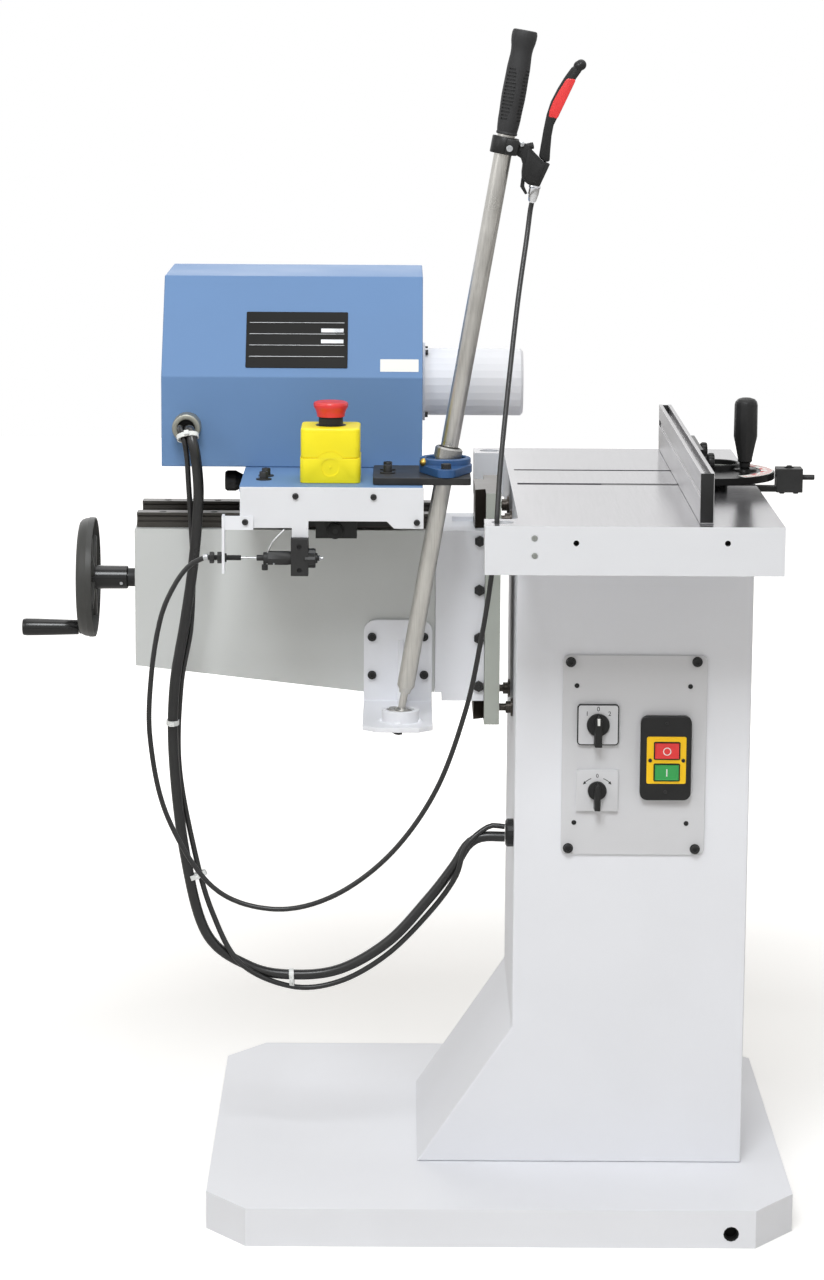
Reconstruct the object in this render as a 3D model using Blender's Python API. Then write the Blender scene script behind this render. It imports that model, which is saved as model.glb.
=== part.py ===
"""Slot mortiser: a floor-standing horizontal mortising machine with a sliding, rising head.

Metres, +Z up. X runs to the right, Y runs from the operator's side to the back, and the
origin is the centre of the plinth on the floor. The column and table stand still, the saddle
and arm rise on a dovetail way, the slide plate plunges along X and the head crosses along Y.
"""

import math

import bmesh
import bpy
from mathutils import Matrix, Vector

# Clearances and steps round a circle
GAP = 0.0003
OVERRUN = 0.004
ROUND = 28
COARSE = 18
SMALL = 12

# Plinth
BASE_HALF_X = 0.339
BASE_HALF_Y = 0.325
BASE_HEIGHT = 0.045
BASE_CHAMFER_X = 0.048
BASE_CHAMFER_Y = 0.060
BASE_WALL = 0.004
BASE_HOLE_INSET = 0.076
BASE_HOLE_Z = 0.017
BASE_HOLE_R = 0.009

# Table
TABLE_TOP = 0.8335
TABLE_LEFT = -0.026
TABLE_RECESS = 0.012
TABLE_RIGHT = 0.304
TABLE_HALF_Y = 0.335
TABLE_THICK = 0.016
TABLE_SKIRT = 0.0545
TABLE_WALL = 0.010
TABLE_RIB = 0.008
EAR_WIDTH = 0.052
EAR_HOLE_X = -0.006
EAR_HOLE_INSET = 0.028
EAR_HOLE_R = 0.01225
EAR_FILLET = 0.012
SLOT_DEPTH = 0.0075
SLOT_Y = 0.003
SLOT_WIDTH = 0.015
SLOT_START = 0.020
CLAMP_SLOT_Y = 0.126
CLAMP_SLOT_WIDTH = 0.010

# Column
COLUMN_LEFT = 0.0156
COLUMN_RIGHT = 0.2885
COLUMN_HALF_Y = 0.1555
COLUMN_WALL = 0.005
FLARE_LEFT = -0.0955
FLARE_TOP = 0.2106

# Dovetail way on the column
WAY_RIGHT = -0.001
WAY_LEFT = -0.019
WAY_HALF_Y = 0.080
WAY_BOTTOM = 0.558
DOVETAIL_LEFT = -0.031
DOVETAIL_NECK = 0.042
DOVETAIL_TIP = 0.049
JACK_Y = 0.058
JACK_LOW_Z = 0.575
JACK_HIGH_Z = 0.800
JACK_R = 0.0045
JACK_NUT_R = 0.0073
JACK_NUT_LENGTH = 0.006
JACK_WASHER_R = 0.01125
JACK_WASHER_LENGTH = 0.0022
NUT_BRACKET_Z = 0.640
NUT_BRACKET_HEIGHT = 0.020
NUT_BRACKET_LEFT = -0.063
NUT_BRACKET_HALF_Y = 0.016

# Saddle on the way
SADDLE_LEFT = -0.077
SADDLE_HALF_Y = 0.072
SADDLE_BOTTOM = 0.585
SADDLE_TOP = 0.788
SADDLE_STEP = 0.010
SADDLE_STEP_LEFT = -0.069
SADDLE_WALL = 0.007
POCKET_HALF_Y = 0.021
POCKET_ROOF = 0.010
RECESS_LEFT = -0.057
RECESS_HALF_Y = 0.040
RECESS_DEPTH = 0.005
GIB_THICK = 0.005

# Lift screw and its bevel gears
SCREW_X = -0.050
SCREW_R = 0.008
SCREW_BOTTOM = 0.592
GEAR_R = 0.0125
GEAR_BOTTOM = 0.690
GEAR_HUB_R = 0.0095
SHAFT_Z = 0.7187
SHAFT_R = 0.006
PINION_R = 0.0125
PINION_LENGTH = 0.007
PINION_RIGHT = -0.0595

# Arm
ARM_LEFT = -0.430
ARM_HALF_Y = 0.070
ARM_TOP = 0.7875
ARM_END_BOTTOM = 0.625
ARM_BOTTOM = 0.595
ARM_KNEE = -0.162
ARM_WALL = 0.008
BUSH_LEFT = -0.443
BUSH_R = 0.011

# Handwheel
WHEEL_LEFT = -0.505
WHEEL_R = 0.0715
WHEEL_RIM_TUBE = 0.0095
WHEEL_HUB_R = 0.014
WHEEL_HUB_FACE = -0.480
WHEEL_SPOKES = 5
WHEEL_SPOKE_R = 0.0048
CRANK_RADIUS = 0.061
CRANK_LEFT = -0.570
CRANK_RIGHT = -0.507
CRANK_R = 0.010
CRANK_PIN_R = 0.004
CRANK_SHAPE_SHARES = ((0, 0.60), (0.05, 0.90), (0.15, 1), (0.55, 0.93), (1, 0.86))
WHEEL_BOSS_R = 0.0085

# Lower rails and their carriages
RAIL_Y = 0.0475
RAIL_WIDTH = 0.020
RAIL_HEIGHT = 0.0175
RAIL_WAIST_SHARE = 0.7
RAIL_LEVEL_SHARES = (0, 0.35, 0.47, 0.70, 0.82, 1)
RAIL_LEFT = -0.428
RAIL_RIGHT = -0.082
CARRIAGE_WIDTH = 0.044
CARRIAGE_LIFT = 0.0045
CARRIAGE_TOP = 0.8178
CARRIAGE_LENGTH = 0.152
CARRIAGE_X = -0.197
RUNNING_GAP = 0.0008

# Slide plate, cross rails and their carriages
PLATE_LEFT = -0.300
PLATE_RIGHT = -0.095
PLATE_HALF_Y = 0.185
PLATE_TOP = 0.8298
CROSS_RAIL_LEFT_X = -0.270
CROSS_RAIL_RIGHT_X = -0.125
CROSS_RAIL_HALF = 0.180
CROSS_RAIL_WIDTH = 0.015
CROSS_RAIL_HEIGHT = 0.0150
CROSS_CARRIAGE_WIDTH = 0.034
CROSS_CARRIAGE_TOP = 0.8578
CROSS_CARRIAGE_LENGTH = 0.122
CROSS_CARRIAGE_Y = -0.020
CROSS_CARRIAGE_LIFT = 0.0040

# Depth stop under the slide plate
STOP_LEFT = -0.2166
STOP_RIGHT = -0.169
STOP_FRONT = -0.130
STOP_BACK = -0.105
STOP_BOTTOM = 0.787
STOP_BUMPER_X = -0.194
STOP_BUMPER_Z = 0.796
STOP_BUMPER_R = 0.0088
STOP_BUMPER_LENGTH = 0.006

# Slide lock
LOCK_LEFT = -0.324
LOCK_RIGHT = -0.3015
LOCK_Y = -0.060
LOCK_Z = 0.8440
LOCK_R = 0.012
LOCK_STEM_R = 0.004
LOCK_SHAPE_SHARES = ((0, 0.85), (0.11, 1), (0.55, 1), (1, 0.55))

# Head plate and front cover
HEAD_LEFT = -0.299
HEAD_RIGHT = -0.094
HEAD_FRONT = -0.262
HEAD_BACK = 0.158
HEAD_TOP = 0.865
HEAD_CORNER = 0.006
COVER_THICK = 0.0024
COVER_LEFT = -0.298
COVER_RIGHT = -0.093
COVER_BOTTOM = 0.819
COVER_CUT_RIGHT = -0.134
COVER_CUT_TOP = 0.827
COVER_TAB_LEFT = -0.240
COVER_TAB_RIGHT = -0.2215
COVER_TAB_BOTTOM = 0.8083

# Motor housing
HOUSING_LEFT = -0.396
HOUSING_RIGHT = -0.094
HOUSING_FRONT = -0.098
HOUSING_BACK = 0.158
HOUSING_BREAK_Z = 0.970
HOUSING_TOP_FRONT = -0.020
HOUSING_TOP = 1.080
HOUSING_WALL = 0.0025
HOUSING_MOUTH_R = 0.030

# Motor, guard and chuck
SPINDLE_Z = 0.955
MOTOR_LEFT = -0.380
MOTOR_RIGHT = -0.100
MOTOR_R = 0.066
MOTOR_SHAPE_SHARES = ((0, 0.90), (0.07, 1), (0.98, 1), (1, 0.80))
MOTOR_FOOT_HALF_Y = 0.055
MOTOR_FOOT_LEFT = -0.285
MOTOR_FOOT_RIGHT = -0.130
MOTOR_FOOT_HEIGHT = 0.012
MOTOR_NOSE_R = 0.024
MOTOR_NOSE_RIGHT = -0.0885
GUARD_R = 0.0395
GUARD_BORE = 0.033
GUARD_RIGHT = 0.0246
GUARD_RIM = 0.006
GUARD_RIM_R = 0.036
GUARD_FLANGE_R = 0.046
GUARD_FLANGE = 0.003
CHUCK_R = 0.019
CHUCK_LEFT = -0.0875
CHUCK_RIGHT = 0.012
CHUCK_NOSE_R = 0.013
CHUCK_NOSE_LENGTH = 0.014
CHUCK_BORE = 0.008
CHUCK_BORE_DEPTH = 0.045
CHUCK_HUB_R = 0.014

# Housing gland and its cables
GLAND_X = -0.366
GLAND_Z = 0.9125
GLAND_R = 0.0165
GLAND_NUT_R = 0.015
GLAND_FRONT = -0.122
GLAND_COLLAR = 0.008
GLAND_CHAMFER = 0.0012
POWER_CABLE_R = 0.0062
CONTROL_CABLE_R = 0.0032

# Lever plate and flange bearing
LEVER_PLATE_LEFT = -0.150
LEVER_PLATE_RIGHT = -0.040
LEVER_PLATE_FRONT = -0.244
LEVER_PLATE_BACK = -0.135
LEVER_PLATE_THICK = 0.008
LEVER_PLATE_HOLE = 0.0225
LEVER_Y = -0.190
BEARING_Z = 0.878
BEARING_WIDTH = 0.060
BEARING_LENGTH = 0.112
BEARING_LOBE_R = 0.013
BEARING_FOOT = 0.009
BEARING_HEIGHT = 0.0145
BEARING_BOSS_R = 0.0285
BEARING_BORE = 0.0221
BEARING_BOLT_R = 0.0058
BEARING_BOLT_Y = 0.043
INSERT_R = 0.0217
INSERT_HALF = 0.0055
INSERT_SEAT = 0.0182
INNER_R = 0.0178
INNER_HALF = 0.0070
INNER_NECK_R = 0.0138
INNER_COLLAR_R = 0.0158
INNER_COLLAR_LOW = 0.0112
INNER_COLLAR_TOP = 0.0240
INNER_BORE = 0.0123

# Emergency stop
ESTOP_X = -0.198
ESTOP_Y = -0.197
ESTOP_HALF = 0.034
ESTOP_SEAM_RISE = 0.0277
ESTOP_HEIGHT = 0.0615
ESTOP_CORNER = 0.007
ESTOP_COLLAR_R = 0.0135
ESTOP_COLLAR_HEIGHT = 0.0067
ESTOP_STEM_R = 0.0070
ESTOP_CAP_R = 0.020
ESTOP_CAP_GAP = 0.0050
ESTOP_CAP_HEIGHT = 0.0155
ESTOP_WELL = 0.009
ESTOP_SHAPE_SHARES = ((0, 0.76), (0.35, 0.87), (0.70, 1), (0.85, 1), (1, 0.85))

# Lever foot bracket
FOOT_X = -0.1175
FOOT_Z = 0.592
BRACKET_LEFT = -0.161
BRACKET_RIGHT = -0.0805
BRACKET_FRONT = -0.230
BRACKET_THICK = 0.0047
BRACKET_BOTTOM = 0.579
BRACKET_TOP = 0.682
BRACKET_FLANGE = 0.006
BRACKET_CORNER = 0.014
BRACKET_RIB = 0.006
BRACKET_RIB_TOP = 0.660
BRACKET_RIB_FRONT = -0.158
FOOT_BOSS_R = 0.0215
FOOT_BOSS_TOP = 0.5988
FOOT_BORE = 0.0160

# Lever: sizes along and across its own leaning axis
LEVER_LEAN = math.radians(9.82)
SWIVEL_R = 0.0157
SWIVEL_HALF = 0.0060
SWIVEL_SEAT = 0.0102
BALL_R = 0.0098
STUD_R = 0.00425
STUD_WASHER_R = 0.01025
STUD_WASHER_TOP = -0.0140
STUD_WASHER_LENGTH = 0.0025
STUD_NUT_R = 0.0064
STUD_BOTTOM = -0.0235
LEVER_TUBE_R = 0.010
LEVER_TUBE_START = 0.0255
LEVER_TUBE_END = 0.782
GRIP_CAP = 0.0055
GRIP_LENGTH = 0.1175
GRIP_LOW_R = 0.0120
GRIP_MIDDLE_R = 0.0135
GRIP_WAIST_R = 0.0125
GRIP_BULGE_R = 0.01425
GRIP_RIBS = 7
GRIP_GROOVE = 0.0005
GRIP_COLLAR_SHARE = 0.10
GRIP_RIBBED_SHARE = 0.62
GRIP_END_SHARES = (0.78, 0.88, 0.94)

# Brake lever on the handle
CLAMP_R = 0.0150
CLAMP_GAP = 0.0020
CLAMP_LENGTH = 0.0190
BRAKE_BODY_HALF = 0.0080
BRAKE_OUTLINE_U = (0.0125, 0.0243, 0.0460, 0.0536, 0.0460, 0.0332, 0.0256, 0.0238, 0.0125)
BRAKE_OUTLINE_V = (0.0160, 0.0150, 0.0000, -0.0011, -0.0286, -0.0281, -0.0236, -0.0084, 0.0020)
BRAKE_SLOT = 0.0055
BARREL_U = 0.0415
BARREL_DROP = 0.0265
BARREL_LENGTH = 0.0205
BARREL_R = 0.0060
BARREL_BORE = 0.0036
TRIGGER_U = 0.0475
TRIGGER_DROP = 0.0015
TRIGGER_PIN_R = 0.0030
TRIGGER_HALF = 0.0045
TRIGGER_OUTLINE_U = (-0.0075, -0.0075, -0.0075, -0.0073, -0.0003, 0.0086, 0.0165, 0.0237, 0.0173, 0.0052,
                     0.0016, 0.0040, 0.0058)
TRIGGER_OUTLINE_V = (0.0040, 0.0173, 0.0349, 0.0619, 0.0823, 0.1069, 0.1165, 0.1115, 0.0970, 0.0525,
                     0.0403, 0.0116, 0.0010)

# Index plunger on the front cover
PLUNGER_LEFT = -0.241
PLUNGER_RIGHT = -0.2215
PLUNGER_BOTTOM = 0.7660
PLUNGER_FRONT = -0.2720
PLUNGER_BACK = -0.2520
PLUNGER_Y = -0.2620
PLUNGER_Z = 0.7850
PLUNGER_PIN_R = 0.0040
PLUNGER_TIP = -0.2050
PLUNGER_BARREL_R = 0.0064
PLUNGER_NUT_R = 0.0115
PLUNGER_NUT_RIGHT = -0.2135
PLUNGER_BARREL_LEFT = -0.272
PLUNGER_HOLE_R = 0.0035
CABLE_CLAMP_LEFT = -0.2835
CABLE_CLAMP_RIGHT = -0.2730
CABLE_CLAMP_R = 0.0042

# Cable bracket beside the plunger
STRIP_LEFT = -0.3180
STRIP_RIGHT = -0.3150
STRIP_TOP = 0.8330
STRIP_BOTTOM = 0.7680
STRIP_WIDTH = 0.016
STRIP_LEG_RIGHT = -0.2830
ADJUSTER_LEFT = -0.3440
ADJUSTER_RIGHT = -0.3060
ADJUSTER_R = 0.0034
ADJUSTER_NUT_R = 0.0070
ADJUSTER_NUT = 0.005
ADJUSTER_BORE = 0.0015
BRAKE_CABLE_R = 0.0029

# Control panel on the column
PANEL_LEFT = 0.0700
PANEL_RIGHT = 0.2370
PANEL_BOTTOM = 0.4205
PANEL_TOP = 0.6568
PANEL_THICK = 0.0025
PANEL_CORNER = 0.006
SWITCH_X = 0.1112
SWITCH_SIZE = 0.048
SWITCH_THICK = 0.0045
SELECTOR_Z = 0.5757
DIRECTION_Z = 0.4978
KNOB_STEM_R = 0.005
SELECTOR_R = 0.0135
DIRECTION_R = 0.0112
KNOB_DEPTH = 0.016
KNOB_SKIRT = 0.004
KNOB_CHAMFER = 0.0010
KNOB_TAIL = 0.0120
KNOB_BAR_SHARE = 0.42
STARTER_LEFT = 0.1615
STARTER_RIGHT = 0.2185
STARTER_BOTTOM = 0.4885
STARTER_TOP = 0.5865
STARTER_DEPTH = 0.009
STARTER_CORNER = 0.005
BUTTON_X = 0.1911
BUTTON_WIDTH = 0.0280
BUTTON_HEIGHT = 0.0178
BUTTON_DEPTH = 0.0070
BUTTON_STAND = 0.0035
STOP_Z = 0.5466
START_Z = 0.5211
BUTTON_ROUND = 0.0025

# Gland ring on the column's left side
COLUMN_GLAND_Y = -0.130
COLUMN_GLAND_Z = 0.4395
COLUMN_GLAND_R = 0.0165
COLUMN_GLAND_BORE = 0.0120
COLUMN_GLAND_LENGTH = 0.0090

# Mitre gauge
BAR_LEFT = 0.120
BAR_RIGHT = 0.3300
BAR_BLOCK_LEFT = 0.3270
BAR_BLOCK_RIGHT = 0.3580
BAR_BLOCK_TOP = 0.8545
BAR_BLOCK_HALF_Y = 0.0130
BAR_CLEARANCE = 0.0004
BAR_ROD_RIGHT = 0.3730
BAR_ROD_Z = 0.8434
BAR_ROD_R = 0.0030
BAR_SCREW_R = 0.0060
BAR_SCREW_TOP = 0.8640
PIVOT_X = 0.2500
PIVOT_R = 0.0050
DISC_R = 0.0750
DISC_BOTTOM = 0.8430
DISC_TOP = 0.8510
DISC_FOOT_R = 0.0200
DISC_CUT_X = 0.2300
HANDLE_X = 0.2900
HANDLE_STUD_R = 0.0050
HANDLE_LOW = 0.8560
HANDLE_TOP = 0.9377
HANDLE_R = 0.01385
HANDLE_SHAPE_SHARES = ((0, 0.62), (0.14, 0.62), (0.22, 0.80), (0.45, 0.97), (0.60, 1), (0.78, 0.93),
                       (0.90, 0.74), (0.97, 0.42))
CARRIER_RIGHT = 0.2400
CARRIER_TOP = 0.8840
CARRIER_HALF_Y = 0.0750
CARRIER_THICK = 0.0080
FENCE_LEFT = 0.2110
FENCE_RIGHT = 0.2265
FENCE_FRONT = -0.3130
FENCE_BACK = 0.3345
FENCE_BOTTOM = 0.8340
FENCE_TOP = 0.8905
FENCE_WALL = 0.0020
FENCE_SLOT = 0.0070
FENCE_SLOT_DEPTH = 0.0110
FENCE_SLOT_INNER = 0.0100
FENCE_SLOT_LIP = 0.0030
FENCE_GROOVE_Z = 0.8680
FENCE_GROOVE = 0.0040
FENCE_KNOB_Y = 0.0500
FENCE_KNOB_Z = 0.8680
FENCE_KNOB_R = 0.0100
FENCE_KNOB_LENGTH = 0.0140
FENCE_KNOB_SHAPE_SHARES = ((0, 0.70), (0.35, 1), (0.90, 1), (1, 0.80))
FENCE_KNOB_STUD_R = 0.0030

# Routes of the cables, chosen along the photographed runs, and the spacing of their points
POWER_STEP = 0.0248
CONTROL_STEP = 0.01664
BRAKE_STEP = 0.01798
ROUTE_STEPS = 24
POWER_ROUTE = ((-0.366, -0.1226, 0.9090), (-0.366, -0.147, 0.9088), (-0.364, -0.156, 0.889),
               (-0.361, -0.150, 0.857), (-0.360, -0.141, 0.822), (-0.366, -0.134, 0.760),
               (-0.378, -0.132, 0.690), (-0.383, -0.130, 0.610), (-0.380, -0.130, 0.524),
               (-0.366, -0.130, 0.410),
               (-0.336, -0.130, 0.325), (-0.294, -0.130, 0.281), (-0.244, -0.130, 0.266),
               (-0.187, -0.130, 0.270), (-0.130, -0.130, 0.302), (-0.084, -0.130, 0.352),
               (-0.054, -0.130, 0.398), (-0.038, -0.130, 0.424), (-0.021, -0.130, 0.4340),
               (0.0056, -0.130, 0.4345))
CONTROL_ROUTE = ((-0.366, -0.1227, 0.9220), (-0.366, -0.138, 0.9222), (-0.357, -0.147, 0.918),
                 (-0.345, -0.145, 0.900), (-0.343, -0.143, 0.868), (-0.345, -0.139, 0.832),
                 (-0.354, -0.134, 0.762), (-0.365, -0.132, 0.692), (-0.370, -0.130, 0.610),
                 (-0.367, -0.130, 0.524), (-0.354, -0.130, 0.413),
                 (-0.326, -0.130, 0.336), (-0.289, -0.130, 0.295), (-0.244, -0.130, 0.281),
                 (-0.190, -0.130, 0.285), (-0.138, -0.130, 0.315), (-0.094, -0.130, 0.363),
                 (-0.064, -0.130, 0.409), (-0.042, -0.130, 0.437), (-0.014, -0.130, 0.4462),
                 (0.0056, -0.130, 0.4465))
BRAKE_ROUTE = ((0.0260, -0.190, 1.1773), (0.0242, -0.190, 1.1670), (0.0205, -0.198, 1.1380),
               (0.0110, -0.222, 1.0720),
               (-0.0010, -0.264, 0.9500), (-0.0060, -0.295, 0.8800), (-0.0070, -0.306, 0.8300),
               (-0.0110, -0.306, 0.7750), (-0.0250, -0.306, 0.7010), (-0.0450, -0.302, 0.6200),
               (-0.0780, -0.296, 0.5260), (-0.1300, -0.290, 0.4500), (-0.1960, -0.285, 0.4000),
               (-0.2640, -0.280, 0.3850), (-0.3300, -0.276, 0.4100), (-0.3780, -0.273, 0.4900),
               (-0.4020, -0.271, 0.5900), (-0.4030, -0.266, 0.6700), (-0.3940, -0.2640, 0.7330),
               (-0.3810, -0.2620, 0.7700), (-0.3630, -0.2620, 0.7845), (-0.3445, -0.2620, 0.7850))

for leftover in list(bpy.data.objects):
    bpy.data.objects.remove(leftover, do_unlink=True)


def material(name, colour, roughness, metallic=0.0):
    """A Principled material with a plain colour."""
    made = bpy.data.materials.new(name)
    made.use_nodes = True
    shader = made.node_tree.nodes["Principled BSDF"]
    shader.inputs["Base Color"].default_value = (*colour, 1.0)
    shader.inputs["Roughness"].default_value = roughness
    shader.inputs["Metallic"].default_value = metallic
    return made


BLUE_PAINT = material("blue_paint", (0.165, 0.300, 0.510), 0.38)
GREY_PAINT = material("light_grey_paint", (0.680, 0.710, 0.740), 0.42)
CASTING = material("machined_casting", (0.330, 0.345, 0.330), 0.42, 0.75)
GROUND_IRON = material("ground_table_iron", (0.420, 0.425, 0.420), 0.32, 0.85)
OILY_IRON = material("oily_dovetail_iron", (0.060, 0.058, 0.055), 0.35, 0.6)
STEEL = material("turned_steel", (0.520, 0.520, 0.510), 0.30, 1.0)
RAIL_STEEL = material("rail_steel", (0.600, 0.600, 0.590), 0.22, 1.0)
BLACK_STEEL = material("black_oxide_steel", (0.022, 0.022, 0.024), 0.45, 0.4)
BLACK_PLASTIC = material("black_plastic", (0.018, 0.018, 0.019), 0.42)
BLACK_RUBBER = material("black_grip_rubber", (0.020, 0.020, 0.020), 0.75)
RED_PLASTIC = material("red_button_plastic", (0.620, 0.015, 0.025), 0.35)
GREEN_PLASTIC = material("green_button_plastic", (0.020, 0.300, 0.070), 0.35)
YELLOW_PLASTIC = material("yellow_box_plastic", (0.870, 0.590, 0.010), 0.40)
GREY_PLASTIC = material("light_grey_plastic", (0.560, 0.570, 0.570), 0.45)
ALUMINIUM = material("anodised_aluminium", (0.610, 0.615, 0.620), 0.36, 0.9)
CABLE_RUBBER = material("cable_sheath", (0.025, 0.025, 0.026), 0.60)


def frame(name, place, parent=None):
    """An empty on a joint's axis that carries the pieces of one moving body."""
    empty = bpy.data.objects.new(name, None)
    bpy.context.collection.objects.link(empty)
    empty.parent = parent
    if parent:
        empty.matrix_parent_inverse = Matrix.Translation(-parent.matrix_world.translation)
    empty.location = place
    bpy.context.view_layer.update()
    return empty


def add_mesh(name, mesh_in_work):
    """Turn a bmesh into an object with its faces pointing out."""
    bmesh.ops.recalc_face_normals(mesh_in_work, faces=mesh_in_work.faces)
    mesh = bpy.data.meshes.new(name)
    mesh_in_work.to_mesh(mesh)
    mesh_in_work.free()
    made = bpy.data.objects.new(name, mesh)
    bpy.context.collection.objects.link(made)
    return made


def along(axis, across, up, depth):
    """A point from its two places on an outline and its depth along an axis."""
    if axis == "X":
        return Vector((depth, across, up))
    if axis == "Y":
        return Vector((across, depth, up))
    return Vector((across, up, depth))


def prism(name, outline, axis, start, end):
    """An outline pushed from start to end along an axis."""
    shape = bmesh.new()
    corners = [shape.verts.new(along(axis, a, b, start)) for a, b in outline]
    face = shape.faces.new(corners)
    grown = bmesh.ops.extrude_face_region(shape, geom=[face])["geom"]
    moved = [item for item in grown if isinstance(item, bmesh.types.BMVert)]
    bmesh.ops.translate(shape, verts=moved, vec=along(axis, 0, 0, end - start))
    return add_mesh(name, shape)


def block(name, low, high):
    """A box between two corners."""
    outline = ((low[0], low[1]), (high[0], low[1]), (high[0], high[1]), (low[0], high[1]))
    return prism(name, outline, "Z", low[2], high[2])


def circle(centre, radius, sides=ROUND, turn=0.0):
    """The points of a circle in an outline's plane."""
    angles = [turn + 2 * math.pi * step / sides for step in range(sides)]
    return [(centre[0] + radius * math.cos(a), centre[1] + radius * math.sin(a)) for a in angles]


def arc(centre, radius, start, end, steps):
    """Points along an arc, with its angles in degrees."""
    angles = [math.radians(start + (end - start) * step / steps) for step in range(steps + 1)]
    return [(centre[0] + radius * math.cos(a), centre[1] + radius * math.sin(a)) for a in angles]


def rounded(low, high, radius, steps=3):
    """A rectangle's outline with round corners."""
    (left, bottom), (right, top) = low, high
    points = arc((right - radius, bottom + radius), radius, -90, 0, steps)
    points += arc((right - radius, top - radius), radius, 0, 90, steps)
    points += arc((left + radius, top - radius), radius, 90, 180, steps)
    points += arc((left + radius, bottom + radius), radius, 180, 270, steps)
    return points


def inset(outline, distance):
    """An outline moved inward by one distance, for the inside of a sheet shell."""
    count = len(outline)
    area = sum(outline[i][0] * outline[(i + 1) % count][1] - outline[(i + 1) % count][0] * outline[i][1]
               for i in range(count))
    side = 1 if area > 0 else -1
    moved = []
    for i in range(count):
        before, here, after = (Vector(outline[(i + k) % count]) for k in (-1, 0, 1))
        first, second = (here - before).normalized(), (after - here).normalized()
        in_first = side * Vector((-first.y, first.x))
        in_second = side * Vector((-second.y, second.x))
        corner = here + (in_first + in_second) * distance / (1 + in_first.dot(in_second))
        moved.append((corner.x, corner.y))
    return moved


def rod(name, axis, centre, radius, start, end, sides=ROUND):
    """A round bar along an axis through a centre in the other two coordinates."""
    return prism(name, circle(centre, radius, sides), axis, start, end)


def turned(name, axis, centre, profile, sides=ROUND):
    """A closed profile of (radius, place along the axis) points turned about the axis."""
    shape = bmesh.new()
    rings = []
    for radius, depth in profile:
        if radius == 0:
            rings.append([shape.verts.new(along(axis, *centre, depth))])
        else:
            ring = circle(centre, radius, sides)
            rings.append([shape.verts.new(along(axis, a, b, depth)) for a, b in ring])
    for i, ring in enumerate(rings):
        other = rings[(i + 1) % len(rings)]
        for step in range(sides):
            after = (step + 1) % sides
            corners = [ring[step % len(ring)], ring[after % len(ring)]]
            corners += [other[after % len(other)], other[step % len(other)]]
            corners = list(dict.fromkeys(corners))
            if len(corners) > 2:
                shape.faces.new(corners)
    return add_mesh(name, shape)


def combine(target, tool, operation):
    """Cut a tool out of a target, or join it to the target, and drop the tool."""
    modifier = target.modifiers.new(tool.name, "BOOLEAN")
    modifier.operation = operation
    modifier.solver = "EXACT"
    modifier.object = tool
    bpy.context.view_layer.update()
    shaped = bpy.data.meshes.new_from_object(target.evaluated_get(bpy.context.evaluated_depsgraph_get()))
    target.modifiers.clear()
    target.data = shaped
    bpy.data.objects.remove(tool, do_unlink=True)


def cut(target, *tools):
    for tool in tools:
        combine(target, tool, "DIFFERENCE")


def join(target, *tools):
    for tool in tools:
        combine(target, tool, "UNION")


def soften(target, width, angle=50):
    """Round the sharp edges of a piece with a small bevel."""
    bevel = target.modifiers.new("softened edges", "BEVEL")
    bevel.width = width
    bevel.segments = 1
    bevel.limit_method = "ANGLE"
    bevel.angle_limit = math.radians(angle)
    return target


def finish(piece, look, carrier=None, pivot=None):
    """Give a piece its material, smooth round faces, its origin and its carrier."""
    piece.data.materials.clear()
    piece.data.materials.append(look)
    piece.data.shade_smooth()
    piece.data.set_sharp_from_angle(angle=math.radians(32))
    if pivot is not None:
        piece.data.transform(Matrix.Translation(-Vector(pivot)))
        piece.location = pivot
    if carrier is not None:
        piece.parent = carrier
        piece.matrix_parent_inverse = carrier.matrix_world.inverted()
    return piece


def smooth_route(route, spacing):
    """Points at an even spacing on a smooth curve through a route's own points."""
    points = [Vector(point) for point in route]
    points = [2 * points[0] - points[1], *points, 2 * points[-1] - points[-2]]
    fine = []
    for before, start, end, after in zip(points, points[1:], points[2:], points[3:]):
        for step in range(ROUTE_STEPS):
            t = step / ROUTE_STEPS
            fine.append(((2 * start) + (end - before) * t
                         + (2 * before - 5 * start + 4 * end - after) * t ** 2
                         + (3 * start - before - 3 * end + after) * t ** 3) / 2)
    fine.append(points[-2])
    length = sum((b - a).length for a, b in zip(fine, fine[1:]))
    count = max(2, round(length / spacing))
    even, passed, target = [fine[0]], 0, length / count
    for a, b in zip(fine, fine[1:]):
        passed += (b - a).length
        if passed >= target and len(even) < count:
            even.append(b)
            target += length / count
    return [*even, fine[-1]]


def cable(name, route, radius, look, spacing):
    """A cable as one tube along its smoothed route."""
    points = smooth_route(route, spacing)
    curve = bpy.data.curves.new(name, "CURVE")
    curve.dimensions = "3D"
    curve.bevel_depth = radius
    curve.bevel_resolution = 2
    curve.use_fill_caps = True
    spline = curve.splines.new("POLY")
    spline.points.add(len(points) - 1)
    for spot, point in zip(spline.points, points):
        spot.co = (*point, 1.0)
    made = bpy.data.objects.new(name, curve)
    bpy.context.collection.objects.link(made)
    curve.materials.append(look)
    return made


# Standing parts: plinth, column and table

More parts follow.
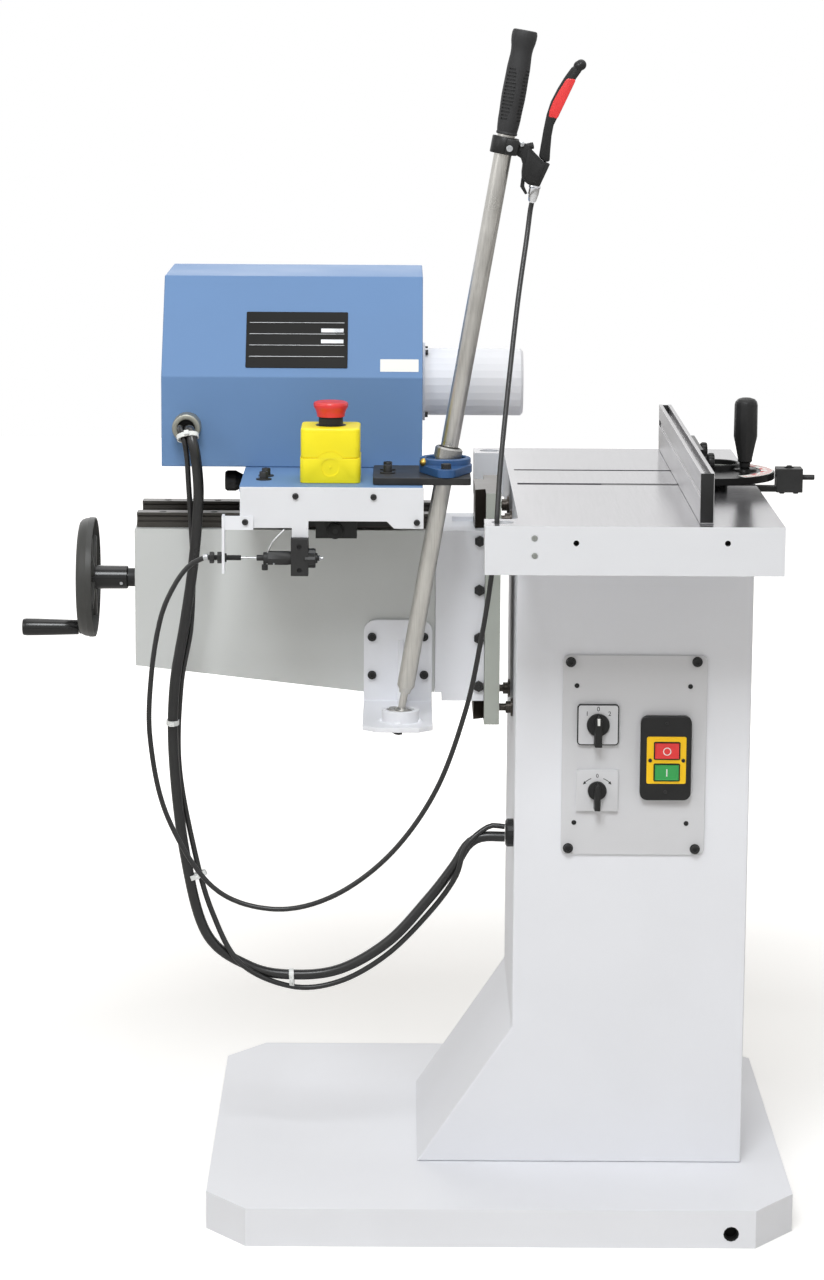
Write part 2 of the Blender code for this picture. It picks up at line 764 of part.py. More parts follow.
def make_base():
    outline = [(BASE_CHAMFER_X - BASE_HALF_X, -BASE_HALF_Y), (BASE_HALF_X - BASE_CHAMFER_X, -BASE_HALF_Y),
               (BASE_HALF_X, BASE_CHAMFER_Y - BASE_HALF_Y), (BASE_HALF_X, BASE_HALF_Y - BASE_CHAMFER_Y),
               (BASE_HALF_X - BASE_CHAMFER_X, BASE_HALF_Y), (BASE_CHAMFER_X - BASE_HALF_X, BASE_HALF_Y),
               (-BASE_HALF_X, BASE_HALF_Y - BASE_CHAMFER_Y), (-BASE_HALF_X, BASE_CHAMFER_Y - BASE_HALF_Y)]
    base = prism("base_plinth", outline, "Z", 0, BASE_HEIGHT)
    cut(base, prism("hollow", inset(outline, BASE_WALL), "Z", -OVERRUN, BASE_HEIGHT - BASE_WALL))
    cut(base, rod("lifting hole", "Y", (BASE_HALF_X - BASE_HOLE_INSET, BASE_HOLE_Z), BASE_HOLE_R,
                  -BASE_HALF_Y - OVERRUN, BASE_WALL + OVERRUN - BASE_HALF_Y, SMALL))
    middle = BASE_WALL / 2
    top = BASE_HEIGHT - middle
    join(base, block("long rib", (middle - BASE_HALF_X, -BASE_WALL, 0),
                     (BASE_HALF_X - middle, BASE_WALL, top)))
    join(base, block("cross rib", (-BASE_WALL, middle - BASE_HALF_Y, 0),
                     (BASE_WALL, BASE_HALF_Y - middle, top)))
    finish(base, GREY_PAINT)


def make_column():
    bottom = BASE_HEIGHT + GAP
    top = TABLE_TOP - TABLE_SKIRT - GAP
    outline = [(FLARE_LEFT, bottom), (COLUMN_RIGHT, bottom), (COLUMN_RIGHT, top),
               (COLUMN_LEFT, top), (COLUMN_LEFT, FLARE_TOP)]
    column = prism("column", outline, "Y", -COLUMN_HALF_Y, COLUMN_HALF_Y)
    inside = inset(outline, COLUMN_WALL)
    slope = (FLARE_TOP - bottom) / (COLUMN_LEFT - FLARE_LEFT)
    drop = COLUMN_WALL + OVERRUN
    inside[0] = (inside[0][0] - drop / slope, inside[0][1] - drop)
    inside[1] = (inside[1][0], inside[1][1] - drop)
    cut(column, prism("hollow", inside, "Y", COLUMN_WALL - COLUMN_HALF_Y, COLUMN_HALF_Y - COLUMN_WALL))
    cut(column, rod("cable hole", "X", (COLUMN_GLAND_Y, COLUMN_GLAND_Z), COLUMN_GLAND_BORE,
                    COLUMN_LEFT - OVERRUN, COLUMN_LEFT + COLUMN_WALL + OVERRUN, COARSE))
    finish(column, GREY_PAINT)


def make_table():
    ear_inner = TABLE_HALF_Y - EAR_WIDTH
    outline = [(TABLE_LEFT, -TABLE_HALF_Y), (TABLE_RIGHT, -TABLE_HALF_Y), (TABLE_RIGHT, TABLE_HALF_Y),
               (TABLE_LEFT, TABLE_HALF_Y), (TABLE_LEFT, ear_inner)]
    outline += arc((TABLE_RECESS - EAR_FILLET, ear_inner - EAR_FILLET), EAR_FILLET, 90, 0, 4)
    outline += arc((TABLE_RECESS - EAR_FILLET, EAR_FILLET - ear_inner), EAR_FILLET, 0, -90, 4)
    outline += [(TABLE_LEFT, -ear_inner)]
    bottom = TABLE_TOP - TABLE_SKIRT
    table = prism("table", outline, "Z", bottom, TABLE_TOP)
    reach = (TABLE_RECESS + TABLE_WALL, TABLE_RIGHT - TABLE_WALL)
    for rib_low, rib_high in ((TABLE_WALL - TABLE_HALF_Y, -COLUMN_HALF_Y),
                              (TABLE_RIB - COLUMN_HALF_Y, -TABLE_RIB / 2),
                              (TABLE_RIB / 2, COLUMN_HALF_Y - TABLE_RIB),
                              (COLUMN_HALF_Y, TABLE_HALF_Y - TABLE_WALL)):
        cut(table, block("bay", (reach[0], rib_low, bottom - OVERRUN),
                         (reach[1], rib_high, TABLE_TOP - TABLE_THICK)))
    for side in (-1, 1):
        cut(table, rod("ear hole", "Z", (EAR_HOLE_X, side * (TABLE_HALF_Y - EAR_HOLE_INSET)), EAR_HOLE_R,
                       bottom - OVERRUN, TABLE_TOP + OVERRUN))
    floor = TABLE_TOP - SLOT_DEPTH
    cut(table, block("mitre slot", (SLOT_START, SLOT_Y - SLOT_WIDTH / 2, floor),
                     (TABLE_RIGHT + OVERRUN, SLOT_Y + SLOT_WIDTH / 2, TABLE_TOP + OVERRUN)))
    cut(table, block("clamp slot", (SLOT_START, CLAMP_SLOT_Y - CLAMP_SLOT_WIDTH / 2, floor),
                     (TABLE_RIGHT + OVERRUN, CLAMP_SLOT_Y + CLAMP_SLOT_WIDTH / 2, TABLE_TOP + OVERRUN)))
    finish(table, GROUND_IRON)


def dovetail_width(x, slack=0.0):
    """Half the way's dovetail width at one X, with slack added square to Y."""
    slope = (DOVETAIL_TIP - DOVETAIL_NECK) / (WAY_LEFT - DOVETAIL_LEFT)
    return DOVETAIL_NECK + (WAY_LEFT - x) * slope + slack


def make_way():
    outline = [(WAY_RIGHT, -WAY_HALF_Y), (WAY_RIGHT, WAY_HALF_Y), (WAY_LEFT, WAY_HALF_Y),
               (WAY_LEFT, DOVETAIL_NECK), (DOVETAIL_LEFT, DOVETAIL_TIP),
               (DOVETAIL_LEFT, -DOVETAIL_TIP), (WAY_LEFT, -DOVETAIL_NECK), (WAY_LEFT, -WAY_HALF_Y)]
    way = prism("lift_way", outline, "Z", WAY_BOTTOM, TABLE_TOP - GAP)
    nut_low = NUT_BRACKET_Z - NUT_BRACKET_HEIGHT / 2
    nut_high = NUT_BRACKET_Z + NUT_BRACKET_HEIGHT / 2
    join(way, block("nut bracket", (NUT_BRACKET_LEFT, -NUT_BRACKET_HALF_Y, nut_low),
                    (DOVETAIL_LEFT + OVERRUN, NUT_BRACKET_HALF_Y, nut_high)))
    cut(way, rod("screw hole", "Z", (SCREW_X, 0), SCREW_R + RUNNING_GAP,
                 nut_low - OVERRUN, nut_high + OVERRUN, COARSE))
    for side in (-1, 1):
        for height in (JACK_LOW_Z, JACK_HIGH_Z):
            face = COLUMN_LEFT if height < TABLE_TOP - TABLE_SKIRT else TABLE_RECESS
            face -= GAP
            collar = face - JACK_WASHER_LENGTH
            nut = collar - JACK_NUT_LENGTH
            start = WAY_RIGHT - OVERRUN
            profile = [(0, start), (JACK_R, start), (JACK_R, nut), (JACK_NUT_R, nut),
                       (JACK_NUT_R, collar), (JACK_WASHER_R, collar), (JACK_WASHER_R, face), (0, face)]
            join(way, turned("jack bolt", "X", (side * JACK_Y, height), profile, SMALL))
    finish(way, OILY_IRON)


# Rising parts: saddle, gib, arm, rails and the lever's foot bracket

def make_saddle(lift):
    seat = WAY_LEFT - GAP
    tip = DOVETAIL_LEFT - GAP
    far_slack = GAP
    near_slack = GIB_THICK + 2 * GAP
    outline = [(SADDLE_LEFT, -SADDLE_HALF_Y), (seat, -SADDLE_HALF_Y),
               (seat, -dovetail_width(seat, near_slack)), (tip, -dovetail_width(tip, near_slack)),
               (tip, dovetail_width(tip, far_slack)), (seat, dovetail_width(seat, far_slack)),
               (seat, SADDLE_HALF_Y), (SADDLE_LEFT, SADDLE_HALF_Y)]
    saddle = prism("lift_saddle", outline, "Z", SADDLE_BOTTOM, SADDLE_TOP)
    inner = SADDLE_LEFT + SADDLE_WALL
    cut(saddle, block("screw pocket", (inner, -POCKET_HALF_Y, SADDLE_BOTTOM - OVERRUN),
                      (tip + OVERRUN, POCKET_HALF_Y, SADDLE_TOP - POCKET_ROOF)))
    cut(saddle, block("top recess", (RECESS_LEFT, -RECESS_HALF_Y, SADDLE_TOP - RECESS_DEPTH),
                      (WAY_LEFT + OVERRUN, RECESS_HALF_Y, SADDLE_TOP + OVERRUN)))
    step_top = SADDLE_BOTTOM + SADDLE_STEP
    cut(saddle, block("bottom step", (SADDLE_LEFT - OVERRUN, -SADDLE_HALF_Y - OVERRUN,
                                      SADDLE_BOTTOM - OVERRUN),
                      (SADDLE_STEP_LEFT, SADDLE_HALF_Y + OVERRUN, step_top)))
    cut(saddle, rod("shaft hole", "X", (0, SHAFT_Z), SHAFT_R + RUNNING_GAP,
                    SADDLE_LEFT - OVERRUN, inner + OVERRUN, COARSE))
    finish(saddle, GREY_PAINT, lift)


def make_gib(lift):
    seat = WAY_LEFT - GAP
    tip = DOVETAIL_LEFT
    outline = [(seat, -dovetail_width(seat, GAP)), (tip, -dovetail_width(tip, GAP)),
               (tip, -dovetail_width(tip, GAP + GIB_THICK)), (seat, -dovetail_width(seat, GAP + GIB_THICK))]
    gib = prism("gib_strip", outline, "Z", SADDLE_BOTTOM + SADDLE_STEP, SADDLE_TOP)
    finish(gib, STEEL, lift)


def make_arm(lift):
    right = SADDLE_LEFT - GAP
    outline = [(ARM_LEFT, ARM_END_BOTTOM), (ARM_KNEE, ARM_BOTTOM), (right, ARM_BOTTOM),
               (right, ARM_TOP), (ARM_LEFT, ARM_TOP)]
    arm = prism("arm", outline, "Y", -ARM_HALF_Y, ARM_HALF_Y)
    inside = inset(outline, ARM_WALL)
    reach = ARM_WALL + OVERRUN
    inside[2] = (inside[2][0] + reach, inside[2][1])
    inside[3] = (inside[3][0] + reach, inside[3][1])
    cut(arm, prism("hollow", inside, "Y", ARM_WALL - ARM_HALF_Y, ARM_HALF_Y - ARM_WALL))
    join(arm, rod("bush", "X", (0, SHAFT_Z), BUSH_R, BUSH_LEFT, ARM_LEFT + OVERRUN))
    cut(arm, rod("shaft hole", "X", (0, SHAFT_Z), SHAFT_R + RUNNING_GAP,
                 BUSH_LEFT - OVERRUN, ARM_LEFT + ARM_WALL + OVERRUN, COARSE))
    finish(arm, GREY_PAINT, lift)


def shaped(radius, low, high, shares):
    """Points of a turned shape, from shares of its length paired with shares of its radius."""
    return [(radius * wide, low + (high - low) * along) for along, wide in shares]


def rail_outline(middle, bottom, width, height):
    """The waisted section of a profiled linear rail."""
    half, waist = width / 2, width / 2 * RAIL_WAIST_SHARE
    halves = (half, half, waist, waist, half, half)
    right = [(middle + out, bottom + height * share) for out, share in zip(halves, RAIL_LEVEL_SHARES)]
    left = [(middle - out, bottom + height * share) for out, share in zip(halves, RAIL_LEVEL_SHARES)]
    return right + left[::-1]


def carriage_outline(middle, rail_bottom, rail_width, rail_height, width, low, top):
    """A carriage's section: a block with a channel that clears the rail."""
    half = width / 2
    channel = rail_width / 2 + RUNNING_GAP
    roof = rail_bottom + rail_height + RUNNING_GAP
    return [(middle - half, low), (middle - channel, low), (middle - channel, roof),
            (middle + channel, roof), (middle + channel, low), (middle + half, low),
            (middle + half, top), (middle - half, top)]


def make_lower_rails(lift, plunge):
    bottom = ARM_TOP + GAP
    for name, side in (("front", -1), ("rear", 1)):
        section = rail_outline(side * RAIL_Y, bottom, RAIL_WIDTH, RAIL_HEIGHT)
        rail = prism(f"rail_{name}", section, "X", RAIL_LEFT, RAIL_RIGHT)
        finish(rail, RAIL_STEEL, lift)
        section = carriage_outline(side * RAIL_Y, bottom, RAIL_WIDTH, RAIL_HEIGHT, CARRIAGE_WIDTH,
                                   bottom + CARRIAGE_LIFT, CARRIAGE_TOP)
        carriage = prism(f"carriage_{name}", section, "X", CARRIAGE_X - CARRIAGE_LENGTH / 2,
                         CARRIAGE_X + CARRIAGE_LENGTH / 2)
        finish(carriage, BLACK_STEEL, plunge)


def make_lever_bracket(lift):
    back = -ARM_HALF_Y - GAP
    face = back - BRACKET_THICK
    upright = arc((BRACKET_RIGHT - BRACKET_CORNER, BRACKET_TOP - BRACKET_CORNER), BRACKET_CORNER, 0, 90, 4)
    upright += arc((BRACKET_LEFT + BRACKET_CORNER, BRACKET_TOP - BRACKET_CORNER), BRACKET_CORNER, 90, 180, 4)
    upright += [(BRACKET_LEFT, BRACKET_BOTTOM), (BRACKET_RIGHT, BRACKET_BOTTOM)]
    bracket = prism("lever_bracket", upright, "Y", face, back)
    shelf_top = BRACKET_BOTTOM + BRACKET_FLANGE
    reach = BRACKET_RIGHT - BRACKET_LEFT
    shelf = [(BRACKET_LEFT, face + BRACKET_THICK / 2), (BRACKET_LEFT, BRACKET_FRONT + BRACKET_CORNER),
             (BRACKET_LEFT + reach / 5, BRACKET_FRONT), (BRACKET_RIGHT - reach / 5, BRACKET_FRONT),
             (BRACKET_RIGHT, BRACKET_FRONT + BRACKET_CORNER), (BRACKET_RIGHT, face + BRACKET_THICK / 2)]
    join(bracket, prism("shelf", shelf, "Z", BRACKET_BOTTOM, shelf_top))
    rib = [(face + BRACKET_THICK / 2, shelf_top - BRACKET_FLANGE / 2),
           (BRACKET_RIB_FRONT, shelf_top - BRACKET_FLANGE / 2),
           (BRACKET_RIB_FRONT, shelf_top), (face + BRACKET_THICK / 2, BRACKET_RIB_TOP)]
    join(bracket, prism("rib", rib, "X", FOOT_X - BRACKET_RIB / 2, FOOT_X + BRACKET_RIB / 2))
    join(bracket, rod("boss", "Z", (FOOT_X, LEVER_Y), FOOT_BOSS_R, shelf_top - BRACKET_FLANGE / 2,
                      FOOT_BOSS_TOP))
    cut(bracket, rod("swivel bore", "Z", (FOOT_X, LEVER_Y), FOOT_BORE, BRACKET_BOTTOM - OVERRUN,
                     FOOT_BOSS_TOP + OVERRUN))
    finish(bracket, GREY_PAINT, lift)


# Lift drive: handwheel, shaft, bevel gears and screw

def make_handwheel(wheel):
    rim_x = WHEEL_LEFT + WHEEL_RIM_TUBE
    ring_r = WHEEL_R - WHEEL_RIM_TUBE
    rim = [(ring_r + WHEEL_RIM_TUBE * math.cos(a), rim_x + WHEEL_RIM_TUBE * math.sin(a))
           for a in (2 * math.pi * step / 8 for step in range(8))]
    handwheel = turned("handwheel", "X", (0, SHAFT_Z), rim)
    bore = SHAFT_R + GAP
    hub = [(bore, WHEEL_HUB_FACE), (WHEEL_HUB_R - bore / 2, WHEEL_HUB_FACE),
           (WHEEL_HUB_R, WHEEL_HUB_FACE + bore / 2), (WHEEL_HUB_R, BUSH_LEFT - GAP), (bore, BUSH_LEFT - GAP)]
    hub_body = turned("hub", "X", (0, SHAFT_Z), hub, COARSE)
    for spoke in range(WHEEL_SPOKES):
        angle = 2 * math.pi * spoke / WHEEL_SPOKES + math.pi / 2
        bar = rod("spoke", "Z", (0, 0), WHEEL_SPOKE_R, (bore + WHEEL_HUB_R) / 2, ring_r, 8)
        start = Vector((WHEEL_HUB_FACE + WHEEL_HUB_R, 0, 0))
        lean = math.atan2(start.x - rim_x, ring_r - WHEEL_HUB_R)
        bar.data.transform(Matrix.Rotation(-lean, 4, "Y"))
        bar.data.transform(Matrix.Translation(start))
        bar.data.transform(Matrix.Rotation(angle, 4, "X"))
        bar.data.transform(Matrix.Translation((0, 0, SHAFT_Z)))
        join(hub_body, bar)
    join(handwheel, hub_body)
    boss_start = rim_x
    boss = rod("crank boss", "X", (0, SHAFT_Z - CRANK_RADIUS), WHEEL_BOSS_R, CRANK_RIGHT + GAP, boss_start,
               COARSE)
    join(handwheel, boss)
    pin_end = CRANK_LEFT + CRANK_R
    join(handwheel, rod("crank pin", "X", (0, SHAFT_Z - CRANK_RADIUS), CRANK_PIN_R, pin_end, boss_start,
                        SMALL))
    finish(handwheel, BLACK_PLASTIC, wheel, (WHEEL_HUB_FACE, 0, SHAFT_Z))


def make_crank_handle(wheel):
    crank = frame("crank_frame", (CRANK_RIGHT, 0, SHAFT_Z - CRANK_RADIUS), wheel)
    bore = CRANK_PIN_R + GAP
    deep = CRANK_LEFT + CRANK_R - GAP
    profile = [(0, CRANK_LEFT), *shaped(CRANK_R, CRANK_LEFT, CRANK_RIGHT, CRANK_SHAPE_SHARES),
               (bore, CRANK_RIGHT), (bore, deep), (0, deep)]
    handle = turned("crank_handle", "X", (0, SHAFT_Z - CRANK_RADIUS), profile, COARSE)
    finish(handle, BLACK_PLASTIC, crank, (CRANK_RIGHT, 0, SHAFT_Z - CRANK_RADIUS))


def make_drive(wheel, screw):
    pinion_left = PINION_RIGHT - PINION_LENGTH
    taper = PINION_R - PINION_LENGTH / 4
    shaft = [(0, WHEEL_HUB_FACE - GAP), (SHAFT_R, WHEEL_HUB_FACE - GAP), (SHAFT_R, pinion_left),
             (PINION_R, pinion_left), (taper, PINION_RIGHT), (0, PINION_RIGHT)]
    finish(turned("drive_shaft", "X", (0, SHAFT_Z), shaft, COARSE), STEEL, wheel, (PINION_RIGHT, 0, SHAFT_Z))
    gear_top = SHAFT_Z - PINION_R - GAP
    profile = [(0, SCREW_BOTTOM), (SCREW_R, SCREW_BOTTOM), (SCREW_R, GEAR_BOTTOM),
               (GEAR_HUB_R, GEAR_BOTTOM), (GEAR_R, (GEAR_BOTTOM + gear_top) / 2), (GEAR_R, gear_top),
               (0, gear_top)]
    lower = turned("lift_screw", "Z", (SCREW_X, 0), profile, COARSE)
    finish(lower, STEEL, screw, (SCREW_X, 0, SCREW_BOTTOM))


# Plunging parts: slide plate, cross rails and depth stop

def make_slide_plate(plunge):
    low = CARRIAGE_TOP + GAP
    plate = block("slide_plate", (PLATE_LEFT, -PLATE_HALF_Y, low), (PLATE_RIGHT, PLATE_HALF_Y, PLATE_TOP))
    finish(soften(plate, BASE_WALL / 4), CASTING, plunge)
    bottom = PLATE_TOP + GAP
    for name, middle in (("left", CROSS_RAIL_LEFT_X), ("right", CROSS_RAIL_RIGHT_X)):
        section = rail_outline(middle, bottom, CROSS_RAIL_WIDTH, CROSS_RAIL_HEIGHT)
        rail = prism(f"cross_rail_{name}", section, "Y", -CROSS_RAIL_HALF, CROSS_RAIL_HALF)
        finish(rail, RAIL_STEEL, plunge)


def make_cross_carriages(cross):
    bottom = PLATE_TOP + GAP
    for name, middle in (("left", CROSS_RAIL_LEFT_X), ("right", CROSS_RAIL_RIGHT_X)):
        section = carriage_outline(middle, bottom, CROSS_RAIL_WIDTH, CROSS_RAIL_HEIGHT,
                                   CROSS_CARRIAGE_WIDTH, bottom + CROSS_CARRIAGE_LIFT, CROSS_CARRIAGE_TOP)
        carriage = prism(f"cross_carriage_{name}", section, "Y",
                         CROSS_CARRIAGE_Y - CROSS_CARRIAGE_LENGTH / 2,
                         CROSS_CARRIAGE_Y + CROSS_CARRIAGE_LENGTH / 2)
        finish(carriage, BLACK_STEEL, cross)


def make_depth_stop(plunge):
    stop = block("depth_stop", (STOP_LEFT, STOP_FRONT, STOP_BOTTOM),
                 (STOP_RIGHT, STOP_BACK, CARRIAGE_TOP))
    nose = STOP_FRONT - STOP_BUMPER_LENGTH
    profile = [(0, nose), (STOP_BUMPER_R * 3 / 4, nose), (STOP_BUMPER_R, nose + STOP_BUMPER_LENGTH / 2),
               (STOP_BUMPER_R, STOP_FRONT + OVERRUN), (0, STOP_FRONT + OVERRUN)]
    join(stop, turned("bumper", "Y", (STOP_BUMPER_X, STOP_BUMPER_Z), profile, COARSE))
    finish(stop, BLACK_STEEL, plunge)


def make_slide_lock(cross):
    lock = frame("slide_lock_frame", (LOCK_RIGHT, LOCK_Y, LOCK_Z), cross)
    stem_end = CROSS_RAIL_LEFT_X - CROSS_CARRIAGE_WIDTH / 2 - GAP
    profile = [(0, LOCK_LEFT), *shaped(LOCK_R, LOCK_LEFT, LOCK_RIGHT, LOCK_SHAPE_SHARES),
               (LOCK_STEM_R, LOCK_RIGHT), (LOCK_STEM_R, stem_end), (0, stem_end)]
    knob = turned("slide_lock_knob", "X", (LOCK_Y, LOCK_Z), profile, COARSE)
    finish(knob, BLACK_PLASTIC, lock, (LOCK_RIGHT, LOCK_Y, LOCK_Z))


# Crossing parts: head plate, cover, housing, motor and guard

def make_head_plate(cross):
    low = CROSS_CARRIAGE_TOP + GAP
    outline = rounded((HEAD_LEFT, HEAD_FRONT), (HEAD_RIGHT, HEAD_BACK), HEAD_CORNER, 2)
    plate = prism("head_plate", outline, "Z", low, HEAD_TOP)
    lever_x = FOOT_X + (HEAD_TOP - FOOT_Z) * math.tan(LEVER_LEAN)
    assert lever_x - LEVER_PLATE_HOLE / 2 > HEAD_RIGHT
    finish(plate, BLUE_PAINT, cross)


def make_front_cover(cross):
    back = HEAD_FRONT - GAP
    chamfer = COVER_CUT_TOP - COVER_BOTTOM
    outline = [(COVER_LEFT, COVER_BOTTOM), (COVER_TAB_LEFT, COVER_BOTTOM), (COVER_TAB_LEFT, COVER_TAB_BOTTOM),
               (COVER_TAB_RIGHT, COVER_TAB_BOTTOM), (COVER_TAB_RIGHT, COVER_CUT_TOP),
               (COVER_CUT_RIGHT, COVER_CUT_TOP), (COVER_CUT_RIGHT + chamfer, COVER_BOTTOM),
               (COVER_RIGHT, COVER_BOTTOM), (COVER_RIGHT, HEAD_TOP), (COVER_LEFT, HEAD_TOP)]
    cover = prism("front_cover", outline, "Y", back - COVER_THICK, back)
    finish(cover, GREY_PAINT, cross)


def make_housing(cross):
    bottom = HEAD_TOP + GAP
    outline = [(HOUSING_FRONT, bottom), (HOUSING_BACK, bottom), (HOUSING_BACK, HOUSING_TOP),
               (HOUSING_TOP_FRONT, HOUSING_TOP), (HOUSING_FRONT, HOUSING_BREAK_Z)]
    housing = prism("motor_housing", outline, "X", HOUSING_LEFT, HOUSING_RIGHT)
    inside = inset(outline, HOUSING_WALL)
    drop = HOUSING_WALL + OVERRUN
    inside[0] = (inside[0][0], inside[0][1] - drop)
    inside[1] = (inside[1][0], inside[1][1] - drop)
    cut(housing, prism("hollow", inside, "X", HOUSING_LEFT + HOUSING_WALL, HOUSING_RIGHT - HOUSING_WALL))
    cut(housing, rod("spindle mouth", "X", (0, SPINDLE_Z), HOUSING_MOUTH_R,
                     HOUSING_RIGHT - HOUSING_WALL - OVERRUN, HOUSING_RIGHT + OVERRUN))
    cut(housing, rod("cable hole", "Y", (GLAND_X, GLAND_Z), GLAND_NUT_R * 3 / 4,
                     HOUSING_FRONT - OVERRUN, HOUSING_FRONT + HOUSING_WALL + OVERRUN, COARSE))
    finish(housing, BLUE_PAINT, cross)


def make_motor(cross):
    low = HEAD_TOP + GAP
    nose = MOTOR_NOSE_RIGHT
    profile = [(0, MOTOR_LEFT), *shaped(MOTOR_R, MOTOR_LEFT, MOTOR_RIGHT, MOTOR_SHAPE_SHARES),
               (MOTOR_NOSE_R, MOTOR_RIGHT), (MOTOR_NOSE_R, nose), (0, nose)]
    motor = turned("motor", "X", (0, SPINDLE_Z), profile, COARSE)
    foot = [(-MOTOR_FOOT_HALF_Y, low), (MOTOR_FOOT_HALF_Y, low), (MOTOR_FOOT_HALF_Y, low + MOTOR_FOOT_HEIGHT),
            (MOTOR_R / 2, SPINDLE_Z - MOTOR_R * 3 / 4), (-MOTOR_R / 2, SPINDLE_Z - MOTOR_R * 3 / 4),
            (-MOTOR_FOOT_HALF_Y, low + MOTOR_FOOT_HEIGHT)]
    join(motor, prism("feet", foot, "X", MOTOR_FOOT_LEFT, MOTOR_FOOT_RIGHT))
    finish(motor, BLACK_STEEL, cross)


def make_guard_and_chuck(cross, spindle):
    start = HOUSING_RIGHT + GAP
    profile = [(GUARD_BORE, start), (GUARD_FLANGE_R, start), (GUARD_FLANGE_R, start + GUARD_FLANGE),
               (GUARD_R, start + GUARD_FLANGE), (GUARD_R, GUARD_RIGHT - GUARD_RIM / 2),
               (GUARD_R - GUARD_RIM / 2, GUARD_RIGHT), (GUARD_RIM_R - GUARD_RIM / 3, GUARD_RIGHT),
               (GUARD_BORE, GUARD_RIGHT - GUARD_RIM)]
    guard = turned("spindle_guard", "X", (0, SPINDLE_Z), profile)
    finish(guard, GREY_PAINT, cross)
    hub_left = MOTOR_NOSE_RIGHT + GAP
    nose = CHUCK_RIGHT - CHUCK_NOSE_LENGTH
    bore_end = CHUCK_RIGHT - CHUCK_BORE_DEPTH
    profile = [(0, hub_left), (CHUCK_HUB_R, hub_left), (CHUCK_HUB_R, CHUCK_LEFT + CHUCK_HUB_R),
               (CHUCK_R, CHUCK_LEFT + CHUCK_R), (CHUCK_R, nose), (CHUCK_NOSE_R, CHUCK_RIGHT),
               (CHUCK_BORE, CHUCK_RIGHT), (CHUCK_BORE, bore_end), (0, bore_end)]
    chuck = turned("chuck", "X", (0, SPINDLE_Z), profile, COARSE)
    finish(chuck, STEEL, spindle, (CHUCK_RIGHT, 0, SPINDLE_Z))


def make_housing_gland(cross):
    back = HOUSING_FRONT - GAP
    collar = back - GLAND_COLLAR
    centre = (GLAND_X, GLAND_Z)
    gland = turned("housing_gland", "Y", centre,
                   [(0, back), (GLAND_R, back), (GLAND_R, collar), (GLAND_NUT_R, collar - GAP),
                    (GLAND_NUT_R - GLAND_CHAMFER, GLAND_FRONT), (0, GLAND_FRONT)], COARSE)
    finish(gland, BLACK_PLASTIC, cross)


# Lever plate, flange bearing and its swivelling insert

def make_lever_plate(cross):
    low = HEAD_TOP + GAP
    outline = rounded((LEVER_PLATE_LEFT, LEVER_PLATE_FRONT), (LEVER_PLATE_RIGHT, LEVER_PLATE_BACK),
                      LEVER_PLATE_THICK / 2, 2)
    plate = prism("lever_plate", outline, "Z", low, low + LEVER_PLATE_THICK)
    cut(plate, rod("lever hole", "Z", (bearing_x(), LEVER_Y), LEVER_PLATE_HOLE, low - OVERRUN,
                   low + LEVER_PLATE_THICK + OVERRUN))
    finish(plate, BLACK_STEEL, cross)


def bearing_x():
    """Where the leaning lever passes the height of the flange bearing."""
    return FOOT_X + (BEARING_Z - FOOT_Z) * math.tan(LEVER_LEAN)


def make_bearing_flange(cross):
    low = HEAD_TOP + LEVER_PLATE_THICK + 2 * GAP
    middle = bearing_x()
    reach = BEARING_LENGTH / 2 - BEARING_LOBE_R
    waist = BEARING_WIDTH / 2
    outline = arc((middle, LEVER_Y), waist, -35, 35, 6)
    outline += arc((middle, LEVER_Y + reach), BEARING_LOBE_R, 30, 150, 5)
    outline += arc((middle, LEVER_Y), waist, 145, 215, 6)
    outline += arc((middle, LEVER_Y - reach), BEARING_LOBE_R, 210, 330, 5)
    flange = prism("bearing_flange", outline, "Z", low, low + BEARING_FOOT)
    top = low + BEARING_HEIGHT
    dome = [(0, low + BEARING_FOOT / 2), (BEARING_BOSS_R, low + BEARING_FOOT / 2),
            (BEARING_BOSS_R, top - BEARING_FOOT / 4), (BEARING_BOSS_R - BEARING_FOOT / 4, top), (0, top)]
    for side in (-1, 1):
        spot = (middle, LEVER_Y + side * BEARING_BOLT_Y)
        join(flange, rod("bolt head", "Z", spot, BEARING_BOLT_R, low + BEARING_FOOT / 2,
                         low + BEARING_FOOT + BEARING_BOLT_R, 6))
    join(flange, turned("boss", "Z", (middle, LEVER_Y), dome))
    cut(flange, rod("seat", "Z", (middle, LEVER_Y), BEARING_BORE, low - OVERRUN, top + OVERRUN))
    finish(flange, BLUE_PAINT, cross)


def ball_arc(radius, half, steps, rising=True):
    """Meridian points of a ball's belt between plus and minus half its height."""
    limit = math.asin(half / radius)
    angles = [-limit + 2 * limit * step / steps for step in range(steps + 1)]
    points = [(radius * math.cos(a), radius * math.sin(a)) for a in angles]
    return points if rising else points[::-1]


def lean_about(piece, place):
    """Set a piece that was made upright at the origin leaning at its place."""
    piece.matrix_world = Matrix.Translation(place) @ Matrix.Rotation(LEVER_LEAN, 4, "Y")


def finish_leaning(piece, look, carrier, place):
    finish(piece, look)
    lean_about(piece, place)
    piece.parent = carrier
    piece.matrix_parent_inverse = carrier.matrix_world.inverted()


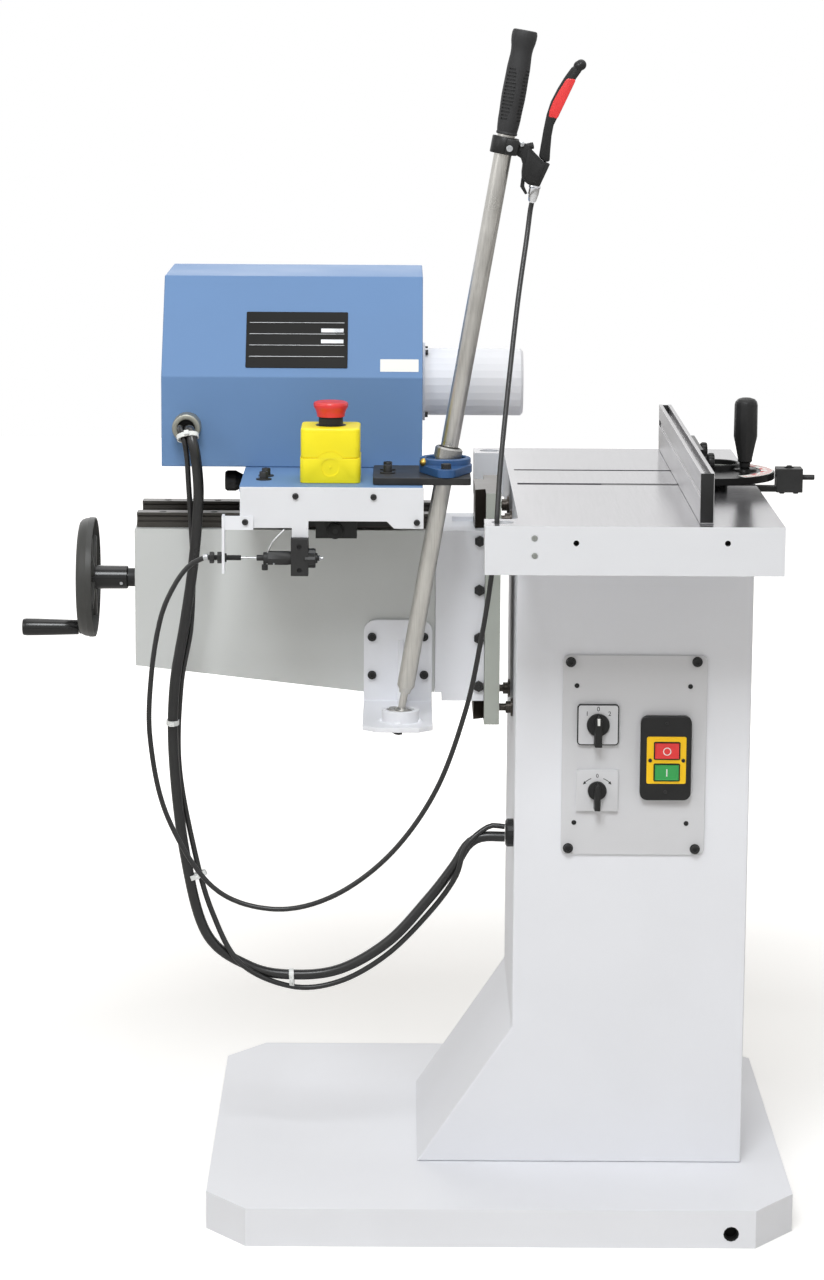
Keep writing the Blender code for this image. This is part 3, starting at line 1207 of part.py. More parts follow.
def make_inserts(outer_frame, inner_frame):
    centre = (bearing_x(), LEVER_Y, BEARING_Z)
    outer = ball_arc(INSERT_R, INSERT_HALF, 3) + ball_arc(INSERT_SEAT, INSERT_HALF, 3, False)
    finish_leaning(turned("insert_outer", "Z", (0, 0), outer), CASTING, outer_frame, centre)
    neck = INSERT_HALF + (INNER_HALF - INSERT_HALF) / 2
    inner = ball_arc(INNER_R, neck, 4)
    inner += [(INNER_NECK_R, neck), (INNER_NECK_R, INNER_COLLAR_LOW),
              (INNER_COLLAR_R, INNER_COLLAR_LOW), (INNER_COLLAR_R, INNER_COLLAR_TOP - INNER_HALF / 4),
              (INNER_COLLAR_R - INNER_HALF / 4, INNER_COLLAR_TOP), (INNER_BORE, INNER_COLLAR_TOP),
              (INNER_BORE, -neck)]
    finish_leaning(turned("insert_inner", "Z", (0, 0), inner), STEEL, inner_frame, centre)


# Operating lever with its brake handle

def make_swivel(swivel_frame):
    ring = ball_arc(SWIVEL_R, SWIVEL_HALF, 4) + ball_arc(SWIVEL_SEAT, SWIVEL_HALF, 4, False)
    finish_leaning(turned("lever_swivel", "Z", (0, 0), ring), STEEL, swivel_frame, (FOOT_X, LEVER_Y, FOOT_Z))


def make_lever_tube(lever_frame):
    washer_low = STUD_WASHER_TOP - STUD_WASHER_LENGTH
    ball = ball_arc(BALL_R, math.sqrt(BALL_R ** 2 - STUD_R ** 2), 8)
    profile = [(0, STUD_BOTTOM), (STUD_R, STUD_BOTTOM), (STUD_NUT_R, STUD_BOTTOM + STUD_R / 2),
               (STUD_NUT_R, washer_low), (STUD_WASHER_R, washer_low), (STUD_WASHER_R, STUD_WASHER_TOP),
               (STUD_R, STUD_WASHER_TOP), *ball, (STUD_R, LEVER_TUBE_START),
               (LEVER_TUBE_R - STUD_R / 4, LEVER_TUBE_START), (LEVER_TUBE_R, LEVER_TUBE_START + STUD_R / 4),
               (LEVER_TUBE_R, LEVER_TUBE_END), (0, LEVER_TUBE_END)]
    tube = turned("lever_tube", "Z", (0, 0), profile, COARSE)
    finish_leaning(tube, STEEL, lever_frame, (FOOT_X, LEVER_Y, FOOT_Z))


def grip_start():
    """Where the grip begins, measured along the lever from its foot."""
    return LEVER_TUBE_END + GRIP_CAP - GRIP_LENGTH


def clamp_low():
    """The lower edge of the brake's clamp, measured along the lever."""
    return grip_start() - CLAMP_GAP - CLAMP_LENGTH


def make_grip(lever_frame):
    low = grip_start()
    end = low + GRIP_LENGTH
    bore = LEVER_TUBE_R + GAP
    step = GRIP_LENGTH * GRIP_RIBBED_SHARE / GRIP_RIBS
    first = low + GRIP_LENGTH * GRIP_COLLAR_SHARE
    profile = [(bore, low), (GRIP_LOW_R, low)]
    for rib in range(GRIP_RIBS):
        rise = first + step * rib
        swell = GRIP_LOW_R + (GRIP_MIDDLE_R - GRIP_LOW_R) * math.sin(math.pi * (rib + 1) / (GRIP_RIBS + 1))
        profile += [(swell - GRIP_GROOVE, rise), (swell, rise + step / 4), (swell, rise + step * 3 / 4)]
    waist, bulge, shoulder = (low + GRIP_LENGTH * share for share in GRIP_END_SHARES)
    profile += [(GRIP_WAIST_R, waist), (GRIP_BULGE_R, bulge), (GRIP_BULGE_R, shoulder),
                (GRIP_BULGE_R * 3 / 4, end), (0, end), (0, LEVER_TUBE_END + GAP),
                (bore, LEVER_TUBE_END + GAP)]
    grip = turned("lever_grip", "Z", (0, 0), profile, COARSE)
    finish_leaning(grip, BLACK_RUBBER, lever_frame, (FOOT_X, LEVER_Y, FOOT_Z))


def make_brake_clamp(lever_frame):
    low = clamp_low()
    high = low + CLAMP_LENGTH
    clamp = rod("brake_clamp", "Z", (0, 0), CLAMP_R, low, high, COARSE)
    outline = [(u, low + rise) for u, rise in zip(BRAKE_OUTLINE_U, BRAKE_OUTLINE_V)]
    body = prism("body", outline, "Y", -BRAKE_BODY_HALF, BRAKE_BODY_HALF)
    barrel_top = low - BARREL_DROP
    barrel_end = barrel_top - BARREL_LENGTH
    cut(body, block("lever slot", (TRIGGER_U - LEVER_TUBE_R, -BRAKE_SLOT, barrel_top + OVERRUN),
                    (max(BRAKE_OUTLINE_U) + OVERRUN, BRAKE_SLOT, high + OVERRUN)))
    join(clamp, body)
    barrel = [(BARREL_BORE, barrel_end), (BARREL_R * 3 / 4, barrel_end),
              (BARREL_R, barrel_end + BARREL_R / 4), (BARREL_R, barrel_top), (BARREL_BORE, barrel_top)]
    join(clamp, turned("barrel", "Z", (BARREL_U, 0), barrel, SMALL))
    cut(clamp, rod("tube bore", "Z", (0, 0), LEVER_TUBE_R + GAP, low - OVERRUN, high + OVERRUN, COARSE))
    cut(clamp, rod("pivot hole", "Y", (TRIGGER_U, low - TRIGGER_DROP), TRIGGER_PIN_R + GAP,
                   -BRAKE_BODY_HALF - OVERRUN, BRAKE_BODY_HALF + OVERRUN, SMALL))
    finish_leaning(clamp, BLACK_PLASTIC, lever_frame, (FOOT_X, LEVER_Y, FOOT_Z))


def trigger_pivot():
    """The brake lever's pivot in the machine's own frame."""
    u, v = TRIGGER_U, clamp_low() - TRIGGER_DROP
    sine, cosine = math.sin(LEVER_LEAN), math.cos(LEVER_LEAN)
    return (FOOT_X + u * cosine + v * sine, LEVER_Y, FOOT_Z - u * sine + v * cosine)


def make_trigger(trigger_frame):
    outline = list(zip(TRIGGER_OUTLINE_U, TRIGGER_OUTLINE_V))
    blade = prism("brake_trigger", outline, "Y", -TRIGGER_HALF, TRIGGER_HALF)
    join(blade, rod("pivot pin", "Y", (0, 0), TRIGGER_PIN_R, -BRAKE_BODY_HALF, BRAKE_BODY_HALF, SMALL))
    finish_leaning(blade, BLACK_PLASTIC, trigger_frame, trigger_pivot())


# Index plunger, its block and the cable bracket

def make_plunger(cross, pin_frame):
    centre = (PLUNGER_Y, PLUNGER_Z)
    piece = block("plunger_block", (PLUNGER_LEFT, PLUNGER_FRONT, PLUNGER_BOTTOM),
                  (PLUNGER_RIGHT, PLUNGER_BACK, COVER_TAB_BOTTOM - GAP))
    barrel = rod("barrel", "X", centre, PLUNGER_BARREL_R, PLUNGER_BARREL_LEFT, PLUNGER_RIGHT + OVERRUN,
                 COARSE)
    join(piece, barrel)
    nut = rod("nut", "X", centre, PLUNGER_NUT_R, PLUNGER_RIGHT - OVERRUN, PLUNGER_NUT_RIGHT, 6)
    join(piece, nut)
    cut(piece, rod("pin bore", "X", centre, PLUNGER_PIN_R + GAP, PLUNGER_BARREL_LEFT - OVERRUN,
                   PLUNGER_NUT_RIGHT + OVERRUN, SMALL))
    finish(soften(piece, PLUNGER_HOLE_R / 4, 80), BLACK_STEEL, cross)
    clamp_right = CABLE_CLAMP_RIGHT
    pin = [(0, CABLE_CLAMP_LEFT), (CABLE_CLAMP_R, CABLE_CLAMP_LEFT), (CABLE_CLAMP_R, clamp_right),
           (PLUNGER_PIN_R, clamp_right), (PLUNGER_PIN_R, PLUNGER_TIP - PLUNGER_PIN_R / 2),
           (PLUNGER_PIN_R / 2, PLUNGER_TIP), (0, PLUNGER_TIP)]
    finish(turned("index_plunger", "X", centre, pin, SMALL), STEEL, pin_frame,
           (PLUNGER_TIP, PLUNGER_Y, PLUNGER_Z))


def make_cable_bracket(cross):
    back = HEAD_FRONT - COVER_THICK - 2 * GAP
    thick = STRIP_RIGHT - STRIP_LEFT
    strip = block("cable_bracket", (STRIP_LEFT, PLUNGER_Y - STRIP_WIDTH / 2, STRIP_BOTTOM),
                  (STRIP_RIGHT, PLUNGER_Y + STRIP_WIDTH / 2, STRIP_TOP))
    leg_low = STRIP_TOP - STRIP_WIDTH
    join(strip, block("leg", (STRIP_LEFT, back - thick, leg_low + GAP),
                      (STRIP_LEG_RIGHT, back, STRIP_TOP - GAP)))
    centre = (PLUNGER_Y, PLUNGER_Z)
    join(strip, rod("adjuster", "X", centre, ADJUSTER_R, ADJUSTER_LEFT, ADJUSTER_RIGHT, SMALL))
    for start in (STRIP_LEFT - ADJUSTER_NUT, STRIP_RIGHT - GAP):
        join(strip, rod("lock nut", "X", centre, ADJUSTER_NUT_R, start, start + ADJUSTER_NUT + GAP, 6))
    cut(strip, rod("wire hole", "X", centre, ADJUSTER_BORE, ADJUSTER_LEFT - OVERRUN,
                   ADJUSTER_RIGHT + OVERRUN, 8))
    finish(strip, GREY_PAINT, cross)


# Emergency stop

def make_estop(cross):
    low = HEAD_TOP + GAP
    seam = low + ESTOP_SEAM_RISE
    top = low + ESTOP_HEIGHT
    collar_top = top + ESTOP_COLLAR_HEIGHT
    cap_low = collar_top + ESTOP_CAP_GAP
    cap_top = cap_low + ESTOP_CAP_HEIGHT
    outline = rounded((ESTOP_X - ESTOP_HALF, ESTOP_Y - ESTOP_HALF),
                      (ESTOP_X + ESTOP_HALF, ESTOP_Y + ESTOP_HALF), ESTOP_CORNER)
    inner = inset(outline, GAP * 2)
    box = prism("estop_box", outline, "Z", low, top)
    around = rounded((ESTOP_X - ESTOP_HALF * 2, ESTOP_Y - ESTOP_HALF * 2),
                     (ESTOP_X + ESTOP_HALF * 2, ESTOP_Y + ESTOP_HALF * 2), ESTOP_CORNER)
    groove = prism("seam", around, "Z", seam - GAP, seam + GAP)
    cut(groove, prism("core", inner, "Z", seam - OVERRUN, seam + OVERRUN))
    cut(box, groove)
    centre = (ESTOP_X, ESTOP_Y)
    join(box, rod("collar", "Z", centre, ESTOP_COLLAR_R, top - OVERRUN, collar_top, COARSE))
    cut(box, rod("stem well", "Z", centre, ESTOP_STEM_R + GAP, top - ESTOP_WELL, collar_top + OVERRUN,
                 SMALL))
    finish(box, YELLOW_PLASTIC, cross)
    cap = frame("estop_button_frame", (ESTOP_X, ESTOP_Y, cap_top), cross)
    stem_low = top - ESTOP_WELL + ESTOP_CAP_GAP
    profile = [(0, stem_low), (ESTOP_STEM_R, stem_low), (ESTOP_STEM_R, cap_low),
               *shaped(ESTOP_CAP_R, cap_low, cap_top, ESTOP_SHAPE_SHARES), (0, cap_top)]
    finish(turned("estop_button", "Z", centre, profile, COARSE), RED_PLASTIC, cap,
           (ESTOP_X, ESTOP_Y, cap_top))


# Control panel on the column

def make_panel():
    back = -COLUMN_HALF_Y - GAP
    face = back - PANEL_THICK
    outline = rounded((PANEL_LEFT, PANEL_BOTTOM), (PANEL_RIGHT, PANEL_TOP), PANEL_CORNER, 2)
    panel = prism("control_plate", outline, "Y", face, back)
    raised = face - SWITCH_THICK
    half = SWITCH_SIZE / 2
    for height in (SELECTOR_Z, DIRECTION_Z):
        plate = rounded((SWITCH_X - half, height - half), (SWITCH_X + half, height + half),
                        PANEL_CORNER / 2, 2)
        join(panel, prism("switch plate", plate, "Y", raised, face + PANEL_THICK / 2))
        cut(panel, rod("stem hole", "Y", (SWITCH_X, height), KNOB_STEM_R + GAP, raised - OVERRUN,
                       face + PANEL_THICK / 2, SMALL))
    finish(panel, GREY_PLASTIC)
    for name, height, radius in (("selector_knob", SELECTOR_Z, SELECTOR_R),
                                 ("direction_knob", DIRECTION_Z, DIRECTION_R)):
        make_rotary_knob(name, height, radius, raised - GAP, face + PANEL_THICK / 2 - GAP)


def make_rotary_knob(name, height, radius, seat, stem_end):
    """A round skirt with a finger bar across it, on a stem that enters its plate."""
    turn = frame(f"{name}_frame", (SWITCH_X, seat, height))
    skirt = seat - KNOB_SKIRT
    profile = [(0, stem_end), (KNOB_STEM_R, stem_end), (KNOB_STEM_R, seat), (radius, seat),
               (radius - KNOB_CHAMFER, skirt), (0, skirt)]
    knob = turned(name, "Y", (SWITCH_X, height), profile, COARSE)
    bar = radius * KNOB_BAR_SHARE
    reach = radius - KNOB_CHAMFER
    outline = rounded((SWITCH_X - bar, height - reach - KNOB_TAIL), (SWITCH_X + bar, height + reach), bar / 2)
    join(knob, prism("finger bar", outline, "Y", seat - KNOB_DEPTH, skirt + KNOB_SKIRT / 2))
    finish(knob, BLACK_PLASTIC, turn, (SWITCH_X, seat, height))


def make_starter():
    back = -COLUMN_HALF_Y - PANEL_THICK - 2 * GAP
    face = back - STARTER_DEPTH
    outline = rounded((STARTER_LEFT, STARTER_BOTTOM), (STARTER_RIGHT, STARTER_TOP), STARTER_CORNER)
    box = prism("start_stop_box", outline, "Y", face, back)
    half_w = BUTTON_WIDTH / 2
    half_h = BUTTON_HEIGHT / 2
    for height in (STOP_Z, START_Z):
        well = rounded((BUTTON_X - half_w - GAP, height - half_h - GAP),
                       (BUTTON_X + half_w + GAP, height + half_h + GAP), BUTTON_ROUND + GAP)
        cut(box, prism("button well", well, "Y", face - OVERRUN, face + BUTTON_DEPTH))
    finish(box, BLACK_PLASTIC)
    for name, height, look in (("stop_button", STOP_Z, RED_PLASTIC),
                               ("start_button", START_Z, GREEN_PLASTIC)):
        press = frame(f"{name}_frame", (BUTTON_X, face, height))
        shape = rounded((BUTTON_X - half_w, height - half_h), (BUTTON_X + half_w, height + half_h),
                        BUTTON_ROUND)
        button = prism(name, shape, "Y", face - BUTTON_STAND, face + BUTTON_DEPTH - BUTTON_STAND)
        finish(button, look, press, (BUTTON_X, face, height))


def make_column_gland():
    end = COLUMN_LEFT - GAP
    start = end - COLUMN_GLAND_LENGTH
    lip = COLUMN_GLAND_R - COLUMN_GLAND_LENGTH / 4
    inner = COLUMN_GLAND_BORE - COLUMN_GLAND_LENGTH / 2
    profile = [(0, end), (COLUMN_GLAND_R, end), (COLUMN_GLAND_R, start + COLUMN_GLAND_LENGTH / 4),
               (lip, start), (inner, start), (0, start)]
    gland = turned("column_gland", "X", (COLUMN_GLAND_Y, COLUMN_GLAND_Z), profile, COARSE)
    finish(gland, BLACK_PLASTIC)


# Mitre gauge on the table

def make_gauge_bar(gauge):
    half = SLOT_WIDTH / 2 - BAR_CLEARANCE
    low = TABLE_TOP - SLOT_DEPTH + BAR_CLEARANCE
    top = TABLE_TOP - BAR_CLEARANCE
    bar = block("gauge_bar", (BAR_LEFT, SLOT_Y - half, low), (BAR_RIGHT, SLOT_Y + half, top))
    end_block = block("end block", (BAR_BLOCK_LEFT, SLOT_Y - BAR_BLOCK_HALF_Y, low),
                      (BAR_BLOCK_RIGHT, SLOT_Y + BAR_BLOCK_HALF_Y, BAR_BLOCK_TOP))
    join(bar, end_block)
    middle = (BAR_BLOCK_LEFT + BAR_BLOCK_RIGHT) / 2
    join(bar, rod("thumb screw", "Z", (middle, SLOT_Y), BAR_SCREW_R, BAR_BLOCK_TOP - OVERRUN,
                  BAR_SCREW_TOP, SMALL))
    join(bar, rod("stop rod", "X", (SLOT_Y, BAR_ROD_Z), BAR_ROD_R, BAR_BLOCK_RIGHT - OVERRUN,
                  BAR_ROD_RIGHT, SMALL))
    join(bar, rod("pivot pin", "Z", (PIVOT_X, SLOT_Y), PIVOT_R, top - BAR_CLEARANCE,
                  (DISC_BOTTOM + DISC_TOP) / 2, COARSE))
    finish(bar, STEEL, gauge)


def make_gauge_head(head):
    flat = math.degrees(math.acos((DISC_CUT_X - PIVOT_X) / DISC_R))
    outline = arc((PIVOT_X, SLOT_Y), DISC_R, -flat, flat, 28)
    disc = prism("gauge_head", outline, "Z", DISC_BOTTOM, DISC_TOP)
    foot_low = TABLE_TOP + GAP
    join(disc, rod("foot", "Z", (PIVOT_X, SLOT_Y), DISC_FOOT_R, foot_low, DISC_BOTTOM + OVERRUN, COARSE))
    carrier_left = FENCE_RIGHT + GAP
    lean = [(carrier_left, SLOT_Y - CARRIER_HALF_Y), (carrier_left + CARRIER_THICK, SLOT_Y - CARRIER_HALF_Y),
            (CARRIER_RIGHT, SLOT_Y - CARRIER_HALF_Y * 3 / 4),
            (CARRIER_RIGHT, SLOT_Y + CARRIER_HALF_Y * 3 / 4),
            (carrier_left + CARRIER_THICK, SLOT_Y + CARRIER_HALF_Y), (carrier_left, SLOT_Y + CARRIER_HALF_Y)]
    join(disc, prism("shoe", lean, "Z", DISC_BOTTOM - GAP, DISC_TOP + GAP))
    join(disc, block("upright", (carrier_left, SLOT_Y - CARRIER_HALF_Y + CARRIER_THICK, DISC_BOTTOM + GAP),
                     (carrier_left + CARRIER_THICK, SLOT_Y + CARRIER_HALF_Y - CARRIER_THICK, CARRIER_TOP)))
    cut(disc, rod("pivot hole", "Z", (PIVOT_X, SLOT_Y), PIVOT_R + GAP, foot_low - OVERRUN,
                  (DISC_BOTTOM + DISC_TOP) / 2 + GAP, COARSE))
    join(disc, rod("handle stud", "Z", (HANDLE_X, SLOT_Y), HANDLE_STUD_R, DISC_TOP - OVERRUN,
                   HANDLE_LOW + HANDLE_R, COARSE))
    for side in (-1, 1):
        spot = (SLOT_Y + side * FENCE_KNOB_Y, FENCE_KNOB_Z)
        stud = carrier_left + CARRIER_THICK + FENCE_KNOB_LENGTH / 2
        join(disc, rod("knob stud", "X", spot, FENCE_KNOB_STUD_R, carrier_left + CARRIER_THICK / 2, stud,
                       SMALL))
    finish(disc, BLACK_STEEL, head, (PIVOT_X, SLOT_Y, DISC_TOP))


def make_gauge_handle(head):
    turn = frame("gauge_handle_frame", (HANDLE_X, SLOT_Y, HANDLE_LOW), head)
    bore = HANDLE_STUD_R + GAP
    deep = HANDLE_LOW + HANDLE_R + GAP
    profile = [(bore, HANDLE_LOW), *shaped(HANDLE_R, HANDLE_LOW, HANDLE_TOP, HANDLE_SHAPE_SHARES),
               (0, HANDLE_TOP), (0, deep), (bore, deep)]
    handle = turned("gauge_handle", "Z", (HANDLE_X, SLOT_Y), profile, COARSE)
    finish(handle, BLACK_PLASTIC, turn, (HANDLE_X, SLOT_Y, HANDLE_LOW))


def make_fence(fence_frame):
    body = block("fence", (FENCE_LEFT, FENCE_FRONT, FENCE_BOTTOM), (FENCE_RIGHT, FENCE_BACK, FENCE_TOP))
    middle = (FENCE_LEFT + FENCE_RIGHT) / 2
    throat = FENCE_TOP - FENCE_SLOT_LIP
    cut(body, block("slot mouth", (middle - FENCE_SLOT / 2, FENCE_FRONT - OVERRUN, throat - GAP),
                    (middle + FENCE_SLOT / 2, FENCE_BACK + OVERRUN, FENCE_TOP + OVERRUN)))
    cut(body, block("slot inside", (middle - FENCE_SLOT_INNER / 2, FENCE_FRONT - OVERRUN,
                                    FENCE_TOP - FENCE_SLOT_DEPTH),
                    (middle + FENCE_SLOT_INNER / 2, FENCE_BACK + OVERRUN, throat)))
    cut(body, block("face groove",
                    (FENCE_LEFT - OVERRUN, FENCE_FRONT - OVERRUN, FENCE_GROOVE_Z - FENCE_GROOVE),
                    (FENCE_LEFT + FENCE_WALL, FENCE_BACK + OVERRUN, FENCE_GROOVE_Z + FENCE_GROOVE)))
    finish(body, ALUMINIUM, fence_frame)


def make_fence_knobs(head):
    left = FENCE_RIGHT + CARRIER_THICK + 2 * GAP
    bore = FENCE_KNOB_STUD_R + GAP
    deep = FENCE_RIGHT + GAP + CARRIER_THICK + FENCE_KNOB_LENGTH / 2 + GAP
    right = left + FENCE_KNOB_LENGTH
    for name, side in (("near", -1), ("far", 1)):
        spot = (SLOT_Y + side * FENCE_KNOB_Y, FENCE_KNOB_Z)
        turn = frame(f"fence_knob_{name}_frame", (left, *spot), head)
        profile = [(bore, left), *shaped(FENCE_KNOB_R, left, right, FENCE_KNOB_SHAPE_SHARES), (0, right),
                   (0, deep), (bore, deep)]
        knob = turned(f"fence_knob_{name}", "X", spot, profile, COARSE)
        finish(knob, BLACK_PLASTIC, turn, (left, *spot))


def build():
    foot = (FOOT_X, LEVER_Y, FOOT_Z)
    bearing = (bearing_x(), LEVER_Y, BEARING_Z)
    lift = frame("lift_frame", (WAY_LEFT, 0, SADDLE_BOTTOM))
    wheel = frame("handwheel_frame", (WHEEL_HUB_FACE, 0, SHAFT_Z), lift)
    screw = frame("lift_screw_frame", (SCREW_X, 0, SCREW_BOTTOM), lift)
    plunge = frame("plunge_frame", (CARRIAGE_X, 0, ARM_TOP), lift)
    cross = frame("cross_frame", (CROSS_RAIL_LEFT_X, 0, PLATE_TOP), plunge)
    spindle = frame("spindle_frame", (CHUCK_RIGHT, 0, SPINDLE_Z), cross)
    insert_outer = frame("insert_outer_frame", bearing, cross)
    insert_inner = frame("insert_inner_frame", bearing, insert_outer)
    swivel = frame("lever_swivel_frame", foot, lift)
    lever = frame("lever_frame", foot, swivel)
    trigger = frame("trigger_frame", trigger_pivot(), lever)
    pin = frame("index_plunger_frame", (PLUNGER_TIP, PLUNGER_Y, PLUNGER_Z), cross)
    gauge = frame("gauge_frame", (PIVOT_X, SLOT_Y, TABLE_TOP))
    head = frame("gauge_head_frame", (PIVOT_X, SLOT_Y, DISC_TOP), gauge)
    fence = frame("fence_frame", (FENCE_RIGHT, SLOT_Y, FENCE_BOTTOM), head)
    make_base()
    make_column()
    make_table()
    make_way()
    make_panel()
    make_starter()
    make_column_gland()
    make_saddle(lift)
    make_gib(lift)
    make_arm(lift)
    make_lower_rails(lift, plunge)
    make_lever_bracket(lift)
    make_handwheel(wheel)
    make_crank_handle(wheel)
    make_drive(wheel, screw)
    make_slide_plate(plunge)
    make_cross_carriages(cross)
    make_depth_stop(plunge)
    make_slide_lock(cross)
    make_head_plate(cross)
    make_front_cover(cross)
    make_housing(cross)
    make_motor(cross)
    make_guard_and_chuck(cross, spindle)
    make_housing_gland(cross)
    make_lever_plate(cross)
    make_bearing_flange(cross)
    make_inserts(insert_outer, insert_inner)
    make_swivel(swivel)
    make_lever_tube(lever)
    make_grip(lever)
    make_brake_clamp(lever)
    make_trigger(trigger)
    make_plunger(cross, pin)
    make_cable_bracket(cross)
    make_estop(cross)
    make_gauge_bar(gauge)
    make_gauge_head(head)
    make_gauge_handle(head)
    make_fence(fence)
    make_fence_knobs(head)
    cable("power_cable", POWER_ROUTE, POWER_CABLE_R, CABLE_RUBBER, POWER_STEP)
    cable("control_cable", CONTROL_ROUTE, CONTROL_CABLE_R, CABLE_RUBBER, CONTROL_STEP)
    cable("brake_cable", BRAKE_ROUTE, BRAKE_CABLE_R, CABLE_RUBBER, BRAKE_STEP)


build()
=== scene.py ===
# %% [markdown]
# This notebook dresses a slot mortiser, a floor-standing machine that mills long slots in wood.
# The solids already have their real size and joints, so they are loaded first as a fixed frame.
# Every piece added here rides on one of the frame's bodies, and takes its place from the solids.

# %% Load the frame
import math
from contextlib import contextmanager

import bmesh
import bpy
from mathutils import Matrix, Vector


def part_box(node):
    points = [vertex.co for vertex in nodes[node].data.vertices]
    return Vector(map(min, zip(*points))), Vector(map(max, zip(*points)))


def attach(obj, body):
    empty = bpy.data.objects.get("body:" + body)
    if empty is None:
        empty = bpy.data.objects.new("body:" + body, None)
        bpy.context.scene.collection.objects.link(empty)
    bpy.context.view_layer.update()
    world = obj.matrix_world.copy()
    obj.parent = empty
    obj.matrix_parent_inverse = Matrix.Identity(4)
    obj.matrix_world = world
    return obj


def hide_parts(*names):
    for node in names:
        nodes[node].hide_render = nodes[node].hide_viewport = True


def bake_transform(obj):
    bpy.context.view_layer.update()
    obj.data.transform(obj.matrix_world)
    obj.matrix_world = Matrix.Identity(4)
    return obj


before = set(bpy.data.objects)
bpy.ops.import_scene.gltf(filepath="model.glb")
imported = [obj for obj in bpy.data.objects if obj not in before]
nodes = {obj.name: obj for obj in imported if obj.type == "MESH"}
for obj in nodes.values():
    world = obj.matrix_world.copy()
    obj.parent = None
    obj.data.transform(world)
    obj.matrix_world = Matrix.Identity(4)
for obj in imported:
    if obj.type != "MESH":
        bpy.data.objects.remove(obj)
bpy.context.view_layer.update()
bpy.ops.object.select_all(action="DESELECT")

# %% [markdown]
# The camera stands where the picture was taken from: four metres away, a little above the head,
# tilted down ten degrees. The tiny roll keeps the column as upright as it is in the picture.

# %% Camera
CAMERA_PLACE = (-0.121, -4.222, 1.4206)
CAMERA_ANGLES = (79.5818, -0.360, -0.1638)
CAMERA_LENS, CAMERA_SENSOR = 100.83, 36
FARTHEST_SEEN = 30

scene = bpy.context.scene
camera = bpy.data.objects.new("camera", bpy.data.cameras.new("camera"))
scene.collection.objects.link(camera)
camera.location = CAMERA_PLACE
camera.rotation_euler = [math.radians(angle) for angle in CAMERA_ANGLES]
camera.data.sensor_width = CAMERA_SENSOR
camera.data.lens = CAMERA_LENS
camera.data.clip_end = FARTHEST_SEEN
scene.camera = camera
print("camera at", CAMERA_PLACE)

# %% [markdown]
# The machine was photographed against white. More light would bleach its pale paint, so the
# white is given to camera, mirror and glass rays alone, and the machine itself is lit by a dim
# warm sky.

# %% Sky
SKY_COLOUR, SKY_STRENGTH = (1.0, 0.955, 0.895, 1), 0.25
PURE_WHITE = (1, 1, 1, 1)

scene.view_settings.view_transform = "Standard"
world = bpy.data.worlds.new("studio")
scene.world = world
world.use_nodes = True


def math_step(tree, operation):
    """A node that works out one sum."""
    made = tree.nodes.new("ShaderNodeMath")
    made.operation = operation
    return made


def link_all(tree, pairs):
    """Link each output to the input named beside it."""
    for output, entry in pairs:
        tree.links.new(output, entry)


sky = world.node_tree.nodes["Background"]
seen = world.node_tree.nodes.new("ShaderNodeBackground")
for background, colour, strength in ((sky, SKY_COLOUR, SKY_STRENGTH), (seen, PURE_WHITE, 1.0)):
    background.inputs["Color"].default_value = colour
    background.inputs["Strength"].default_value = strength
ray = world.node_tree.nodes.new("ShaderNodeLightPath")
pick = world.node_tree.nodes.new("ShaderNodeMixShader")
shown = math_step(world.node_tree, "MAXIMUM")
mirrored = math_step(world.node_tree, "MAXIMUM")
link_all(world.node_tree, (
    (ray.outputs["Is Camera Ray"], shown.inputs[0]),
    (ray.outputs["Is Transmission Ray"], shown.inputs[1]),
    (shown.outputs["Value"], mirrored.inputs[0]),
    (ray.outputs["Is Glossy Ray"], mirrored.inputs[1]),
    (mirrored.outputs["Value"], pick.inputs["Fac"]),
    (sky.outputs["Background"], pick.inputs[1]),
    (seen.outputs["Background"], pick.inputs[2]),
    (pick.outputs["Shader"], world.node_tree.nodes["World Output"].inputs["Surface"]),
))
print("sky strength:", SKY_STRENGTH)

# %% [markdown]
# Five large soft lamps stand round the machine, because a wide lamp gives soft shadows. The
# strongest hangs high in front on the left, and weak ones keep the back and sides readable.

# %% Lamps


def soft_lamp(name, place, aim, size, power, colour=(1, 1, 1)):
    """A rectangular lamp that looks at a point."""
    light = bpy.data.lights.new(name, "AREA")
    light.shape = "RECTANGLE"
    light.size, light.size_y = size
    light.energy = power
    light.color = colour
    lamp = bpy.data.objects.new(name, light)
    scene.collection.objects.link(lamp)
    lamp.location = place
    lamp.rotation_euler = (Vector(aim) - Vector(place)).to_track_quat("-Z", "Y").to_euler()


soft_lamp("key light", (-0.5, -3.0, 3.7), (0, 0, 0.7), (1.5, 1.5), 104, (0.95, 0.975, 1.0))
soft_lamp("side light", (-2.7, -1.7, 2.3), (0, 0, 0.8), (1.6, 1.8), 18)
soft_lamp("fill light", (2.4, -2.4, 2.7), (0, 0, 0.8), (1.6, 1.8), 9)
soft_lamp("top light", (0.2, 0.4, 3.2), (0, 0, 0.6), (2.4, 2.0), 24)
soft_lamp("back light", (-0.8, 3.0, 2.2), (0, 0, 0.8), (2.0, 1.6), 12)

# %% [markdown]
# The floor is plain and pale. Near the machine it takes the lamps' light and shows the shadow,
# and farther out it glows softly for the camera until it meets the white of the sky, so that no
# horizon line is seen.

# %% Floor
FLOOR_SIZE, FLOOR_COLOUR = 14, (0.90, 0.89, 0.87, 1)
FLOOR_ROUGHNESS, FLOOR_SHINE = 0.9, 0.1
FADE_START, FADE_END = 0.8, 2.6
GLOW_NEAR, GLOW_FAR = 0.29, 1.0

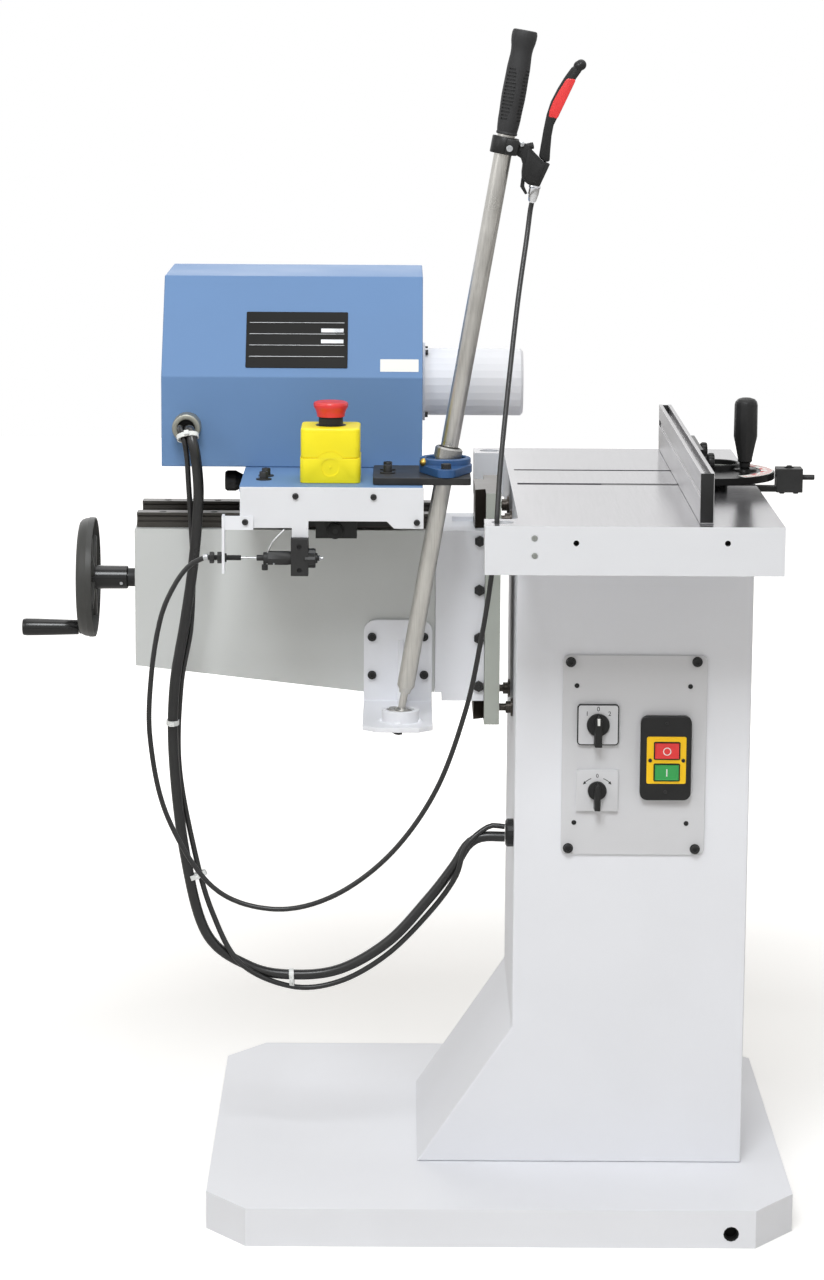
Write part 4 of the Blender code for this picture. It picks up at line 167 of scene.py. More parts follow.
bpy.ops.mesh.primitive_plane_add(size=FLOOR_SIZE, location=(0, 0, 0))
floor = bpy.context.object
floor.name = "studio_floor"
floor_look = bpy.data.materials.new("studio floor")
floor_look.use_nodes = True
floor_tree = floor_look.node_tree
floor_shader = floor_tree.nodes["Principled BSDF"]
floor_shader.inputs["Base Color"].default_value = FLOOR_COLOUR
floor_shader.inputs["Roughness"].default_value = FLOOR_ROUGHNESS
floor_shader.inputs["Specular IOR Level"].default_value = FLOOR_SHINE
floor_place = floor_tree.nodes.new("ShaderNodeTexCoord")
floor_reach = floor_tree.nodes.new("ShaderNodeVectorMath")
floor_reach.operation = "LENGTH"
floor_fade = floor_tree.nodes.new("ShaderNodeMapRange")
for entry, value in (("From Min", FADE_START), ("From Max", FADE_END), ("To Min", GLOW_NEAR),
                     ("To Max", GLOW_FAR)):
    floor_fade.inputs[entry].default_value = value
floor_ray = floor_tree.nodes.new("ShaderNodeLightPath")
floor_shown = math_step(floor_tree, "MULTIPLY")
floor_glow = floor_tree.nodes.new("ShaderNodeEmission")
floor_sum = floor_tree.nodes.new("ShaderNodeAddShader")
link_all(floor_tree, (
    (floor_place.outputs["Object"], floor_reach.inputs[0]),
    (floor_reach.outputs["Value"], floor_fade.inputs["Value"]),
    (floor_fade.outputs["Result"], floor_shown.inputs[0]),
    (floor_ray.outputs["Is Camera Ray"], floor_shown.inputs[1]),
    (floor_shown.outputs["Value"], floor_glow.inputs["Strength"]),
    (floor_shader.outputs["BSDF"], floor_sum.inputs[0]),
    (floor_glow.outputs["Emission"], floor_sum.inputs[1]),
    (floor_sum.outputs["Shader"], floor_tree.nodes["Material Output"].inputs["Surface"]),
))
floor.data.materials.append(floor_look)
print("floor, m:", FLOOR_SIZE, "square")

# %% [markdown]
# Paint, cast iron, steel and plastic differ mostly in how they scatter light. Each finish gets
# a base colour that wanders a little, a roughness that does the same, and a fine bump at its
# real scale. The noise reads object coordinates, which are metres in this frame, so a pattern
# keeps its size and its place on every piece.


def tint(red, green, blue):
    """A colour given as it looks on screen, from 0 to 255, in the shader's own linear values."""
    return tuple(((c / 255 + 0.055) / 1.055) ** 2.4 if c > 10 else c / 3294 for c in (red, green, blue))


def noise(tree, source, scale, detail=3.0, stretch=(1, 1, 1), turn=(0, 0, 0)):
    """A noise pattern on object coordinates, stretched and turned for brushed or rolled surfaces."""
    mapping = tree.nodes.new("ShaderNodeMapping")
    mapping.inputs["Scale"].default_value = stretch
    mapping.inputs["Rotation"].default_value = turn
    pattern = tree.nodes.new("ShaderNodeTexNoise")
    pattern.inputs["Scale"].default_value = scale
    pattern.inputs["Detail"].default_value = detail
    link_all(tree, ((source, mapping.inputs["Vector"]),
                    (mapping.outputs["Vector"], pattern.inputs["Vector"])))
    return pattern.outputs["Fac"]


def shade_range(tree, source, low, high):
    """Map the middle of a noise pattern, where most of it lies, to a range of plain numbers."""
    spread = tree.nodes.new("ShaderNodeMapRange")
    for entry, value in (("From Min", 0.3), ("From Max", 0.7), ("To Min", low), ("To Max", high)):
        spread.inputs[entry].default_value = value
    tree.links.new(source, spread.inputs["Value"])
    return spread.outputs["Result"]


def colour_range(tree, source, dark, light, low=0.35, high=0.65):
    """Map a pattern to a run between two colours."""
    ramp = tree.nodes.new("ShaderNodeValToRGB")
    for stop, position, colour in zip(ramp.color_ramp.elements, (low, high), (dark, light)):
        stop.position = position
        stop.color = (*colour, 1)
    tree.links.new(source, ramp.inputs["Fac"])
    return ramp.outputs["Color"]


def surface(name, colour, wander, roughness, metallic=0.0, grain=1500, grain_depth=0.00004,
            stretch=(1, 1, 1), turn=(0, 0, 0), broad=7, coat=0.0, grain_in_colour=0.0, shine=0.5):
    """A finish with a wandering colour and roughness and a fine bump, kept with its slot's name."""
    made = bpy.data.materials.new(name)
    made.use_nodes = True
    tree = made.node_tree
    shader = tree.nodes["Principled BSDF"]
    source = tree.nodes.new("ShaderNodeTexCoord").outputs["Object"]
    cloud = noise(tree, source, broad, 4)
    dark = tuple(c * (1 - wander) for c in colour)
    light = tuple(min(1, c * (1 + wander)) for c in colour)
    fine = noise(tree, source, grain, 2, stretch, turn)
    base = colour_range(tree, cloud, dark, light)
    if grain_in_colour:
        mix = tree.nodes.new("ShaderNodeMix")
        mix.data_type = "RGBA"
        mix.blend_type = "MULTIPLY"
        mix.inputs["Factor"].default_value = grain_in_colour
        grain_shade = colour_range(tree, fine, (0.35, 0.35, 0.35), (1, 1, 1), 0.3, 0.6)
        link_all(tree, ((base, mix.inputs["A"]), (grain_shade, mix.inputs["B"])))
        base = mix.outputs["Result"]
    wandering = shade_range(tree, cloud, roughness * 0.88, roughness * 1.15)
    for entry, value in (("Metallic", metallic), ("Coat Weight", coat), ("Specular IOR Level", shine)):
        shader.inputs[entry].default_value = value
    bump = tree.nodes.new("ShaderNodeBump")
    bump.inputs["Strength"].default_value = 0.5
    bump.inputs["Distance"].default_value = grain_depth
    link_all(tree, ((base, shader.inputs["Base Color"]), (wandering, shader.inputs["Roughness"]),
                    (fine, bump.inputs["Height"]), (bump.outputs["Normal"], shader.inputs["Normal"])))
    return made


print("material helpers ready")

# %% [markdown]
# The sheet metal is powder coated: a light grey on the stand and a mid blue on the head. Powder
# coat has a faint orange-peel skin about a millimetre across. The arm and the bearing are
# castings with a thicker brushed paint, so their skin is coarser. The arm's grey is the stand's
# light grey made darker and warmer: painted shade for the shadow that the head casts on the arm.

# %% Paints
WHITE_PAINT = surface("light grey powder coat", tint(236, 237, 241), 0.012, 0.45,
                      grain=900)
# Painted shade: the arm's paint is darker and warmer than the light grey, for the head's shadow.
ARM_PAINT_DARKENED_FOR_SHADE = surface("grey casting paint with painted shade", tint(206, 208, 206), 0.02, 0.50, grain=600,
                    grain_depth=0.00008)
BLUE_PAINT = surface("blue powder coat", tint(108, 141, 184), 0.02, 0.50, grain=900,
                     grain_depth=0.00005, shine=0.2)
BEARING_BLUE = surface("blue bearing paint", tint(44, 84, 132), 0.05, 0.32, grain=500,
                       grain_depth=0.0001)

# %% [markdown]
# The machined faces show their tool marks. The table was ground along its length, the lever is
# a drawn and polished tube whose streaks run with its lean, and the dovetail is dark with oil.
# Streaks are made by stretching the noise along the tool's path.

# %% Metals
LEVER_LEAN = math.radians(9.82)
GROUND_IRON = surface("ground cast iron", tint(184, 183, 186), 0.03, 0.20, 0.90,
                      grain=700, grain_depth=0.00002, stretch=(1, 0.02, 1), broad=5, grain_in_colour=0.12)
WAY_PAINT = surface("grey dovetail paint", tint(172, 176, 168), 0.03, 0.50, grain=600,
                    grain_depth=0.00006)
GLAND_METAL = surface("dull nickel ring", tint(150, 150, 140), 0.05, 0.40, 0.7, grain=900,
                      broad=30)
SKIRT_PAINT = surface("table edge paint", tint(226, 227, 230), 0.012, 0.45, grain=700)
OILY_IRON = surface("oiled dovetail iron", tint(78, 72, 66), 0.25, 0.34, 0.6,
                    grain=500, grain_depth=0.00005, stretch=(1, 1, 0.05), broad=14, grain_in_colour=0.5)
CASTING = surface("machined casting", tint(160, 163, 158), 0.07, 0.48, 0.7, grain=800,
                  grain_depth=0.00005, stretch=(1, 1, 0.1), broad=12, grain_in_colour=0.25)
TURNED_STEEL = surface("turned steel", tint(164, 163, 160), 0.05, 0.34, 0.9, grain=900,
                       grain_depth=0.00002, stretch=(0.05, 1, 1), broad=18, grain_in_colour=0.3)
LEVER_STEEL = surface("polished lever tube", tint(200, 198, 193), 0.06, 0.30, 0.9,
                      grain=900, grain_depth=0.00001, stretch=(1, 1, 0.015), turn=(0, LEVER_LEAN, 0),
                      broad=25, grain_in_colour=0.22)
RAIL_STEEL = surface("blackened rail steel", tint(70, 67, 63), 0.10, 0.36, 0.5, grain=900,
                     grain_depth=0.00001, stretch=(0.03, 1, 1), broad=15, grain_in_colour=0.3)
BLACK_STEEL = surface("black oxide steel", tint(54, 54, 54), 0.12, 0.45, 0.3,
                      grain=900, grain_depth=0.00004, broad=25, shine=0.2)
ZINC = surface("zinc plated steel", tint(188, 190, 192), 0.06, 0.28, 1.0, grain=1200,
               broad=40)
CHROME = surface("chromed barrel", tint(214, 215, 217), 0.02, 0.12, 1.0, grain=2000,
                 grain_depth=0.00001)
BRASS = surface("brass nipple", tint(190, 158, 82), 0.06, 0.28, 1.0, grain=1500)
ALUMINIUM = surface("anodised aluminium", tint(186, 185, 186), 0.02, 0.38, 0.80,
                    grain=900, grain_depth=0.00002, stretch=(1, 0.01, 1), broad=6, grain_in_colour=0.18)

# %% [markdown]
# Moulded parts are matt with a fine spark texture. The start and stop buttons have a thin clear
# coat, and the handwheel's hub and the crank are polished by the hands that turn them.

# %% Plastics and rubbers
BLACK_PLASTIC = surface("black moulded plastic", tint(35, 35, 35), 0.10, 0.40, grain=1800,
                        grain_depth=0.00006, broad=30, shine=0.25)
WHEEL_PLASTIC = surface("grey black wheel plastic", tint(66, 66, 64), 0.08, 0.42,
                        grain=1200, grain_depth=0.00006, broad=30, shine=0.3)
GAUGE_ENAMEL = surface("black gauge enamel", tint(22, 22, 22), 0.08, 0.24, grain=400,
                       grain_depth=0.00005, broad=30, shine=0.1)
GRIP_RUBBER = surface("black grip rubber", tint(30, 30, 31), 0.12, 0.62, grain=1500,
                      grain_depth=0.0001, broad=30)
CABLE_RUBBER = surface("cable sheath", tint(34, 34, 34), 0.10, 0.30, grain=1200,
                       grain_depth=0.00003, broad=30, shine=0.45)
YELLOW_PLASTIC = surface("yellow box plastic", tint(255, 236, 26), 0.02, 0.42,
                         grain=1500, broad=20)
RED_PLASTIC = surface("red button plastic", tint(224, 50, 50), 0.04, 0.34, grain=1500,
                      broad=30, coat=0.2)
GREEN_PLASTIC = surface("green button plastic", tint(44, 158, 76), 0.04, 0.34,
                        grain=1500, broad=30, coat=0.2)
GREY_PLASTIC = surface("light grey panel", tint(213, 213, 215), 0.012, 0.46,
                       grain=1200)
LABEL_WHITE = surface("white label", tint(236, 236, 232), 0.01, 0.55, grain=2500)
# Also painted shade: this black fills the table's threaded holes and lines the plinth's hole.
BLACK_PLATE_AND_HOLE_SHADE = surface("black anodised plate and painted hole shade", tint(34, 34, 33), 0.05, 0.50, grain=1500,
                      shine=0.1)
NYLON = surface("white nylon tie", tint(228, 230, 228), 0.02, 0.40, grain=2000)
SWITCH_YELLOW = surface("deep yellow switch plate", tint(255, 203, 8), 0.02, 0.42,
                        grain=1500, broad=20)
POLISHED_BLACK = surface("polished black plastic", tint(24, 24, 24), 0.06, 0.20,
                         grain=1800, grain_depth=0.00001, broad=30, shine=0.4)
SCALE_RED = surface("red scale print", tint(196, 44, 48), 0.03, 0.45, grain=2000)

# %% [markdown]
# The solids whose shape is already right keep it and only change their finish. A table of
# finishes with the pieces that wear them is easier to check than a line for each piece.

# %% Finishes on the solids
FINISHES = {
    WHITE_PAINT: ("base_plinth", "column", "front_cover", "cable_bracket", "arm", "lift_saddle",
                  "lever_bracket", "spindle_guard"),
    BLUE_PAINT: ("head_plate", "motor_housing"),
    BEARING_BLUE: ("bearing_flange",),
    CASTING: ("slide_plate", "insert_outer"),
    GROUND_IRON: ("table",),
    OILY_IRON: ("lift_way",),
    TURNED_STEEL: ("gib_strip", "drive_shaft", "lift_screw", "chuck", "insert_inner", "lever_swivel",
                   "index_plunger", "gauge_bar"),
    LEVER_STEEL: ("lever_tube",),
    RAIL_STEEL: ("rail_front", "rail_rear", "cross_rail_left", "cross_rail_right"),
    BLACK_STEEL: ("carriage_front", "carriage_rear", "cross_carriage_left", "cross_carriage_right",
                  "depth_stop", "motor", "lever_plate", "gauge_head", "plunger_block"),
    BLACK_PLASTIC: ("handwheel", "crank_handle", "housing_gland", "brake_clamp", "brake_trigger",
                    "slide_lock_knob", "selector_knob", "direction_knob", "start_stop_box",
                    "column_gland", "gauge_handle", "fence_knob_near", "fence_knob_far"),
    GRIP_RUBBER: ("lever_grip",),
    RED_PLASTIC: ("estop_button", "stop_button"),
    GREEN_PLASTIC: ("start_button",),
    YELLOW_PLASTIC: ("estop_box",),
    GREY_PLASTIC: ("control_plate",),
    ALUMINIUM: ("fence",),
    CABLE_RUBBER: ("power_cable", "control_cable", "brake_cable"),
}
for look, names in FINISHES.items():
    for name in names:
        for holder in nodes[name].material_slots:
            holder.material = look
print("finished solids:", sum(len(names) for names in FINISHES.values()))

# %% [markdown]
# Every new piece is modelled from a primitive with the tools a modeller uses by hand. These
# helpers keep the steps short: start clean, open a piece for editing, pick faces by their place,
# round its edges, and put it where it belongs with its place held in the mesh itself.

# %% Modelling helpers
SMOOTH_UP_TO = math.radians(38)
SAME_SPOT = 0.000002


def begin():
    """Leave edit mode and select nothing."""
    if bpy.context.object and bpy.context.object.mode != "OBJECT":
        bpy.ops.object.mode_set(mode="OBJECT")
    bpy.ops.object.select_all(action="DESELECT")


def hold(piece):
    """Make one piece the only selected and active one."""
    begin()
    piece.select_set(True)
    bpy.context.view_layer.objects.active = piece
    return piece


@contextmanager
def editing(piece):
    """Keep a piece open in edit mode for the steps of a with block."""
    hold(piece)
    bpy.ops.object.mode_set(mode="EDIT")
    yield
    bpy.ops.object.mode_set(mode="OBJECT")


def pick_faces(piece, wanted):
    """In edit mode, select just the faces that pass a test of their centre and normal."""
    bpy.ops.mesh.select_mode(type="FACE")
    bpy.ops.mesh.select_all(action="DESELECT")
    shape = bmesh.from_edit_mesh(piece.data)
    for face in shape.faces:
        face.select_set(bool(wanted(face.calc_center_median(), face.normal)))
    shape.select_flush_mode()
    bmesh.update_edit_mesh(piece.data)


def round_edges(piece, width, segments=2, angle=35):
    """Break the sharp edges of a piece with a bevel, applied."""
    hold(piece)
    rounding = piece.modifiers.new("rounding", "BEVEL")
    rounding.width = width
    rounding.segments = segments
    rounding.limit_method = "ANGLE"
    rounding.angle_limit = math.radians(angle)
    bpy.ops.object.modifier_apply(modifier=rounding.name)
    return piece


def settle(piece, place=(0, 0, 0), turn=(0, 0, 0)):
    """Turn and move a piece, then keep that place in its mesh and leave the object at the origin."""
    hold(piece)
    piece.rotation_euler = turn
    piece.location = place
    bpy.ops.object.transform_apply(location=True, rotation=True, scale=True)
    return piece


def joined(name, pieces):
    """Join several pieces into one."""
    begin()
    for piece in pieces:
        piece.select_set(True)
    bpy.context.view_layer.objects.active = pieces[0]
    if len(pieces) > 1:
        bpy.ops.object.join()
    pieces[0].name = name
    return pieces[0]


def copies(original, spots, turn=(0, 0, 0)):
    """Copies of a piece, each with its own mesh, settled at a list of places."""
    made = []
    for spot in spots:
        hold(original)
        bpy.ops.object.duplicate(linked=False)
        made.append(settle(bpy.context.object, spot, turn))
    return made


def discard(piece):
    """Take a pattern or a cutter away once it has done its work."""
    hold(piece)
    bpy.ops.object.delete()


def cut_with(piece, cutter, keep="DIFFERENCE"):
    """Cut a piece with another one, and take the cutter away."""
    hold(piece)
    cut = piece.modifiers.new("cut", "BOOLEAN")
    cut.object = cutter
    cut.operation = keep
    bpy.ops.object.modifier_apply(modifier=cut.name)
    discard(cutter)
    return piece


def level_faces(piece):
    """Let each large flat face keep its own normal, so its shade stays even right up to a fold."""
    hold(piece)
    level = piece.modifiers.new("level", "WEIGHTED_NORMAL")
    level.keep_sharp = True
    bpy.ops.object.modifier_apply(modifier=level.name)
    return piece


def dress(piece, name, look, body, *replaced):
    """Name a finished piece, give it its finish, smooth it and let it ride on its body.

    A piece with no body here rides on none."""
    hold(piece)
    piece.name = name
    piece.data.materials.clear()
    piece.data.materials.append(look)
    bpy.ops.object.shade_smooth_by_angle(angle=SMOOTH_UP_TO)
    if body:
        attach(piece, body)
    if replaced:
        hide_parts(*replaced)
    return piece


def repeated(name, pattern, spots, look, body, turn=(0, 0, 0)):
    """One finished piece made of copies of a pattern at a list of places; the pattern goes."""
    piece = joined(name, copies(pattern, spots, turn))
    discard(pattern)
    return dress(piece, name, look, body)


def size_mm(piece):
    """How far a piece reaches along X, Y and Z, in millimetres, measured on its mesh."""
    spots = [vertex.co for vertex in piece.data.vertices]
    return [round(1000 * (max(spot[axis] for spot in spots) - min(spot[axis] for spot in spots)), 1)
            for axis in range(3)]


print("modelling helpers ready")

# %% [markdown]
# Most small parts of a machine are turned, sawn from plate or milled from a block, so three
# helpers make those forms. The first two draw an outline by extruding one vertex from corner to
# corner, as a modeller does, and then spin it or fill it. The third starts from a cube.

# %% Turned pieces, plates and blocks


def draw_outline(name, corners):
    """Lead one vertex along corners in X and Z, and leave the outline open in edit mode."""
    begin()
    bpy.ops.mesh.primitive_plane_add(size=1, location=(0, 0, 0))
    piece = bpy.context.object
    piece.name = name
    bpy.ops.object.mode_set(mode="EDIT")
    bpy.ops.mesh.select_mode(type="VERT")
    bpy.ops.mesh.select_all(action="SELECT")
    bpy.ops.mesh.merge(type="CENTER")
    bpy.ops.transform.translate(value=(corners[0][0], 0, corners[0][1]))
    for (x, z), (next_x, next_z) in zip(corners, corners[1:]):
        bpy.ops.mesh.extrude_region_move(TRANSFORM_OT_translate={"value": (next_x - x, 0, next_z - z)})
    bpy.ops.mesh.select_all(action="SELECT")
    return piece


def lathe(name, profile, sides=40):
    """A turned piece: a profile of radius and height is drawn and spun round Z."""
    piece = draw_outline(name, profile)
    bpy.ops.mesh.spin(steps=sides, angle=math.tau, center=(0, 0, 0), axis=(0, 0, 1))
    bpy.ops.mesh.select_all(action="SELECT")
    bpy.ops.mesh.remove_doubles(threshold=SAME_SPOT)
    bpy.ops.mesh.normals_make_consistent(inside=False)
    bpy.ops.object.mode_set(mode="OBJECT")
    return piece


def cut_plate(name, outline, thickness):
    """A plate cut to an outline in X and Z: the outline is closed, filled, and pushed back along Y."""
    piece = draw_outline(name, [*outline, outline[0]])
    bpy.ops.mesh.remove_doubles(threshold=SAME_SPOT)
    bpy.ops.mesh.select_all(action="SELECT")
    bpy.ops.mesh.edge_face_add()
    bpy.ops.mesh.extrude_region_move(TRANSFORM_OT_translate={"value": (0, thickness, 0)})
    bpy.ops.mesh.select_all(action="SELECT")
    bpy.ops.mesh.normals_make_consistent(inside=False)
    bpy.ops.object.mode_set(mode="OBJECT")
    return piece


def slab(name, low, high, rounding=0.0, segments=2):
    """A block between two corners with broken edges."""
    begin()
    centre = [(a + b) / 2 for a, b in zip(low, high)]
    bpy.ops.mesh.primitive_cube_add(size=1, location=centre, scale=[b - a for a, b in zip(low, high)])
    piece = bpy.context.object
    piece.name = name
    bpy.ops.object.transform_apply(location=True, rotation=True, scale=True)
    return round_edges(piece, rounding, segments) if rounding else piece


def rounded_corners(left, right, low, high, radius, steps=5):
    """The outline of a plate with round corners."""
    points = []
    for x, z, start in ((right - radius, high - radius, 0), (left + radius, high - radius, 90),
                        (left + radius, low + radius, 180), (right - radius, low + radius, 270)):
        for step in range(steps + 1):
            angle = math.radians(start + 90 * step / steps)
            points.append((x + radius * math.cos(angle), z + radius * math.sin(angle)))
    return points


print("turned pieces, plates and blocks ready")

# %% [markdown]
# Three flexible lines hang off the machine: the thick motor lead, the thinner lead of the
# emergency stop, and the brake cable of the hand lever. Each follows a smooth curve through
# the points of its route. Where a line crosses a sliding joint it is split into stretches, and
# each stretch is made as a piece of its own that rides on no body.

# %% Cable routes
POWER_ROUTE = ((-0.3630, -0.1226, 0.9110), (-0.3598, -0.147, 0.9112), (-0.3540, -0.156, 0.8900),
               (-0.3508, -0.150, 0.857), (-0.3512, -0.144, 0.826), (-0.3570, -0.136, 0.762),
               (-0.3675, -0.132, 0.690), (-0.3805, -0.130, 0.610), (-0.3815, -0.130, 0.524),
               (-0.369, -0.130, 0.410), (-0.344, -0.130, 0.315), (-0.294, -0.130, 0.276),
               (-0.244, -0.130, 0.266), (-0.187, -0.130, 0.273), (-0.130, -0.130, 0.307),
               (-0.084, -0.130, 0.358), (-0.054, -0.130, 0.398), (-0.038, -0.130, 0.424),
               (-0.021, -0.130, 0.4340), (0.0056, -0.130, 0.4345))
CONTROL_ROUTE = ((-0.3725, -0.1227, 0.9140), (-0.3718, -0.139, 0.9142), (-0.3672, -0.150, 0.9050),
                 (-0.3636, -0.150, 0.886), (-0.3622, -0.144, 0.854), (-0.3602, -0.131, 0.803),
                 (-0.3586, -0.1245, 0.748), (-0.3615, -0.1240, 0.680), (-0.3735, -0.121, 0.610),
                 (-0.376, -0.121, 0.515), (-0.358, -0.124, 0.412), (-0.337, -0.130, 0.340),
                 (-0.304, -0.1396, 0.282), (-0.244, -0.133, 0.2524), (-0.187, -0.130, 0.2582),
                 (-0.131, -0.130, 0.2915), (-0.0813, -0.130, 0.3433), (-0.052, -0.1396, 0.388),
                 (-0.040, -0.1396, 0.425), (-0.014, -0.130, 0.4462), (0.0056, -0.130, 0.4465))
BRAKE_ROUTE = ((0.0260, -0.190, 1.1773), (0.0242, -0.190, 1.1670), (0.0205, -0.198, 1.1380),
               (0.0087, -0.2285, 1.0545), (-0.0072, -0.2805, 0.9080), (-0.0120, -0.3038, 0.8420),
               (-0.0125, -0.306, 0.8300), (-0.0175, -0.306, 0.7750), (-0.0282, -0.306, 0.7035),
               (-0.0450, -0.302, 0.6200), (-0.0780, -0.296, 0.5260), (-0.1300, -0.290, 0.4500),
               (-0.1960, -0.285, 0.4000), (-0.2640, -0.280, 0.3850), (-0.3300, -0.276, 0.4100),
               (-0.3800, -0.2740, 0.4900), (-0.3990, -0.2725, 0.5780), (-0.3975, -0.2690, 0.6530),
               (-0.3868, -0.2650, 0.7171), (-0.3705, -0.2630, 0.7550), (-0.3540, -0.2620, 0.7762),
               (-0.3380, -0.2620, 0.7848))
POWER_R, CONTROL_R, BRAKE_R = 0.0062, 0.0032, 0.0029
SMOOTH_STEPS, EVEN_STEP = 24, 0.007
print("route points:", len(POWER_ROUTE), len(CONTROL_ROUTE), len(BRAKE_ROUTE))

# %% [markdown]
# A sheath is a round tube along its route. The route's points are joined by a smooth curve that
# passes through each of them, spaced evenly, and a bevelled curve is made a mesh, because that
# keeps the tube round wherever it bends.

# %% Sheaths


def smooth_run(route, first, last, spacing=EVEN_STEP):
    """Even points on the smooth curve through a route, from one of its points to another."""
    spots = [Vector(spot) for spot in route]
    spots = [2 * spots[0] - spots[1], *spots, 2 * spots[-1] - spots[-2]]
    fine = []
    for number in range(first, last):
        before, start, end, after = spots[number:number + 4]
        for step in range(SMOOTH_STEPS):
            t = step / SMOOTH_STEPS
            square = (2 * before - 5 * start + 4 * end - after) * t ** 2
            cube = (3 * start - before - 3 * end + after) * t ** 3
            fine.append(0.5 * (2 * start + (end - before) * t + square + cube))
    fine.append(spots[last + 1])
    length = sum((b - a).length for a, b in zip(fine, fine[1:]))
    count = max(2, round(length / spacing))
    even, passed = [fine[0]], 0
    for a, b in zip(fine, fine[1:]):
        passed += (b - a).length
        if passed >= len(even) * length / count and len(even) < count:
            even.append(b)
    return [*even, fine[-1]], length


def sheath(name, points, radius):
    """A tube along a run of points, made from a bevelled curve and turned into a mesh."""
    begin()
    curve = bpy.data.curves.new(name, "CURVE")
    curve.dimensions = "3D"
    curve.bevel_depth = radius
    curve.bevel_resolution = 4
    curve.use_fill_caps = True
    line = curve.splines.new("POLY")
    line.points.add(len(points) - 1)
    for spot, point in zip(line.points, points):
        spot.co = (*point, 1)
    piece = bpy.data.objects.new(name, curve)
    scene.collection.objects.link(piece)
    hold(piece)
    bpy.ops.object.convert(target="MESH")
    return bpy.context.object


print("sheath helpers ready")

# %% [markdown]
# The table below names each stretch by its first and last route point, its two bodies, and the
# two points between which it should bend. The script reads only the route points, and each
# stretch rides on no body.

# %% Leads
LEADS = (
    ("power_cable", POWER_ROUTE[::-1], POWER_R, "stiff",
     (("low", 0, 7, "stand", "lift", 1, 7), ("middle", 7, 13, "lift", "plunge", 7, 13),
      ("high", 13, 19, "plunge", "cross", 13, 17))),
    ("control_cable", CONTROL_ROUTE[::-1], CONTROL_R, "medium",
     (("low", 0, 7, "stand", "lift", 1, 7), ("middle", 7, 13, "lift", "plunge", 7, 13),
      ("high", 13, 20, "plunge", "cross", 13, 17))),
    ("brake_cable", BRAKE_ROUTE, BRAKE_R, "medium",
     (("lever", 0, 3, "lever", "lever_swivel", 0, 3), ("swivel", 3, 4, "lever_swivel", "lift", 3, 4),
      ("lift", 4, 6, "lift", "stand", 4, 5), ("table", 6, 12, "stand", "lift", 7, 12),
      ("loop", 12, 16, "lift", "plunge", 12, 16), ("head", 16, 21, "plunge", "cross", 16, 19))),
)

for whole, route, radius, stiffness, stretches in LEADS:
    total = 0
    for part, first, last, from_body, to_body, bend_start, bend_end in stretches:
        points, length = smooth_run(route, first, last)
        name = f"{whole}_{part}"
        piece = dress(sheath(name, points, radius), name, CABLE_RUBBER, None, whole)
        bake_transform(piece)
        total += length
    print(whole, "length, m:", round(total, 3))

# %% [markdown]
# The control lever is a drawn steel tube on a ball joint. A tube is a turned shape, so its
# outline is extruded once and spun. It is modelled upright at the origin and then leaned over
# at its foot, so the same numbers serve the grip and the brake above it.

# %% Lever tube
LEVER_FOOT = (-0.1175, -0.190, 0.592)
LEVER_TURN = (0, LEVER_LEAN, 0)
TUBE_LOW, TUBE_HIGH, TUBE_R = 0.0262, 0.7800, 0.0100


def on_lever(piece, name, look, body, *replaced):
    """Lean a piece over with the lever, and finish it."""
    return dress(settle(piece, LEVER_FOOT, LEVER_TURN), name, look, body, *replaced)


tube = lathe("tube", [(0, TUBE_LOW), (0.0062, TUBE_LOW), (0.0070, 0.0300), (TUBE_R, 0.0345),
                      (TUBE_R, TUBE_HIGH), (0, TUBE_HIGH)], 48)
on_lever(tube, "lever_tube_turned", LEVER_STEEL, "lever", "lever_tube")
print("lever tube, mm:", round((TUBE_HIGH - TUBE_LOW) * 1000), "long")

# %% [markdown]
# The grip is a moulded rubber sleeve with four panels of cross ribs and a bulged end. The sleeve
# is turned with narrow rings along the ribbed part. In edit mode the faces of every other ring
# inside a panel are picked by their angle, inset a little, and sunk into the rubber.

# %% Rubber grip
GRIP_LOW = 0.6705
RIB_START, RIB_STEP, RIBS = 0.6865, 0.00395, 15
GROOVE_DEPTH = 0.0011


def grip_radius(height):
    """The sleeve's radius at a height: slim at the collar, full in the palm, slim at the neck."""
    marks = ((GRIP_LOW, 0.0116), (0.690, 0.0127), (0.715, 0.0135), (0.742, 0.0131), (0.762, 0.0122))
    for (low, wide), (high, wider) in zip(marks, marks[1:]):
        if height <= high:
            share = max(0, (height - low) / (high - low))
            return wide + (wider - wide) * share * share * (3 - 2 * share)
    return marks[-1][1]


profile = [(0, GRIP_LOW), (0.0110, GRIP_LOW), (0.0119, GRIP_LOW + 0.0008), (0.0119, GRIP_LOW + 0.0025),
           (0.0114, GRIP_LOW + 0.0032), (grip_radius(0.679), 0.679)]
for rib in range(2 * RIBS + 1):
    height = RIB_START + RIB_STEP * rib / 2
    profile.append((grip_radius(height), height))
profile += [(0.0121, 0.7590), (0.0121, 0.7640), (0.0126, 0.7685), (0.0137, 0.7735), (0.0143, 0.7790),
            (0.0142, 0.7834), (0.0133, 0.7864), (0.0118, 0.7872), (0.0040, 0.7873), (0.0033, 0.7866),
            (0.0030, 0.7840), (0, 0.7840)]
grip = lathe("grip", profile, 56)


def in_groove(centre, normal):
    """Whether a face of the sleeve lies in a groove of one of the four panels of ribs."""
    turn_angle = math.degrees(math.atan2(centre.y, centre.x)) + 70
    across = (turn_angle + 360) % 90
    number = (centre.z - RIB_START) / (RIB_STEP / 2)
    edge = 1 + 5 * abs((centre.z - RIB_START) / (RIBS * RIB_STEP) - 0.5) ** 3
    return 0 < number < 2 * RIBS and int(number) % 2 == 0 and 12 * edge < across < 90 - 22 * edge


